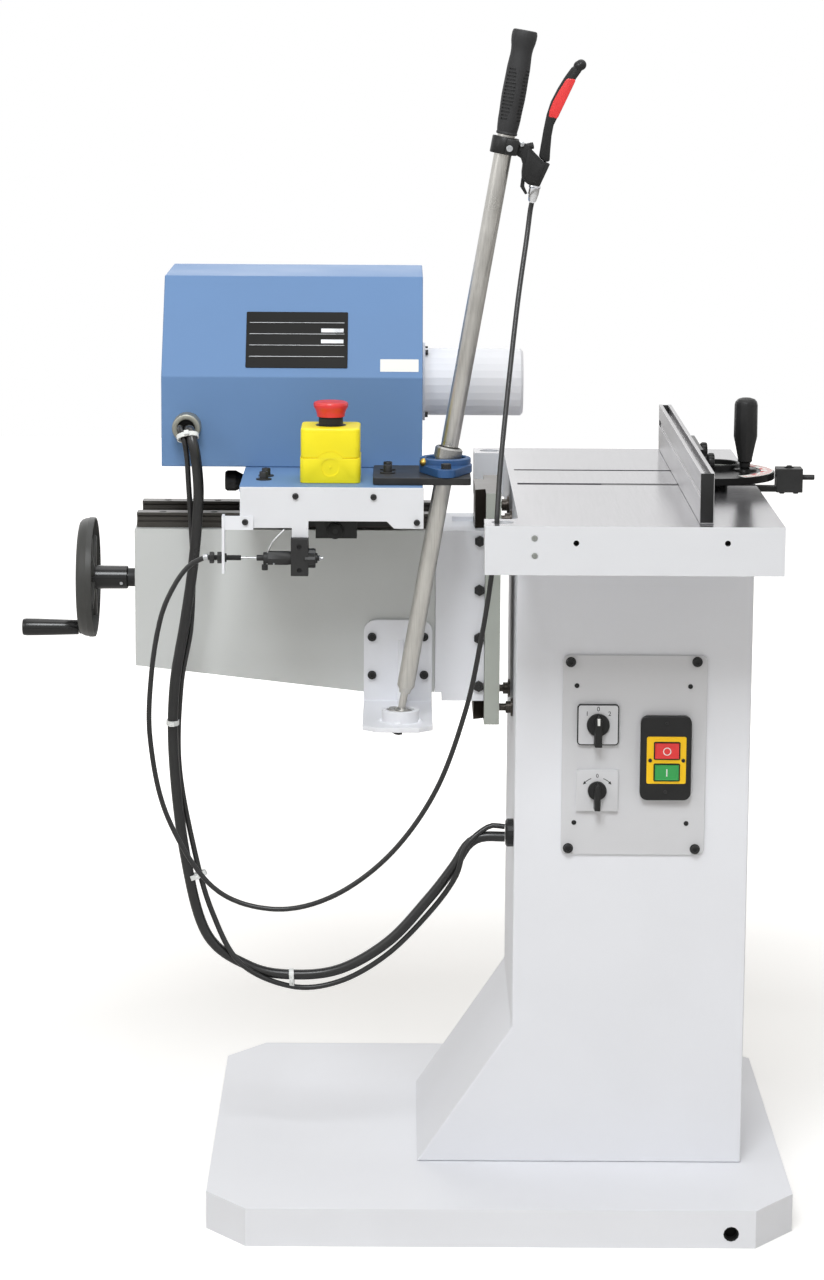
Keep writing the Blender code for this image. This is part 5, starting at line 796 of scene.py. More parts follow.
with editing(grip):
    pick_faces(grip, in_groove)
    bpy.ops.mesh.inset(thickness=0.00025, depth=0, use_even_offset=True)
    bpy.ops.transform.shrink_fatten(value=-GROOVE_DEPTH)
on_lever(grip, "lever_grip_moulded", GRIP_RUBBER, "lever", "lever_grip")
print("grip faces:", len(grip.data.polygons))

# %% [markdown]
# The brake bracket is a small black casting: a split ring clamped round the tube and a hollow
# body that carries the hand lever. The ring is turned, the body is cut to its outline and
# rounded, and the two are joined. A sheet cover lies on the body's face with a raised rim.

# %% Brake bracket
ring = lathe("clamp_ring", [(0.0103, 0.6490), (0.0146, 0.6490), (0.0152, 0.6498), (0.0152, 0.6672),
                            (0.0146, 0.6680), (0.0103, 0.6680), (0.0103, 0.6490)], 44)
ears = slab("clamp_ears", (0.0010, -0.0195, 0.6500), (0.0150, -0.0120, 0.6670), 0.0012)
BRACKET_OUTLINE = [(0.0120, 0.6655), (0.0243, 0.6645), (0.0300, 0.6600), (0.0460, 0.6485), (0.0536, 0.6475),
                   (0.0465, 0.6204), (0.0332, 0.6209), (0.0256, 0.6254), (0.0240, 0.6330), (0.0235, 0.6420),
                   (0.0205, 0.6480), (0.0125, 0.6510)]
body = cut_plate("bracket_body", BRACKET_OUTLINE, 0.0160)
settle(body, (0, -0.0080, 0))
round_edges(body, 0.0012, 3)
cut_with(body, slab("lever_slot", (0.0345, -0.0052, 0.6380), (0.0600, 0.0052, 0.6700)))
COVER_OUTLINE = [(0.0262, 0.6590), (0.0300, 0.6560), (0.0440, 0.6462), (0.0480, 0.6462), (0.0435, 0.6228),
                 (0.0345, 0.6232), (0.0275, 0.6275), (0.0262, 0.6420)]
cover = cut_plate("bracket_cover", COVER_OUTLINE, 0.0012)
settle(cover, (0, -0.0091, 0))
round_edges(cover, 0.0004, 2)
latch = cut_plate("bracket_latch", [(0.0250, 0.6262), (0.0292, 0.6262), (0.0300, 0.6180), (0.0350, 0.6105),
                                    (0.0325, 0.6090), (0.0255, 0.6165)], 0.0040)
settle(latch, (0, -0.0020, 0))
round_edges(latch, 0.0005, 2)
bracket = joined("brake_bracket", [ring, ears, body, cover, latch])
print("brake bracket upright, mm:", size_mm(bracket))
on_lever(bracket, "brake_bracket_cast", BLACK_PLASTIC, "lever", "brake_clamp")

# %% [markdown]
# The machine is held by cap screws and hexagon nuts of several sizes. A cap screw is turned, then
# a socket is cut in its head with a six-sided cutter, as a real broach would. A nut is a
# six-sided prism whose corners are taken off by a cone, which is how the real chamfer is cut.

# %% Screws and nuts


def socket_screw(radius, height, washer=0.0, foot=0.0):
    """A cap screw with a hexagon socket, on Z=0, or on a washer of a named radius and thickness."""
    profile = [(0, 0), (radius, 0)]
    if washer:
        profile = [(0, 0), (washer, 0), (washer, foot * 0.8), (washer * 0.97, foot), (radius, foot)]
    profile += [(radius, foot + height * 0.9), (radius * 0.9, foot + height), (0, foot + height)]
    screw = lathe("screw", profile, 24)
    begin()
    bpy.ops.mesh.primitive_cylinder_add(vertices=6, radius=radius * 0.58, depth=height,
                                        location=(0, 0, foot + height))
    return cut_with(screw, bpy.context.object)


def hexagon_head(radius, height, stud=0.0, stud_height=0.0):
    """A hexagon nut or bolt head on Z=0 with chamfered corners, and a stud's end if it is named."""
    begin()
    bpy.ops.mesh.primitive_cylinder_add(vertices=6, radius=radius, depth=height,
                                        location=(0, 0, height / 2))
    head = bpy.context.object
    bpy.ops.object.transform_apply(location=True, rotation=True, scale=True)
    cone = lathe("cone", [(0, -0.001), (radius * 1.2, -0.001), (radius * 1.2, height * 0.6),
                          (radius * 0.84, height * 1.01), (0, height * 1.01)], 36)
    parts = [cut_with(head, cone, "INTERSECT")]
    if stud:
        parts.append(lathe("stud", [(0, 0), (stud, 0), (stud, stud_height - stud * 0.3),
                                    (stud * 0.75, stud_height), (0, stud_height)], 20))
    return joined("hexagon", parts)


FACING_FRONT = (math.radians(90), 0, 0)
FACING_RIGHT = (0, math.radians(90), 0)
FACING_LEFT = (0, math.radians(-90), 0)
FACING_DOWN = (math.radians(180), 0, 0)
print("screw and nut helpers ready")

# %% [markdown]
# Bright screws close the clamp and pivot the lever, a knurled adjuster sits in the corner, and a
# chromed barrel under the bracket takes the cable. The knurl is a row of turned rings, because
# at this size its teeth show only as a rough band.

# %% Small hardware of the brake
clamp_screw = settle(socket_screw(0.0036, 0.0030), (0.0055, -0.0195, 0.6567), FACING_FRONT)
pivot_screw = settle(hexagon_head(0.0033, 0.0022), (0.0184, -0.0085, 0.6638), FACING_FRONT)
on_lever(joined("brake_screws", [clamp_screw, pivot_screw]), "brake_screws", ZINC, "lever")

barrel = lathe("barrel", [(0, 0.6212), (0.0068, 0.6212), (0.0070, 0.6205), (0.0070, 0.6188),
                          (0.0062, 0.6180), (0.0060, 0.6110), (0.0056, 0.6098), (0.0047, 0.6040),
                          (0.0036, 0.6022), (0, 0.6022)], 32)
on_lever(settle(barrel, (0.0415, 0, 0)), "cable_barrel", CHROME, "lever")

knurl_profile = [(0, -0.0075), (0.0028, -0.0075), (0.0028, -0.0055)]
for step in range(4):
    low = -0.0055 + 0.0018 * step
    knurl_profile += [(0.0036, low + 0.0001), (0.0040, low + 0.0009), (0.0036, low + 0.0016)]
knurl_profile += [(0.0030, 0.0018), (0, 0.0022)]
knurl = lathe("adjuster", knurl_profile, 24)
print("brake adjuster upright, mm:", size_mm(knurl))
settle(knurl, (0.0302, -0.0020, 0.6636), (0, math.radians(68), 0))
on_lever(knurl, "brake_adjuster", BLACK_STEEL, "lever")

# %% [markdown]
# The hand lever is a curved blade with a ball at its tip and a red soft insert along the side the
# fingers pull. The blade is cut to its outline, its rim is rounded well, and the ball is a
# sphere sunk a little into the tip, where a real casting would have a fillet.

# %% Hand lever of the brake
BLADE_OUTLINE = [(0.0400, 0.6530), (0.0398, 0.6648), (0.0396, 0.6824), (0.0400, 0.7000), (0.0420, 0.7150),
                 (0.0465, 0.7298), (0.0520, 0.7440), (0.0575, 0.7555), (0.0635, 0.7618), (0.0700, 0.7600),
                 (0.0690, 0.7530), (0.0648, 0.7445), (0.0590, 0.7220), (0.0530, 0.7010), (0.0498, 0.6900),
                 (0.0497, 0.6780), (0.0515, 0.6600), (0.0528, 0.6500), (0.0470, 0.6480)]
blade = cut_plate("blade", BLADE_OUTLINE, 0.0088)
settle(blade, (0, -0.0044, 0))
round_edges(blade, 0.0019, 4, 50)
BALL_CENTRE, INTO_BLADE = Vector((0.0676, 0, 0.7607)), Vector((-0.75, 0, -0.66))
begin()
bpy.ops.mesh.primitive_uv_sphere_add(segments=32, ring_count=20, radius=0.0061, location=BALL_CENTRE)
ball = bpy.context.object


def by_the_blade(centre, normal):
    """Whether a face of the ball looks into the blade's tip."""
    return (centre - BALL_CENTRE).dot(INTO_BLADE) > 0.0045


with editing(ball):
    pick_faces(ball, by_the_blade)
    bpy.ops.mesh.extrude_region_move(TRANSFORM_OT_translate={"value": (-0.0020, 0, -0.0018)})
hand = joined("hand_lever", [blade, ball])
print("hand lever upright, mm:", size_mm(hand))
on_lever(hand, "brake_lever_blade", BLACK_PLASTIC, "trigger", "brake_trigger")

INSERT_OUTLINE = [(0.0541, 0.7420), (0.0560, 0.7436), (0.0640, 0.7441), (0.0646, 0.7420), (0.0585, 0.7195),
                  (0.0530, 0.6995), (0.0515, 0.6976), (0.0478, 0.6984), (0.0440, 0.6979), (0.0424, 0.6992),
                  (0.0421, 0.7050), (0.0440, 0.7150), (0.0486, 0.7290)]
insert = cut_plate("insert", INSERT_OUTLINE, 0.0098)
settle(insert, (0, -0.0049, 0))
on_lever(round_edges(insert, 0.0008, 3, 50), "brake_lever_insert", RED_PLASTIC, "trigger")
print("red insert, mm:", size_mm(insert))

# %% [markdown]
# The emergency stop is a yellow moulded box with a red mushroom button. The box has round
# corners and a shallow seam between lid and base that arches over a knock-out. The lower half
# stands a third of a millimetre proud of the lid, which is what makes the seam show.

# %% Emergency stop box
STOP_CENTRE = (-0.198, -0.197)
STOP_LOW, STOP_SEAM, STOP_HIGH = 0.8653, 0.8930, 0.9268


def round_box(name, half, low, high, corner):
    """A box whose upright edges are rounded in edit mode."""
    begin()
    bpy.ops.mesh.primitive_cube_add(size=1, location=(*STOP_CENTRE, (low + high) / 2),
                                    scale=(2 * half, 2 * half, high - low))
    box = bpy.context.object
    bpy.ops.object.transform_apply(location=True, rotation=True, scale=True)
    with editing(box):
        bpy.ops.mesh.select_mode(type="EDGE")
        bpy.ops.mesh.select_all(action="DESELECT")
        shape = bmesh.from_edit_mesh(box.data)
        for side in shape.edges:
            side.select_set(abs(side.verts[0].co.z - side.verts[1].co.z) > (high - low) / 2)
        bmesh.update_edit_mesh(box.data)
        bpy.ops.mesh.bevel(offset=corner, segments=6, affect="EDGES")
    box.name = name
    return box


KNOCK_OUT_Z, KNOCK_OUT_R, ARCH_R = 0.8830, 0.0099, 0.0174
STOP_FACE = STOP_CENTRE[1] - 0.0340
lid = round_box("stop_lid", 0.0334, STOP_SEAM, STOP_HIGH, 0.0066)
round_edges(lid, 0.0024, 4, 60)
groove = lathe("groove", [(ARCH_R, -0.0006), (ARCH_R, 0.0020), (ARCH_R + 0.0007, 0.0020),
                          (ARCH_R + 0.0007, -0.0006), (ARCH_R, -0.0006)], 72)
cut_with(lid, settle(groove, (STOP_CENTRE[0], STOP_FACE + 0.0006, KNOCK_OUT_Z), FACING_FRONT))
base_box = round_box("stop_base", 0.0340, STOP_LOW, STOP_SEAM, 0.0070)
round_edges(base_box, 0.0004, 2, 60)
recess = lathe("recess", [(0, -0.0011), (KNOCK_OUT_R, -0.0011), (KNOCK_OUT_R + 0.0003, 0.0020),
                          (0, 0.0020)], 56)
cut_with(base_box, settle(recess, (STOP_CENTRE[0], STOP_FACE, KNOCK_OUT_Z), FACING_FRONT))
arch_outline = [(STOP_CENTRE[0] + ARCH_R * math.cos(math.radians(a)),
                 KNOCK_OUT_Z + ARCH_R * math.sin(math.radians(a)))
                for a in range(35, 146, 5)]
arch = settle(cut_plate("arch", arch_outline, 0.0020), (0, STOP_FACE, 0))
centre_mark = lathe("centre_mark", [(0, -0.0013), (0.0012, -0.0012), (0.0008, -0.0002), (0, 0)], 16)
settle(centre_mark, (STOP_CENTRE[0], STOP_FACE, KNOCK_OUT_Z), FACING_FRONT)
stop_box = joined("stop_box", [lid, base_box, arch, centre_mark])
dress(stop_box, "estop_box_moulded", YELLOW_PLASTIC, "cross", "estop_box")

collar = lathe("collar", [(0.0, 0.9262), (0.0172, 0.9262), (0.0172, 0.9272), (0.0158, 0.9277),
                          (0.0139, 0.9279), (0.0137, 0.9360), (0, 0.9360)], 48)
settle(collar, (*STOP_CENTRE, 0))
dress(collar, "estop_collar", BLACK_PLASTIC, "cross")
mushroom = lathe("mushroom", [(0, 0.9430), (0.0143, 0.9430), (0.0143, 0.9366), (0.0156, 0.9368),
                              (0.0160, 0.9400), (0.0172, 0.9440), (0.0190, 0.9470), (0.0197, 0.9490),
                              (0.0197, 0.9510), (0.0188, 0.9528), (0.0165, 0.9537), (0.0150, 0.9533),
                              (0.0135, 0.9530), (0.0110, 0.9535), (0.0060, 0.9539), (0, 0.9540)], 56)
settle(mushroom, (*STOP_CENTRE, 0))
dress(mushroom, "estop_mushroom", RED_PLASTIC, "estop_button", "estop_button")
print("stop box, mm:", size_mm(stop_box), "mushroom, mm:", size_mm(mushroom))

# %% [markdown]
# The control panel is a flat cover screwed to the column. Cap screws hold its corners and four
# small screws hold the switches behind it. One screw of each kind is modelled, then copied.

# %% Control panel screws
SWITCH_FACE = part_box("control_plate")[0][1]
PANEL_FACE = SWITCH_FACE + 0.0045
CORNER_SPOTS = [(x, PANEL_FACE, z) for x, z in ((0.0790, 0.6486), (0.2250, 0.6495), (0.0785, 0.4280),
                                                (0.2263, 0.4276))]
DOT_SPOTS = [(x, PANEL_FACE, z) for x, z in ((0.0863, 0.6209), (0.2175, 0.6206), (0.0850, 0.4587),
                                             (0.2156, 0.4582))]

corner_screw = socket_screw(0.0050, 0.0048, 0.0060, 0.0008)
repeated("panel_corner_screws", corner_screw, CORNER_SPOTS, BLACK_STEEL, "stand", FACING_FRONT)
dot_screw = lathe("dot_screw", [(0, 0), (0.0029, 0), (0.0027, 0.0007), (0.0018, 0.0012), (0.0009, 0.0012),
                                (0.0007, 0.0006), (0, 0.0006)], 20)
repeated("panel_small_screws", dot_screw, DOT_SPOTS, BLACK_PLASTIC, "stand", FACING_FRONT)
print("panel screws:", len(CORNER_SPOTS), "large,", len(DOT_SPOTS), "small")

# %% [markdown]
# Two rotary cam switches sit on square plates. One plate is pale inside a dark frame with round
# corners, the other is plain and square. Each is cut to its outline, and a bevel breaks its rim.

# %% Cam switch plates
SWITCH_X, SELECTOR_Z, DIRECTION_Z, ARROW_CENTRE_Z = 0.1112, 0.5757, 0.4978, 0.4930


def switch_plate(name, outline, thickness, proud, rounding, look):
    """A plate that stands a little proud of the switches' face, its rim rounded if wanted."""
    plate = settle(cut_plate(name, outline, thickness), (0, SWITCH_FACE - proud, 0))
    if rounding:
        round_edges(plate, rounding, 2)
    return dress(plate, name, look, "stand")


switch_plate("selector_plate_frame", rounded_corners(0.0870, 0.1354, 0.5515, 0.5999, 0.0042),
             0.0043, 0.0002, 0.0005, BLACK_PLASTIC)
selector_plate = switch_plate("selector_plate_face",
                              rounded_corners(0.0884, 0.1340, 0.5529, 0.5985, 0.0030),
                              0.0006, 0.0005, 0, GREY_PLASTIC)
direction_plate = switch_plate("direction_plate_face",
                               rounded_corners(0.0870, 0.1354, 0.4736, 0.5220, 0.0006),
                               0.0044, 0.0003, 0.0004, GREY_PLASTIC)
print("selector plate, mm:", size_mm(selector_plate), "direction plate, mm:", size_mm(direction_plate))

# %% [markdown]
# Both plates carry the usual marks: figures for the positions and two arrows for the turning
# directions. The ink is a very thin solid that stands a hair in front of its plate, because a
# flat face would fight with the plate for the same place.

# %% Marks of the cam switches
PRINT_LIFT = 0.00015


def printed(text, height, place, name):
    """Plain figures as a very thin solid: a text object made a mesh, then set on its face."""
    begin()
    bpy.ops.object.text_add(location=(0, 0, 0))
    words = bpy.context.object
    words.data.body = text
    words.data.size = height
    words.data.align_x = "CENTER"
    words.data.align_y = "CENTER"
    words.data.extrude = PRINT_LIFT / 2
    bpy.ops.object.convert(target="MESH")
    dress(settle(bpy.context.object, place, FACING_FRONT), name, BLACK_PLASTIC, "stand")


for text, x, z, name in (("1", 0.0983, 0.5887, "mark_one"), ("0", 0.1112, 0.5942, "mark_zero"),
                         ("2", 0.1243, 0.5887, "mark_two")):
    printed(text, 0.0075, (x, SWITCH_FACE - 0.0005, z), name)
printed("0", 0.0066, (0.1112, SWITCH_FACE - 0.0003, 0.5152), "mark_off")


def turn_arrow(name, side):
    """A curved arrow that shows a turning direction: a thin strip along an arc, with a pointed head."""
    def ring_point(radius, degrees):
        """A point of the arc's plane, at an angle from straight up."""
        angle = math.radians(90 - side * degrees)
        return (SWITCH_X + radius * math.cos(angle), ARROW_CENTRE_Z + radius * math.sin(angle))

    outline = [ring_point(0.0200, 20 + 4 * step) for step in range(7)]
    outline += [ring_point(0.0208, 20 + 4 * step) for step in range(7)][::-1]
    arc = cut_plate(name, outline, PRINT_LIFT)
    head = cut_plate("head", [ring_point(0.0204, 54), ring_point(0.0222, 43), ring_point(0.0186, 43)],
                     PRINT_LIFT)
    arrow = settle(joined(name, [arc, head]), (0, SWITCH_FACE - 0.0004, 0))
    return dress(arrow, name, BLACK_PLASTIC, "stand")


arrow_left = turn_arrow("arrow_left", -1)
turn_arrow("arrow_right", 1)
print("arrow, mm:", size_mm(arrow_left))

# %% [markdown]
# A cam switch's knob is a round skirt with a finger bar that tapers to a pointer. The skirt is
# turned and the bar is cut to its outline, rounded, and its sides are drawn in towards the front.

# %% Cam switch knobs
KNOB_SEAT = SWITCH_FACE - 0.0003
KNOB_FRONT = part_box("selector_knob")[0][1]


def faces_front(centre, normal):
    """Whether a face looks to the machine's front."""
    return normal.y < -0.9


def cam_knob(node, height, radius, tail, tail_half, tip):
    """A cam switch's knob, which turns on the body that has the name of its solid."""
    skirt = lathe("skirt", [(0, 0), (radius, 0), (radius, 0.0030), (radius * 0.95, 0.0042),
                            (radius * 0.6, 0.0048), (0, 0.0048)], 44)
    settle(skirt, (SWITCH_X, KNOB_SEAT, height), FACING_FRONT)
    shoulder = height + radius * tip
    outline = [(SWITCH_X - tail_half, height - tail), (SWITCH_X + tail_half, height - tail),
               (SWITCH_X + tail_half, shoulder), (SWITCH_X, height + radius * 0.95),
               (SWITCH_X - tail_half, shoulder)]
    bar = cut_plate("bar", outline, KNOB_SEAT - KNOB_FRONT - 0.0012)
    settle(bar, (0, KNOB_FRONT, 0))
    with editing(bar):
        pick_faces(bar, faces_front)
        bpy.ops.transform.resize(value=(0.82, 1, 0.97), center_override=(SWITCH_X, KNOB_FRONT, height))
    round_edges(bar, 0.0009, 3, 30)
    return dress(joined("knob", [skirt, bar]), node + "_moulded", BLACK_PLASTIC, node, node)


knobs = [cam_knob("selector_knob", SELECTOR_Z, 0.0133, 0.0245, 0.0050, 0.45),
         cam_knob("direction_knob", DIRECTION_Z, 0.0110, 0.0218, 0.0040, 0.50)]
pointer = slab("pointer", (SWITCH_X - 0.0016, KNOB_FRONT - 0.0001, SELECTOR_Z + 0.0020),
               (SWITCH_X + 0.0016, KNOB_FRONT + 0.0004, SELECTOR_Z + 0.0105), 0.0002, 1)
dress(pointer, "selector_pointer_mark", LABEL_WHITE, "selector_knob")
print("knobs, mm:", [size_mm(knob) for knob in knobs])

# %% [markdown]
# The start and stop switch is a black moulded plate with round corners, a yellow inset, and two
# rectangular buttons in dark bezels. A ring and a bar are the common marks for off and on.

# %% Start and stop switch
STARTER_FACE, STARTER_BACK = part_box("start_stop_box")[0][1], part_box("start_stop_box")[1][1]
INSET_FACE = STARTER_FACE - 0.0006
BUTTON_X, STOP_Z, START_Z, DISH_DEPTH = 0.1911, 0.5466, 0.5211, 0.0006


def pocketed(piece):
    """Cut the two wells that the push buttons sink into."""
    for height in (STOP_Z, START_Z):
        cut_with(piece, slab("well", (BUTTON_X - 0.0142, STARTER_FACE - 0.0030, height - 0.0093),
                             (BUTTON_X + 0.0142, STARTER_FACE + 0.0052, height + 0.0093)))
    return piece


starter = cut_plate("starter", rounded_corners(0.1605, 0.2195, 0.4875, 0.5870, 0.0085, 6),
                    STARTER_BACK - STARTER_FACE)
settle(starter, (0, STARTER_FACE, 0))
pocketed(round_edges(starter, 0.0014, 3))
dress(starter, "start_stop_plate", BLACK_PLASTIC, "stand", "start_stop_box")
inset_plate = cut_plate("inset", rounded_corners(0.1677, 0.2134, 0.5075, 0.5631, 0.0022), 0.0008)
settle(inset_plate, (0, INSET_FACE, 0))
pocketed(round_edges(inset_plate, 0.0002, 1))
dress(inset_plate, "start_stop_inset", SWITCH_YELLOW, "stand")
bezels = []
for height in (STOP_Z, START_Z):
    bezel = cut_plate("bezel", rounded_corners(0.1757, 0.2065, height - 0.0106, height + 0.0106, 0.0018),
                      0.0012)
    settle(bezel, (0, STARTER_FACE - 0.0014, 0))
    bezels.append(pocketed(round_edges(bezel, 0.0003, 1)))
dress(joined("button_bezels", bezels), "button_bezels", BLACK_PLASTIC, "stand")
print("starter, mm:", size_mm(starter), "inset, mm:", size_mm(inset_plate))

# %% [markdown]
# A push button's face is dished so that a finger finds it. The dish is an inset of the front face
# pushed in, and the printed ring and bar lie on its floor.

# %% Push buttons


def push_button(node, height, look):
    """A push button: a block whose face is inset and sunk to a shallow dish."""
    button = slab("button", (BUTTON_X - 0.0138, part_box(node)[0][1], height - 0.0089),
                  (BUTTON_X + 0.0138, STARTER_FACE + 0.001, height + 0.0089))
    with editing(button):
        pick_faces(button, faces_front)
        bpy.ops.mesh.inset(thickness=0.0014, use_even_offset=True)
        bpy.ops.transform.translate(value=(0, DISH_DEPTH, 0))
    round_edges(button, 0.0005, 2, 20)
    return dress(button, node + "_moulded", look, node, node)


push_button("stop_button", STOP_Z, RED_PLASTIC)
push_button("start_button", START_Z, GREEN_PLASTIC)
MARK_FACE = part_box("stop_button")[0][1] + DISH_DEPTH
ring = lathe("ring", [(0.0037, -0.0002), (0.0037, 0.0002), (0.0047, 0.0002), (0.0047, -0.0002),
                      (0.0037, -0.0002)], 36)
settle(ring, (BUTTON_X, MARK_FACE, STOP_Z - 0.0004), FACING_FRONT)
dress(ring, "stop_mark", LABEL_WHITE, "stop_button")
bar_mark = slab("bar_mark", (BUTTON_X - 0.0007, MARK_FACE - 0.0002, START_Z - 0.0043),
                (BUTTON_X + 0.0007, MARK_FACE + 0.0002, START_Z + 0.0043), 0.0001, 1)
dress(bar_mark, "start_mark", LABEL_WHITE, "start_button")
STARTER_SPOTS = [(0.1905, STARTER_FACE, 0.5786), (0.1900, STARTER_FACE, 0.4977),
                 (0.1717, INSET_FACE, 0.5352), (0.2101, INSET_FACE, 0.5352)]
repeated("starter_screws", socket_screw(0.0022, 0.0010), STARTER_SPOTS, BLACK_STEEL, "stand", FACING_FRONT)
print("ring, mm:", size_mm(ring), "bar, mm:", size_mm(bar_mark))

# %% [markdown]
# The blue housing carries a bare black data plate and a small bare white label. Both are thin
# sheets laid on the slanted face, so they are cut flat and then leaned to its angle.

# %% Bare data plate and label
HOUSING_FRONT, HOUSING_BREAK, HOUSING_TOP_FRONT, HOUSING_TOP = -0.098, 0.970, -0.020, 1.080
SLOPE = math.atan2(HOUSING_TOP_FRONT - HOUSING_FRONT, HOUSING_TOP - HOUSING_BREAK)
PLATE_X, PLATE_Z = -0.2400, 1.0100


def on_slope(height):
    """The place of the slanted face along Y at a height."""
    share = (height - HOUSING_BREAK) / (HOUSING_TOP - HOUSING_BREAK)
    return HOUSING_FRONT + share * (HOUSING_TOP_FRONT - HOUSING_FRONT)


def lay_on_slope(piece, name, look, x, height):
    """Lean a flat sheet to the housing's slanted face, and finish it."""
    settle(piece, (x, on_slope(height), height), (-SLOPE, 0, 0))
    return dress(piece, name, look, "cross")


data_plate = cut_plate("data_plate", rounded_corners(-0.0590, 0.0590, -0.0372, 0.0372, 0.0016), 0.0012)
settle(data_plate, (0, -0.0009, 0))
round_edges(data_plate, 0.0003, 2)
lay_on_slope(data_plate, "data_plate_bare", BLACK_PLATE_AND_HOLE_SHADE, PLATE_X, PLATE_Z)
rules = [cut_plate("rule", rounded_corners(-0.0550, 0.0550, low, low + 0.0005, 0.0001, 1), 0.0002)
         for low in (-0.0075, 0.0075, -0.0225, 0.0225)]
rules += [cut_plate("field", rounded_corners(0.0280, 0.0540, low, low + 0.0050, 0.0003, 1), 0.0002)
          for low in (0.0100, -0.0045)]
rules = settle(joined("rules", rules), (0, -0.0010, 0))
lay_on_slope(rules, "data_plate_rules", ZINC, PLATE_X, PLATE_Z)
label = cut_plate("label", rounded_corners(-0.0222, 0.0222, -0.0082, 0.0082, 0.0006, 2), 0.0005)
settle(label, (0, -0.0003, 0))
lay_on_slope(label, "label_bare", LABEL_WHITE, -0.1210, 0.9830)
print("data plate leans", round(math.degrees(SLOPE), 1), "degrees")

# %% [markdown]
# Black cap screws hold the head together: washers and screws on the head plate and the lever
# plate, four in the front cover, and four round the guard's flange. Each size is modelled once.

# %% Screws of the head
UPRIGHT = (0, 0, 0)
HEAD_TOP, LEVER_PLATE_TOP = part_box("head_plate")[1][2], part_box("lever_plate")[1][2]
COVER_FACE, BRACKET_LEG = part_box("front_cover")[0][1], 0.0031
SPINDLE_Z, BOLT_CIRCLE_R = 0.955, 0.0425
FLANGE_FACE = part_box("spindle_guard")[0][0] + 0.0030

plate_spots = [(-0.2720, -0.1735, HEAD_TOP), (-0.2735, -0.2030, HEAD_TOP),
               (-0.1335, -0.1745, LEVER_PLATE_TOP), (-0.1335, -0.2025, LEVER_PLATE_TOP)]
cover_spots = [(-0.2360, COVER_FACE, 0.8550), (-0.1490, COVER_FACE, 0.8545),
               (-0.2920, COVER_FACE - BRACKET_LEG, 0.8260), (-0.1005, COVER_FACE, 0.8260)]
guard_spots = [(FLANGE_FACE, BOLT_CIRCLE_R * math.sin(math.radians(degrees)),
                SPINDLE_Z + BOLT_CIRCLE_R * math.cos(math.radians(degrees)))
               for degrees in (30, 150, 210, 330)]
for name, screw, spots, turn in (
        ("plate_screws", socket_screw(0.0050, 0.0078, 0.0088, 0.0015), plate_spots, UPRIGHT),
        ("cover_screws", socket_screw(0.0031, 0.0026, 0.0036, 0.0004), cover_spots, FACING_FRONT),
        ("guard_screws", socket_screw(0.0030, 0.0034), guard_spots, FACING_RIGHT)):
    repeated(name, screw, spots, BLACK_STEEL, "cross", turn)
print("head screws:", len(plate_spots) + len(cover_spots) + len(guard_spots))

# %% [markdown]
# Folded sheet, castings and ground blocks never have knife edges. The solids of the large pieces
# are sharp, so each is copied, its loose triangles are merged into whole faces, and a small
# bevel rounds every fold. A fold of sheet steel is wide, a ground edge is only just broken.

# %% Rounded folds and broken edges


def softened(node, width, look, body, segments=3, angle=32):
    """A copy of a solid with its edges rounded, which stands for that solid."""
    begin()
    piece = nodes[node].copy()
    piece.data = nodes[node].data.copy()
    scene.collection.objects.link(piece)
    piece.parent = None
    with editing(piece):
        bpy.ops.mesh.select_all(action="SELECT")
        bpy.ops.mesh.remove_doubles(threshold=0.00001)
        bpy.ops.mesh.select_all(action="SELECT")
        bpy.ops.mesh.dissolve_limited(angle_limit=math.radians(0.6))
    round_edges(piece, width, segments, angle)
    return level_faces(dress(piece, node + "_finished", look, body, node))


def second_finish(piece, look, wanted):
    """Give the faces that pass a test another finish, as where a painted casting is machined."""
    piece.data.materials.append(look)
    piece.active_material_index = len(piece.data.materials) - 1
    with editing(piece):
        pick_faces(piece, wanted)
        bpy.ops.object.material_slot_assign()
    return piece


SOFTENED = (("base_plinth", 0.0030, WHITE_PAINT, "stand"), ("column", 0.0022, WHITE_PAINT, "stand"),
            ("control_plate", 0.0006, GREY_PLASTIC, "stand"), ("arm", 0.0016, ARM_PAINT_DARKENED_FOR_SHADE, "lift"),
            ("lift_saddle", 0.0009, WHITE_PAINT, "lift"), ("lever_bracket", 0.0009, WHITE_PAINT, "lift"),
            ("slide_plate", 0.0007, CASTING, "plunge"), ("head_plate", 0.0009, BLUE_PAINT, "cross"),
            ("front_cover", 0.0007, SKIRT_PAINT, "cross"), ("motor_housing", 0.0012, BLUE_PAINT, "cross"),
            ("lever_plate", 0.0007, BLACK_STEEL, "cross"),
            ("bearing_flange", 0.0009, BEARING_BLUE, "cross"),
            ("plunger_block", 0.0005, BLACK_STEEL, "cross"), ("table", 0.0010, SKIRT_PAINT, "stand"),
            ("lift_way", 0.0007, OILY_IRON, "stand"))
finished = {node: softened(node, width, look, body) for node, width, look, body in SOFTENED}
print("softened solids:", len(finished))

# %% [markdown]
# Some castings wear two finishes: paint where they are only cast, and bare or blackened metal
# where a tool or a bolt has been. The faces are picked by their place, so no edge has to be
# modelled twice.

# %% Second finishes
ARM_FACE, TABLE_TOP, WAY_SIDE = -0.4300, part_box("table")[1][2], 0.079
SLOT_FLOOR, TABLE_HALF_WIDTH = 0.0100, 0.334


def on_bush(centre, normal):
    """The faces of the bush that stands before the arm's end."""
    return centre.x < ARM_FACE - 0.0003


def ground(centre, normal):
    """The table's top and the walls and floors of its slots."""
    in_slot = TABLE_TOP - SLOT_FLOOR < centre.z < TABLE_TOP - 0.0012
    near_top = centre.z > TABLE_TOP - SLOT_FLOOR - 0.0004 and abs(centre.y) < TABLE_HALF_WIDTH
    return near_top and (normal.z > 0.5 or in_slot)


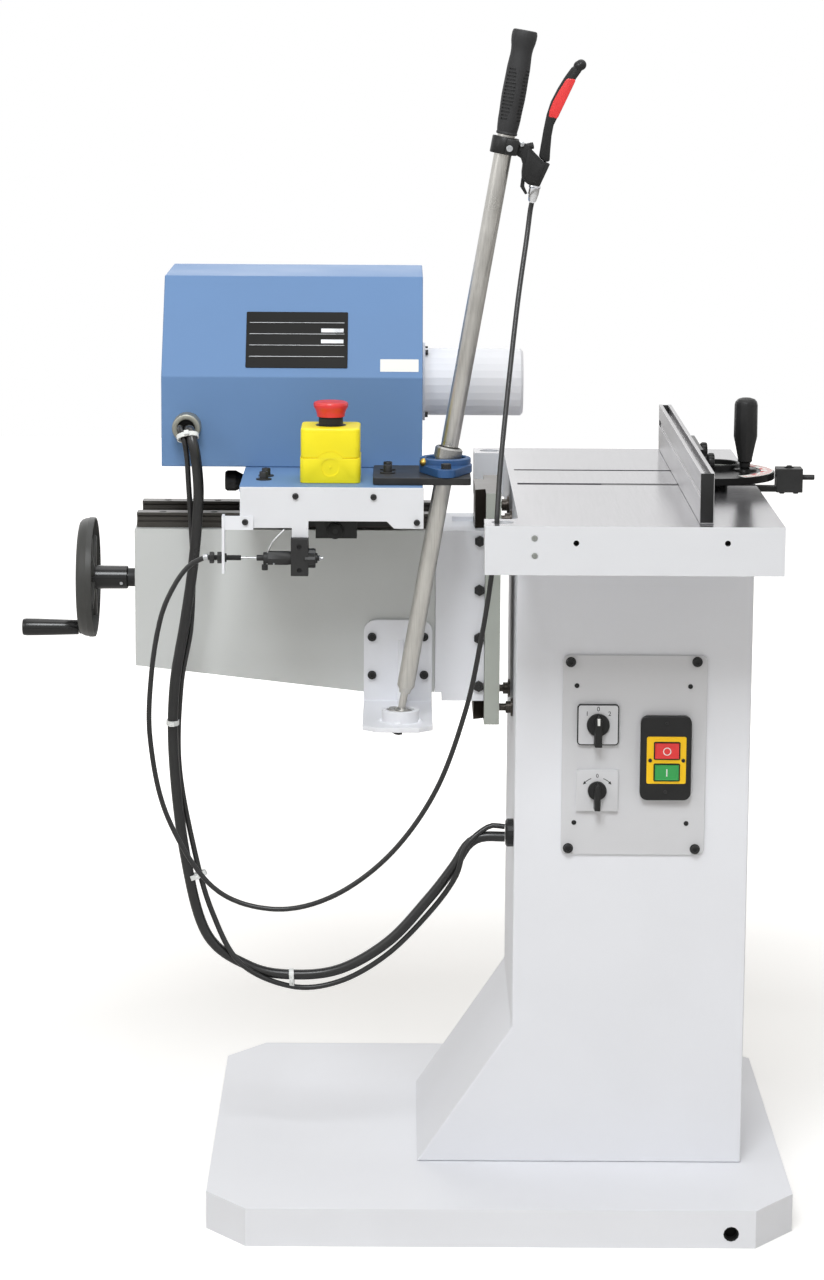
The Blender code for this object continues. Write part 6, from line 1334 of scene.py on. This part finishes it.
def way_end(centre, normal):
    """The painted outer sides of the dovetail way."""
    return abs(normal.y) > 0.9 and abs(centre.y) > WAY_SIDE


second_finish(finished["arm"], BLACK_STEEL, on_bush)
table_piece = second_finish(finished["table"], GROUND_IRON, ground)
second_finish(finished["lift_way"], WAY_PAINT, way_end)
print("ground faces:", sum(face.material_index == 1 for face in table_piece.data.polygons))

# %% [markdown]
# The flange bearing that guides the lever stands up as a round boss with dark bolt heads before
# and behind it, and carries a domed brass grease plug on its rim. Boss and plug are turned.

# %% Bearing boss and grease plug
BEARING_X, BEARING_Y = -0.0680, -0.190
boss_rim = lathe("boss_rim", [(0.0223, 0.8868), (0.0223, 0.8896), (0.0232, 0.8906), (0.0272, 0.8905),
                              (0.0286, 0.8894), (0.0287, 0.8850), (0.0276, 0.8838), (0.0268, 0.8868),
                              (0.0223, 0.8868)], 72)
settle(boss_rim, (BEARING_X, BEARING_Y, 0))
dress(boss_rim, "bearing_boss_rim", BEARING_BLUE, "cross")


def on_bolt(centre, normal):
    """The faces of the two bolt heads that hold the bearing down."""
    return centre.z > 0.8825 and abs(abs(centre.y - BEARING_Y) - 0.0430) < 0.0075


second_finish(finished["bearing_flange"], BLACK_STEEL, on_bolt)
plug = lathe("plug", [(0, -0.0020), (0.0041, -0.0020), (0.0046, -0.0004), (0.0047, 0.0014),
                      (0.0042, 0.0031), (0.0030, 0.0044), (0.0014, 0.0051), (0, 0.0052)], 32)
settle(plug, (BEARING_X - 0.0243, BEARING_Y - 0.0133, 0.8858), (0, math.radians(78), math.radians(-151)))
dress(plug, "bearing_grease_plug", BRASS, "cross")
print("boss rim, mm:", size_mm(boss_rim))

# %% [markdown]
# The table's front edge has two screws in counterbores and two threaded holes. Holes are cut with
# a cylinder, as a drill would, and the threaded holes' walls and floor are painted black as shade.

# %% Screws and holes of the table's edge


def drilled(piece, spots, radius, depth, turn=FACING_FRONT):
    """Blind holes cut in a finished piece with one cutter, copied to each place."""
    begin()
    bpy.ops.mesh.primitive_cylinder_add(vertices=28, radius=radius, depth=2 * depth, location=(0, 0, 0))
    drill = bpy.context.object
    cutter = joined("cutter", copies(drill, spots, turn))
    discard(drill)
    cut_with(piece, cutter)
    hold(piece)
    bpy.ops.object.shade_smooth_by_angle(angle=SMOOTH_UP_TO)
    return level_faces(piece)


SKIRT_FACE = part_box("table")[0][1]
EDGE_HOLES = ((0.0742, 0.8148), (0.2406, 0.8155))
EDGE_SCREWS, COUNTERBORE = ((0.0285, 0.8199), (0.0287, 0.8005)), 0.0018


def edge_hole_painted_shade(centre, normal):
    """The wall and floor of the two threaded holes, painted black as painted shade."""
    return (centre.y > SKIRT_FACE + 0.0003
            and min(math.hypot(centre.x - x, centre.z - 0.8151) for x, _ in EDGE_HOLES) < 0.0038)


drilled(table_piece, [(x, SKIRT_FACE, z) for x, z in EDGE_HOLES], 0.0032, 0.0090)
# Painted shade: the threaded holes' walls and floor are painted black so that they read dark.
second_finish(table_piece, BLACK_PLATE_AND_HOLE_SHADE, edge_hole_painted_shade)
drilled(table_piece, [(x, SKIRT_FACE, z) for x, z in EDGE_SCREWS], 0.0036, COUNTERBORE)
repeated("table_edge_screws", socket_screw(0.0031, 0.0016),
         [(x, SKIRT_FACE + COUNTERBORE, z) for x, z in EDGE_SCREWS], CASTING, "stand", FACING_FRONT)
print("edge holes:", len(EDGE_HOLES), "edge screws:", len(EDGE_SCREWS))

# %% [markdown]
# Lock nuts on set screws press the tapered gib against the dovetail, four bolts hold the lever's
# bracket to the arm, and a black threaded bush lines the plinth's hole as painted shade. The bush's
# thread is turned as a row of rings, because a helix this fine would look the same.

# %% Nuts, bolts and bush
SADDLE_FACE, GIB_SCREW_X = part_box("lift_saddle")[0][1], -0.0256
GIB_HEIGHTS = (0.7759, 0.7177, 0.6604, 0.6029)
BRACKET_FACE = -0.0760
BRACKET_BOLTS = ((-0.1514, 0.6616), (-0.0903, 0.6620), (-0.1512, 0.6161), (-0.0900, 0.6165))

repeated("gib_lock_nuts", hexagon_head(0.0066, 0.0052, stud=0.0030, stud_height=0.0066),
         [(GIB_SCREW_X, SADDLE_FACE, height) for height in GIB_HEIGHTS], BLACK_STEEL, "lift", FACING_FRONT)
repeated("bracket_bolts", socket_screw(0.0042, 0.0040, 0.0052, 0.0008),
         [(x, BRACKET_FACE, z) for x, z in BRACKET_BOLTS], BLACK_STEEL, "lift", FACING_FRONT)
PLINTH_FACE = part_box("base_plinth")[0][1]
# Painted shade: a black liner that darkens the plinth's hole.
well = lathe("well", [(0.0090, 0.0012), (0.0090, 0.0150), (0, 0.0150), (0, 0.0130), (0.0072, 0.0130),
                      (0.0074, 0.0100), (0.0068, 0.0095), (0.0074, 0.0085), (0.0068, 0.0075),
                      (0.0074, 0.0065), (0.0068, 0.0055), (0.0074, 0.0045), (0.0072, 0.0020),
                      (0.0084, 0.0012), (0.0090, 0.0012)], 40)
settle(well, (0.2630, PLINTH_FACE, 0.0170), (math.radians(-90), 0, 0))
dress(well, "plinth_hole_shade_liner", BLACK_PLATE_AND_HOLE_SHADE, "stand")
print("gib nuts:", len(GIB_HEIGHTS), "bracket bolts:", len(BRACKET_BOLTS), "bush, mm:", size_mm(well))

# %% [markdown]
# The lever stands on a ball: a stud goes down through a welded boss on the shelf, and a nut with a
# washer closes it from below. Three weld beads hold the boss. A bead is a ball pressed flat.

# %% Foot of the lever
stud = lathe("foot_stud", [(0, -0.0235), (0.0036, -0.0235), (0.00425, -0.0229), (0.00425, -0.0088),
                           (0.0066, -0.0072), (0.0087, -0.0045), (0.0098, 0), (0.0087, 0.0045),
                           (0.0066, 0.0072), (0.00425, 0.0088), (0.00425, 0.0270), (0, 0.0270)], 36)
washer = lathe("foot_washer", [(0, -0.0165), (0.01025, -0.0165), (0.01025, -0.0142), (0.0098, -0.0140),
                               (0, -0.0140)], 36)
print("ball stud upright, mm:", size_mm(stud))
on_lever(stud, "lever_ball_stud", LEVER_STEEL, "lever")
nut = settle(hexagon_head(0.0066, 0.0052), (0, 0, -0.0222))
on_lever(joined("foot_nut", [washer, nut]), "lever_foot_nut", BLACK_STEEL, "lever")
SHELF_TOP, BOSS_R = 0.5840, 0.0222
beads = []
for degrees in (178, 262, 352):
    angle = math.radians(degrees)
    begin()
    bpy.ops.mesh.primitive_uv_sphere_add(segments=20, ring_count=12, radius=0.0042, location=(0, 0, 0))
    bead = bpy.context.object
    with editing(bead):
        bpy.ops.mesh.select_all(action="SELECT")
        bpy.ops.transform.resize(value=(0.7, 1.25, 0.75))
    beads.append(settle(bead, (LEVER_FOOT[0] + BOSS_R * math.cos(angle),
                               LEVER_FOOT[1] + BOSS_R * math.sin(angle), SHELF_TOP + 0.0010),
                        (0, 0, angle)))
dress(joined("boss_welds", beads), "boss_welds", WHITE_PAINT, "lift")
print("weld beads:", len(beads))

# %% [markdown]
# The handwheel is a moulded plastic rim, hollow on its machine side, with five flat spokes and a
# long hub on the shaft. The rim and hub are turned, and one spoke is cut to its outline and copied
# round. The crank handle is a turned barrel that spins on its own pin.

# %% Handwheel
WHEEL_Z, RIM_RIGHT, PIN_OFFSET = 0.7187, -0.4815, 0.0610
SPOKES = 5
rim = lathe("rim", [(0.0700, 0.0000), (0.0711, 0.0005), (0.0715, 0.0030), (0.0714, 0.0072),
                    (0.0708, 0.0079), (0.0702, 0.0120), (0.0686, 0.0158), (0.0658, 0.0182),
                    (0.0622, 0.0190), (0.0588, 0.0185), (0.0566, 0.0166), (0.0560, 0.0125),
                    (0.0578, 0.0121), (0.0600, 0.0150), (0.0640, 0.0152), (0.0670, 0.0112),
                    (0.0686, 0.0040), (0.0689, 0.0003), (0.0700, 0.0000)], 96)
hub = lathe("hub", [(0, -0.0382), (0.0128, -0.0382), (0.0138, -0.0372), (0.0140, -0.0100), (0.0146, 0.0040),
                    (0.0155, 0.0120), (0.0148, 0.0168), (0.0120, 0.0182), (0, 0.0184)], 48)
spokes = []
for number in range(SPOKES):
    spoke = cut_plate("spoke", [(-0.0058, 0.0120), (0.0058, 0.0120), (0.0042, 0.0595), (-0.0042, 0.0595)],
                      0.0050)
    settle(spoke, (0, 0.0095, 0), (math.radians(90), 0, 0))
    round_edges(spoke, 0.0010, 2)
    spokes.append(settle(spoke, (0, 0, 0), (0, 0, math.radians(36 + 360 / SPOKES * number))))
neck = lathe("pin_neck", [(0.0040, 0.0150), (0.0078, 0.0150), (0.0078, 0.0200), (0.0062, 0.0206),
                          (0.0040, 0.0206)], 32)
settle(neck, (-PIN_OFFSET, 0, 0))
pin = lathe("pin", [(0, 0.0150), (0.0040, 0.0150), (0.0040, 0.0780), (0.0034, 0.0785), (0, 0.0785)], 24)
settle(pin, (-PIN_OFFSET, 0, 0))
wheel = settle(joined("wheel", [rim, hub, *spokes, neck, pin]), (RIM_RIGHT, 0, WHEEL_Z), FACING_LEFT)
dress(wheel, "handwheel_moulded", WHEEL_PLASTIC, "handwheel", "handwheel")


def on_hub(centre, normal):
    """The hub's faces on the machine's side of the spokes."""
    return centre.x > RIM_RIGHT + 0.0020 and math.hypot(centre.y, centre.z - WHEEL_Z) < 0.0150


second_finish(wheel, POLISHED_BLACK, on_hub)
set_screw = socket_screw(0.0020, 0.0008)
settle(set_screw, (-0.4505, -0.0128, WHEEL_Z - 0.0052), (math.radians(112), 0, 0))
dress(set_screw, "handwheel_set_screw", ZINC, "handwheel")
crank = lathe("crank", [(0.0043, 0), (0.0082, 0), (0.0088, 0.0008), (0.0095, 0.0240), (0.0102, 0.0480),
                        (0.0104, 0.0620), (0.0101, 0.0650), (0.0090, 0.0668), (0.0064, 0.0672),
                        (0.0043, 0.0671), (0.0043, 0)], 48)
settle(crank, (-0.5028, 0, WHEEL_Z - PIN_OFFSET), FACING_LEFT)
dress(crank, "crank_handle_turned", POLISHED_BLACK, "crank_handle", "crank_handle")
print("handwheel, mm:", size_mm(wheel), "crank, mm:", size_mm(crank))

# %% [markdown]
# The index plunger is pulled by the brake cable, which ends in a threaded adjuster with two nuts
# on a bent strip. The strip keeps the solid's shape, and a new adjuster takes the place of the
# plain one. Threads are turned as fine rings, because a true helix would look the same here.

# %% Cable adjuster of the index plunger
PLUNGER_Y, PLUNGER_Z = -0.2620, 0.7850
ROD_LENGTH = 0.0370


def threaded_rod(name, radius, pitch, length):
    """A rod along Z whose thread is a row of fine rings."""
    profile = [(0, 0), (radius * 0.86, 0)]
    for turn in range(int(length / pitch)):
        profile += [(radius, pitch * (turn + 0.35)), (radius, pitch * (turn + 0.55)),
                    (radius * 0.86, pitch * (turn + 0.95))]
    return lathe(name, [*profile, (0, profile[-1][1])], 24)


def off_axis(centre):
    """How far a place lies from the plunger's axis."""
    return math.hypot(centre.y - PLUNGER_Y, centre.z - PLUNGER_Z)


def solid_adjuster(centre, normal):
    """The solid's plain adjuster, which a threaded one stands for here."""
    return off_axis(centre) < 0.0078 and not -0.3182 < centre.x < -0.3148


strip = softened("cable_bracket", 0.0003, WHITE_PAINT, "cross", segments=2)
with editing(strip):
    pick_faces(strip, solid_adjuster)
    bpy.ops.mesh.delete(type="FACE")
rod = settle(threaded_rod("adjuster_rod", 0.0031, 0.0010, ROD_LENGTH), (-0.3338, PLUNGER_Y, PLUNGER_Z),
             FACING_RIGHT)
hex_nut = settle(hexagon_head(0.0066, 0.0052), (0, 0, 0), (0, 0, math.radians(30)))
nuts = copies(hex_nut, [(-0.3320, PLUNGER_Y, PLUNGER_Z), (-0.3233, PLUNGER_Y, PLUNGER_Z)], FACING_RIGHT)
discard(hex_nut)
lock_ring = lathe("lock_ring", [(0, 0), (0.0050, 0), (0.0050, 0.0018), (0.0046, 0.0022), (0, 0.0022)], 28)
settle(lock_ring, (-0.3152, PLUNGER_Y, PLUNGER_Z), FACING_RIGHT)
dress(joined("adjuster", [rod, *nuts, lock_ring]), "cable_adjuster", BLACK_STEEL, "cross")
ferrule = lathe("ferrule", [(0, 0), (0.0033, 0), (0.0036, 0.0006), (0.0036, 0.0050), (0.0026, 0.0062),
                            (0, 0.0062)], 28)
settle(ferrule, (-0.3392, PLUNGER_Y, PLUNGER_Z), (0, math.radians(78), 0))
dress(ferrule, "cable_ferrule", ZINC, "cross")
print("adjuster, mm:", round(ROD_LENGTH * 1000), "strip, mm:", size_mm(strip))

# %% [markdown]
# The moving part is one turned string of pieces: the bright inner wire, the black clamp that
# grips it, and the pin. The wire's loose end curls up out of the clamp, as it does once the wire
# has been pulled tight, so it is a sheath along a short curve.

# %% Plunger pin, clamp and loose wire
CLAMP_SCREW_X = -0.2703

pull = [lathe("wire", [(0, 0.0092), (0.0008, 0.0092), (0.0008, 0.0300), (0, 0.0300)], 12),
        lathe("clamp", [(0, 0.0285), (0.0028, 0.0285), (0.0033, 0.0290), (0.0033, 0.0400), (0.0030, 0.0405),
                        (0.0030, 0.0990), (0.0026, 0.1000), (0.0014, 0.1003), (0.0013, 0.1028),
                        (0.0006, 0.1034), (0, 0.1034)], 28)]
plunger = settle(joined("plunger", pull), (-0.3080, PLUNGER_Y, PLUNGER_Z), FACING_RIGHT)
dress(plunger, "plunger_pin_turned", ZINC, "index_plunger", "index_plunger")


def on_clamp(centre, normal):
    """The faces of the clamp and the pin's shaft, but not those of the wire."""
    return -0.2800 < centre.x < -0.2100 and off_axis(centre) > 0.0012


second_finish(plunger, BLACK_STEEL, on_clamp)
hanging = settle(socket_screw(0.0035, 0.0062), (CLAMP_SCREW_X, PLUNGER_Y, PLUNGER_Z - 0.0076), FACING_DOWN)
shank = lathe("shank", [(0, -0.0080), (0.0017, -0.0080), (0.0017, -0.0025), (0, -0.0025)], 20)
settle(shank, (CLAMP_SCREW_X, PLUNGER_Y, PLUNGER_Z))
dress(joined("clamp_screw", [hanging, shank]), "plunger_clamp_screw", BLACK_STEEL, "index_plunger")
loose_route = [(-0.2680, -0.2625, 0.7872), (-0.2660, -0.2640, 0.7945), (-0.2622, -0.2660, 0.8025),
               (-0.2570, -0.2675, 0.8090), (-0.2480, -0.2682, 0.8180)]
loose_points, loose_length = smooth_run(loose_route, 0, 4, 0.003)
dress(sheath("loose_wire", loose_points, 0.0010), "loose_wire_end", CHROME, "index_plunger")
print("plunger, mm:", size_mm(plunger), "loose wire, mm:", round(loose_length * 1000))

# %% [markdown]
# The barrel that guides the pin is two hexagons and a collar on one axis. The block that it is
# screwed into has two blind holes in its face, and a rubber bumper beside it stops the slide.

# %% Plunger barrel, block and bumper
barrel_hex = hexagon_head(0.0084, 0.0268)
settle(barrel_hex, (-0.2668, PLUNGER_Y, PLUNGER_Z), FACING_RIGHT)
end_nut = settle(hexagon_head(0.0112, 0.0078), (0, 0, 0), (0, 0, math.radians(30)))
settle(end_nut, (-0.2216, PLUNGER_Y, PLUNGER_Z), FACING_RIGHT)
collar = lathe("collar", [(0.0032, 0), (0.0058, 0), (0.0058, 0.0020), (0.0052, 0.0026), (0.0032, 0.0026),
                          (0.0032, 0)], 28)
settle(collar, (-0.2139, PLUNGER_Y, PLUNGER_Z), FACING_RIGHT)
dress(joined("barrel_hex", [barrel_hex, end_nut, collar]), "plunger_barrel", BLACK_STEEL, "cross")
guide_pin = lathe("guide_pin", [(0, 0), (0.0011, 0), (0.0009, 0.0014), (0, 0.0016)], 16)
settle(guide_pin, (-0.2600, PLUNGER_Y - 0.0052, PLUNGER_Z - 0.0056), (math.radians(130), 0, 0))
dress(guide_pin, "barrel_guide_pin", ZINC, "cross")
BLOCK_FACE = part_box("plunger_block")[0][1]
BLOCK_HOLES = ((-0.2316, 0.7989), (-0.2314, 0.7723))
drilled(finished["plunger_block"], [(x, BLOCK_FACE, z) for x, z in BLOCK_HOLES], 0.0028, 0.0045)
bumper = lathe("bumper", [(0, 0.0040), (0.0028, 0.0040), (0.0030, 0.0062), (0.0078, 0.0064),
                          (0.0090, 0.0056), (0.0092, 0.0040), (0.0092, 0), (0, 0)][::-1], 40)
settle(bumper, (-0.1940, -0.1300, 0.7960), FACING_FRONT)
dress(bumper, "stop_bumper", BLACK_PLASTIC, "plunge")
print("bumper, mm:", size_mm(bumper))

# %% [markdown]
# Each profiled rail is bolted down through counterbored holes, closed with black caps. The
# carriages have rubber wipers at both ends that sweep the rail. A wiper takes its size from its
# carriage and its gap from the rail's box, so both still fit if a solid changes.

# %% Rail caps and wipers
RAIL_TOP, RAIL_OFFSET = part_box("rail_front")[1][2], 0.0475
WIPER_MARGIN, WIPER_HALF, RAIL_GAP = 0.0012, 0.0014, 0.0005
cap = lathe("cap", [(0, -0.0010), (0.0042, -0.0010), (0.0042, 0.0002), (0.0039, 0.0004), (0, 0.0003)], 28)
cap_spots = [(x, side * RAIL_OFFSET, RAIL_TOP) for side in (-1, 1)
             for x in (-0.3980, -0.3380, -0.2780, -0.2180, -0.1580, -0.0980)]
repeated("rail_caps", cap, cap_spots, BLACK_PLASTIC, "lift")


def wipers(name, carriages, rails, axis, body):
    """Rubber end wipers of a pair of carriages, each cut away where the rail runs through."""
    made = []
    for carriage, rail in zip(carriages, rails):
        low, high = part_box(carriage)
        rail_low, rail_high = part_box(rail)
        for end in (low[axis], high[axis]):
            near = [low[side] + WIPER_MARGIN for side in range(3)]
            far = [high[side] - WIPER_MARGIN for side in range(3)]
            near[axis], far[axis] = end - WIPER_HALF, end + WIPER_HALF
            wiper = slab("wiper", near, far, 0.0004, 1)
            gap_low = [rail_low[side] - RAIL_GAP for side in range(3)]
            gap_high = [rail_high[side] + RAIL_GAP for side in range(3)]
            gap_low[2] = min(gap_low[2], near[2] - 0.001)
            made.append(cut_with(wiper, slab("gap", gap_low, gap_high)))
    return dress(joined(name, made), name, BLACK_PLASTIC, body)


wipers("carriage_wipers", ("carriage_front", "carriage_rear"), ("rail_front", "rail_rear"), 0, "plunge")
wipers("cross_carriage_wipers", ("cross_carriage_left", "cross_carriage_right"),
       ("cross_rail_left", "cross_rail_right"), 1, "cross")
print("rail caps:", len(cap_spots))

# %% [markdown]
# The motor lead and the stop lead leave the housing through one metal ring with a black seal
# inside. Both are turned, and they take the place of the solid's plain gland.

# %% Cable entry
gland_ring = lathe("gland_ring", [(0.0098, 0), (0.0098, 0.0218), (0.0106, 0.0230), (0.0140, 0.0236),
                                  (0.0158, 0.0228), (0.0164, 0.0210), (0.0165, 0), (0.0098, 0)], 56)
gland_floor = lathe("gland_floor", [(0, 0.0110), (0.0098, 0.0110), (0.0098, 0.0100), (0, 0.0100)][::-1], 40)
GLAND_PLACE = (-0.3660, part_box("housing_gland")[1][1], 0.9125)
settle(gland_ring, GLAND_PLACE, FACING_FRONT)
settle(gland_floor, GLAND_PLACE, FACING_FRONT)
dress(gland_ring, "cable_entry_ring", GLAND_METAL, "cross", "housing_gland")
dress(gland_floor, "cable_entry_seal", BLACK_PLASTIC, "cross")
print("entry ring, mm:", size_mm(gland_ring))

# %% [markdown]
# Nylon ties hold the leads together on their way down. A tie is a thin band round the bundle with
# a square head. The band is turned as a circle, drawn out to an oval in edit mode and thickened.
# A tie on a stretch that crosses a joint keeps its place in its mesh and rides on no body.

# %% Ties


def cable_tie(name, centre, direction, half_across, half_deep, body=None, bend=None, pitch=0):
    """A nylon tie round a bundle that runs along a direction in the X and Z plane, tipped by a pitch.

    It rides on one body, or, when a bend is given, keeps its place in its mesh and rides on none."""
    band = lathe(name, [(1.0, -0.0021), (1.0, 0.0021), (1.0009, 0.0021), (1.0009, -0.0021),
                        (1.0, -0.0021)], 40)
    with editing(band):
        bpy.ops.mesh.select_all(action="SELECT")
        bpy.ops.transform.resize(value=(half_across, half_deep, 1), center_override=(0, 0, 0))
    solid = band.modifiers.new("band", "SOLIDIFY")
    solid.thickness = 0.0010
    solid.offset = 1
    hold(band)
    bpy.ops.object.modifier_apply(modifier=solid.name)
    head = slab("head", (-0.0030, -half_deep - 0.0042, -0.0027), (0.0030, -half_deep - 0.0002, 0.0027),
                0.0007)
    lean = math.atan2(direction[0], direction[1])
    tie = settle(joined(name, [band, head]), centre, (math.radians(pitch), lean, 0))
    dress(tie, name, NYLON, body)
    if bend:
        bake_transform(tie)
    return tie


LOW_BEND = ("lift", "plunge", POWER_ROUTE[12], POWER_ROUTE[6])
ties = [
    cable_tie("tie_at_entry", (-0.3625, -0.1500, 0.9065), (-0.16, 1.0), 0.0120, 0.0074, "cross", pitch=-38),
    cable_tie("tie_upper", (-0.3830, -0.1255, 0.5685), (0.0, 1.0), 0.0068, 0.0112, None, LOW_BEND),
    cable_tie("tie_middle", (-0.3550, -0.1300, 0.3860), (-0.42, 1.0), 0.0112, 0.0070, None, LOW_BEND),
    cable_tie("tie_lowest", (-0.2440, -0.1300, 0.2615), (1.0, 0.04), 0.0112, 0.0070, "lift"),
]
print("ties:", len(ties))

# %% [markdown]
# The mitre gauge is a black casting with a white scale band and red marks. The scale is an arc cut
# from a thin sheet that stands a hair above the disc, so it can't shimmer on it, and the marks
# are arcs of the same kind, longer at every third.

# %% Scale of the mitre gauge
GAUGE_X, GAUGE_Y = 0.2500, 0.0030
DISC_FACE = 0.8510
RING_CENTRE, HANDLE_X = (0.2580, 0.0300), 0.2900


def flat_arc(name, inner, outer, start, end, steps, thickness):
    """A thin arc that lies flat: its outline is cut upright in X and Z, then laid down."""
    angles = [math.radians(start + (end - start) * step / steps) for step in range(steps + 1)]
    outline = [(outer * math.cos(a), outer * math.sin(a)) for a in angles]
    outline += [(inner * math.cos(a), inner * math.sin(a)) for a in angles[::-1]]
    return settle(cut_plate(name, outline, thickness), (GAUGE_X, GAUGE_Y, DISC_FACE),
                  (math.radians(90), 0, 0))


softened("gauge_head", 0.0009, GAUGE_ENAMEL, "gauge_head")
scale = flat_arc("scale", 0.0590, 0.0735, -66, 62, 48, 0.0004)
dress(settle(scale, (0, 0, 0.0003)), "gauge_scale", LABEL_WHITE, "gauge_head")
marks = []
for number in range(-12, 13):
    degrees = -2 + 5 * number
    long_mark = number % 3 == 0
    inner = 0.0628 if long_mark else 0.0665
    marks.append(settle(flat_arc("mark", inner, 0.0720, degrees, degrees + 1.2, 1, 0.0003), (0, 0, 0.0005)))
dress(joined("scale_marks", marks), "gauge_scale_marks", SCALE_RED, "gauge_head")
fields = [settle(flat_arc("field", 0.0592, 0.0632, start, start + 10, 6, 0.0003), (0, 0, 0.0005))
          for start in (-62, -38, -14, 10, 34)]
dress(joined("scale_fields", fields), "gauge_scale_fields", SCALE_RED, "gauge_head")
print("scale marks:", len(marks), "fields:", len(fields))

# %% [markdown]
# The head's casting has a raised ring round a machined face, and a small shoulder under the clamp
# handle. Rings are turned, so each is one profile spun round its own axis.

# %% Raised rings of the gauge
raised = lathe("raised", [(0.0258, 0), (0.0258, 0.0052), (0.0266, 0.0062), (0.0284, 0.0064),
                          (0.0300, 0.0052), (0.0310, 0), (0.0258, 0)], 56)
settle(raised, (*RING_CENTRE, DISC_FACE - 0.0002))
shoulder = lathe("shoulder", [(0.0066, 0), (0.0066, 0.0030), (0.0120, 0.0030), (0.0138, 0.0022),
                              (0.0146, 0), (0.0066, 0)], 48)
settle(shoulder, (HANDLE_X, GAUGE_Y, DISC_FACE - 0.0002))
dress(joined("gauge_ribs", [raised, shoulder]), "gauge_raised_rings", GAUGE_ENAMEL, "gauge_head")
window = lathe("window", [(0, 0), (0.0259, 0), (0.0259, 0.0005), (0, 0.0005)], 48)
settle(window, (*RING_CENTRE, DISC_FACE - 0.0001))
dress(window, "gauge_machined_face", CASTING, "gauge_head")
print("raised ring, mm:", size_mm(raised))

# %% [markdown]
# The clamp handle is a fluted black grip on a turned foot. It is spun with only twelve sides, so
# its flats become the flutes. The bar's plain stop gives way to screws and a rod's end.

# %% Gauge handle and bar
handle = lathe("handle", [(0.0052, 0.8548), (0.0064, 0.8548), (0.0066, 0.8600), (0.0074, 0.8612),
                          (0.0088, 0.8620), (0.0086, 0.8650), (0.0141, 0.8920), (0.0139, 0.9290),
                          (0.0130, 0.9330), (0.0100, 0.9362), (0.0055, 0.9376), (0, 0.9380)], 12)
round_edges(handle, 0.0014, 3, 24)
settle(handle, (HANDLE_X, GAUGE_Y, 0))
dress(handle, "gauge_handle_fluted", BLACK_PLASTIC, "gauge_handle", "gauge_handle")

STOP_SCREW_FOOT = 0.8549


def solid_stop_screw(centre, normal):
    """The solid's plain stop screw, which a socketed one stands for here."""
    return centre.z > STOP_SCREW_FOOT


bar_piece = softened("gauge_bar", 0.0005, BLACK_STEEL, "gauge_bar", segments=2)
with editing(bar_piece):
    pick_faces(bar_piece, solid_stop_screw)
    bpy.ops.mesh.delete(type="FACE")
top_screw = settle(socket_screw(0.0034, 0.0032), (0.3428, GAUGE_Y, 0.8540))
foot_screw = socket_screw(0.0032, 0.0026)
foot_screws = copies(foot_screw, [(0.3348, GAUGE_Y, 0.8262), (0.3512, GAUGE_Y, 0.8262)], FACING_DOWN)
discard(foot_screw)
dress(joined("block_screws", [top_screw, *foot_screws]), "stop_block_screws", BLACK_STEEL, "gauge_bar")
rod = settle(lathe("rod", [(0, 0), (0.0030, 0), (0.0032, 0.0004), (0.0032, 0.0145), (0.0028, 0.0150),
                           (0, 0.0150)], 28),
             (0.3578, GAUGE_Y, 0.8432), FACING_RIGHT)
dress(rod, "stop_rod_end", BLACK_STEEL, "gauge_bar")
print("handle, mm:", size_mm(handle))

# %% [markdown]
# The fence is an aluminium extrusion. Its end caps are black plugs inside the thin rim of the
# profile, and one fine groove runs along its face. The groove is cut with a block longer than
# the fence, so that it opens at both ends.

# %% Fence and its caps
FENCE_LOW, FENCE_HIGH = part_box("fence")
fence_piece = softened("fence", 0.0004, ALUMINIUM, "fence", segments=2)
groove = slab("groove", (FENCE_LOW[0] - 0.002, FENCE_LOW[1] - 0.01, FENCE_LOW[2] + 0.0300),
              (FENCE_LOW[0] + 0.0005, FENCE_HIGH[1] + 0.01, FENCE_LOW[2] + 0.0307))
level_faces(cut_with(fence_piece, groove))
caps = []
for low, high in ((FENCE_LOW[1] - 0.0006, FENCE_LOW[1] + 0.0020),
                  (FENCE_HIGH[1] - 0.0020, FENCE_HIGH[1] + 0.0004)):
    caps.append(slab("end_cap", (FENCE_LOW[0] + 0.0004, low, FENCE_LOW[2] + 0.0010),
                     (FENCE_HIGH[0] - 0.0007, high, FENCE_HIGH[2] - 0.0006), 0.0004))
dress(joined("fence_end_caps", caps), "fence_end_caps", BLACK_PLASTIC, "fence")
print("fence, mm:", size_mm(fence_piece), "caps:", len(caps))

# %% [markdown]
# Two knurled knobs clamp the fence to its carrier. A knob is turned, and then every other stretch
# of its rim is inset and drawn in, which leaves the lobes that fingers grip.

# %% Fence knobs


def on_grip(centre, normal):
    """Every other stretch of a knob's rim."""
    around = math.degrees(math.atan2(centre.y, centre.x))
    return math.hypot(centre.x, centre.y) > 0.0096 and int(around // 15) % 2 == 0


def knurled_knob(node):
    """A clamp knob: turned, then every other stretch of its rim is drawn in to make the grips."""
    low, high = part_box(node)
    knob = lathe("knob", [(0.0032, 0), (0.0058, 0), (0.0058, 0.0045), (0.0086, 0.0058), (0.0098, 0.0072),
                          (0.0100, 0.0090), (0.0100, 0.0118), (0.0094, 0.0134), (0.0080, 0.0140),
                          (0.0032, 0.0140), (0.0032, 0)], 48)
    with editing(knob):
        pick_faces(knob, on_grip)
        bpy.ops.mesh.inset(thickness=0.0002, use_even_offset=True)
        bpy.ops.transform.shrink_fatten(value=-0.0007)
    settle(knob, (low[0], (low[1] + high[1]) / 2, (low[2] + high[2]) / 2), FACING_RIGHT)
    return dress(knob, node + "_moulded", BLACK_PLASTIC, node, node)


knobs = [knurled_knob(node) for node in ("fence_knob_near", "fence_knob_far")]
print("fence knobs, mm:", [size_mm(knob) for knob in knobs])
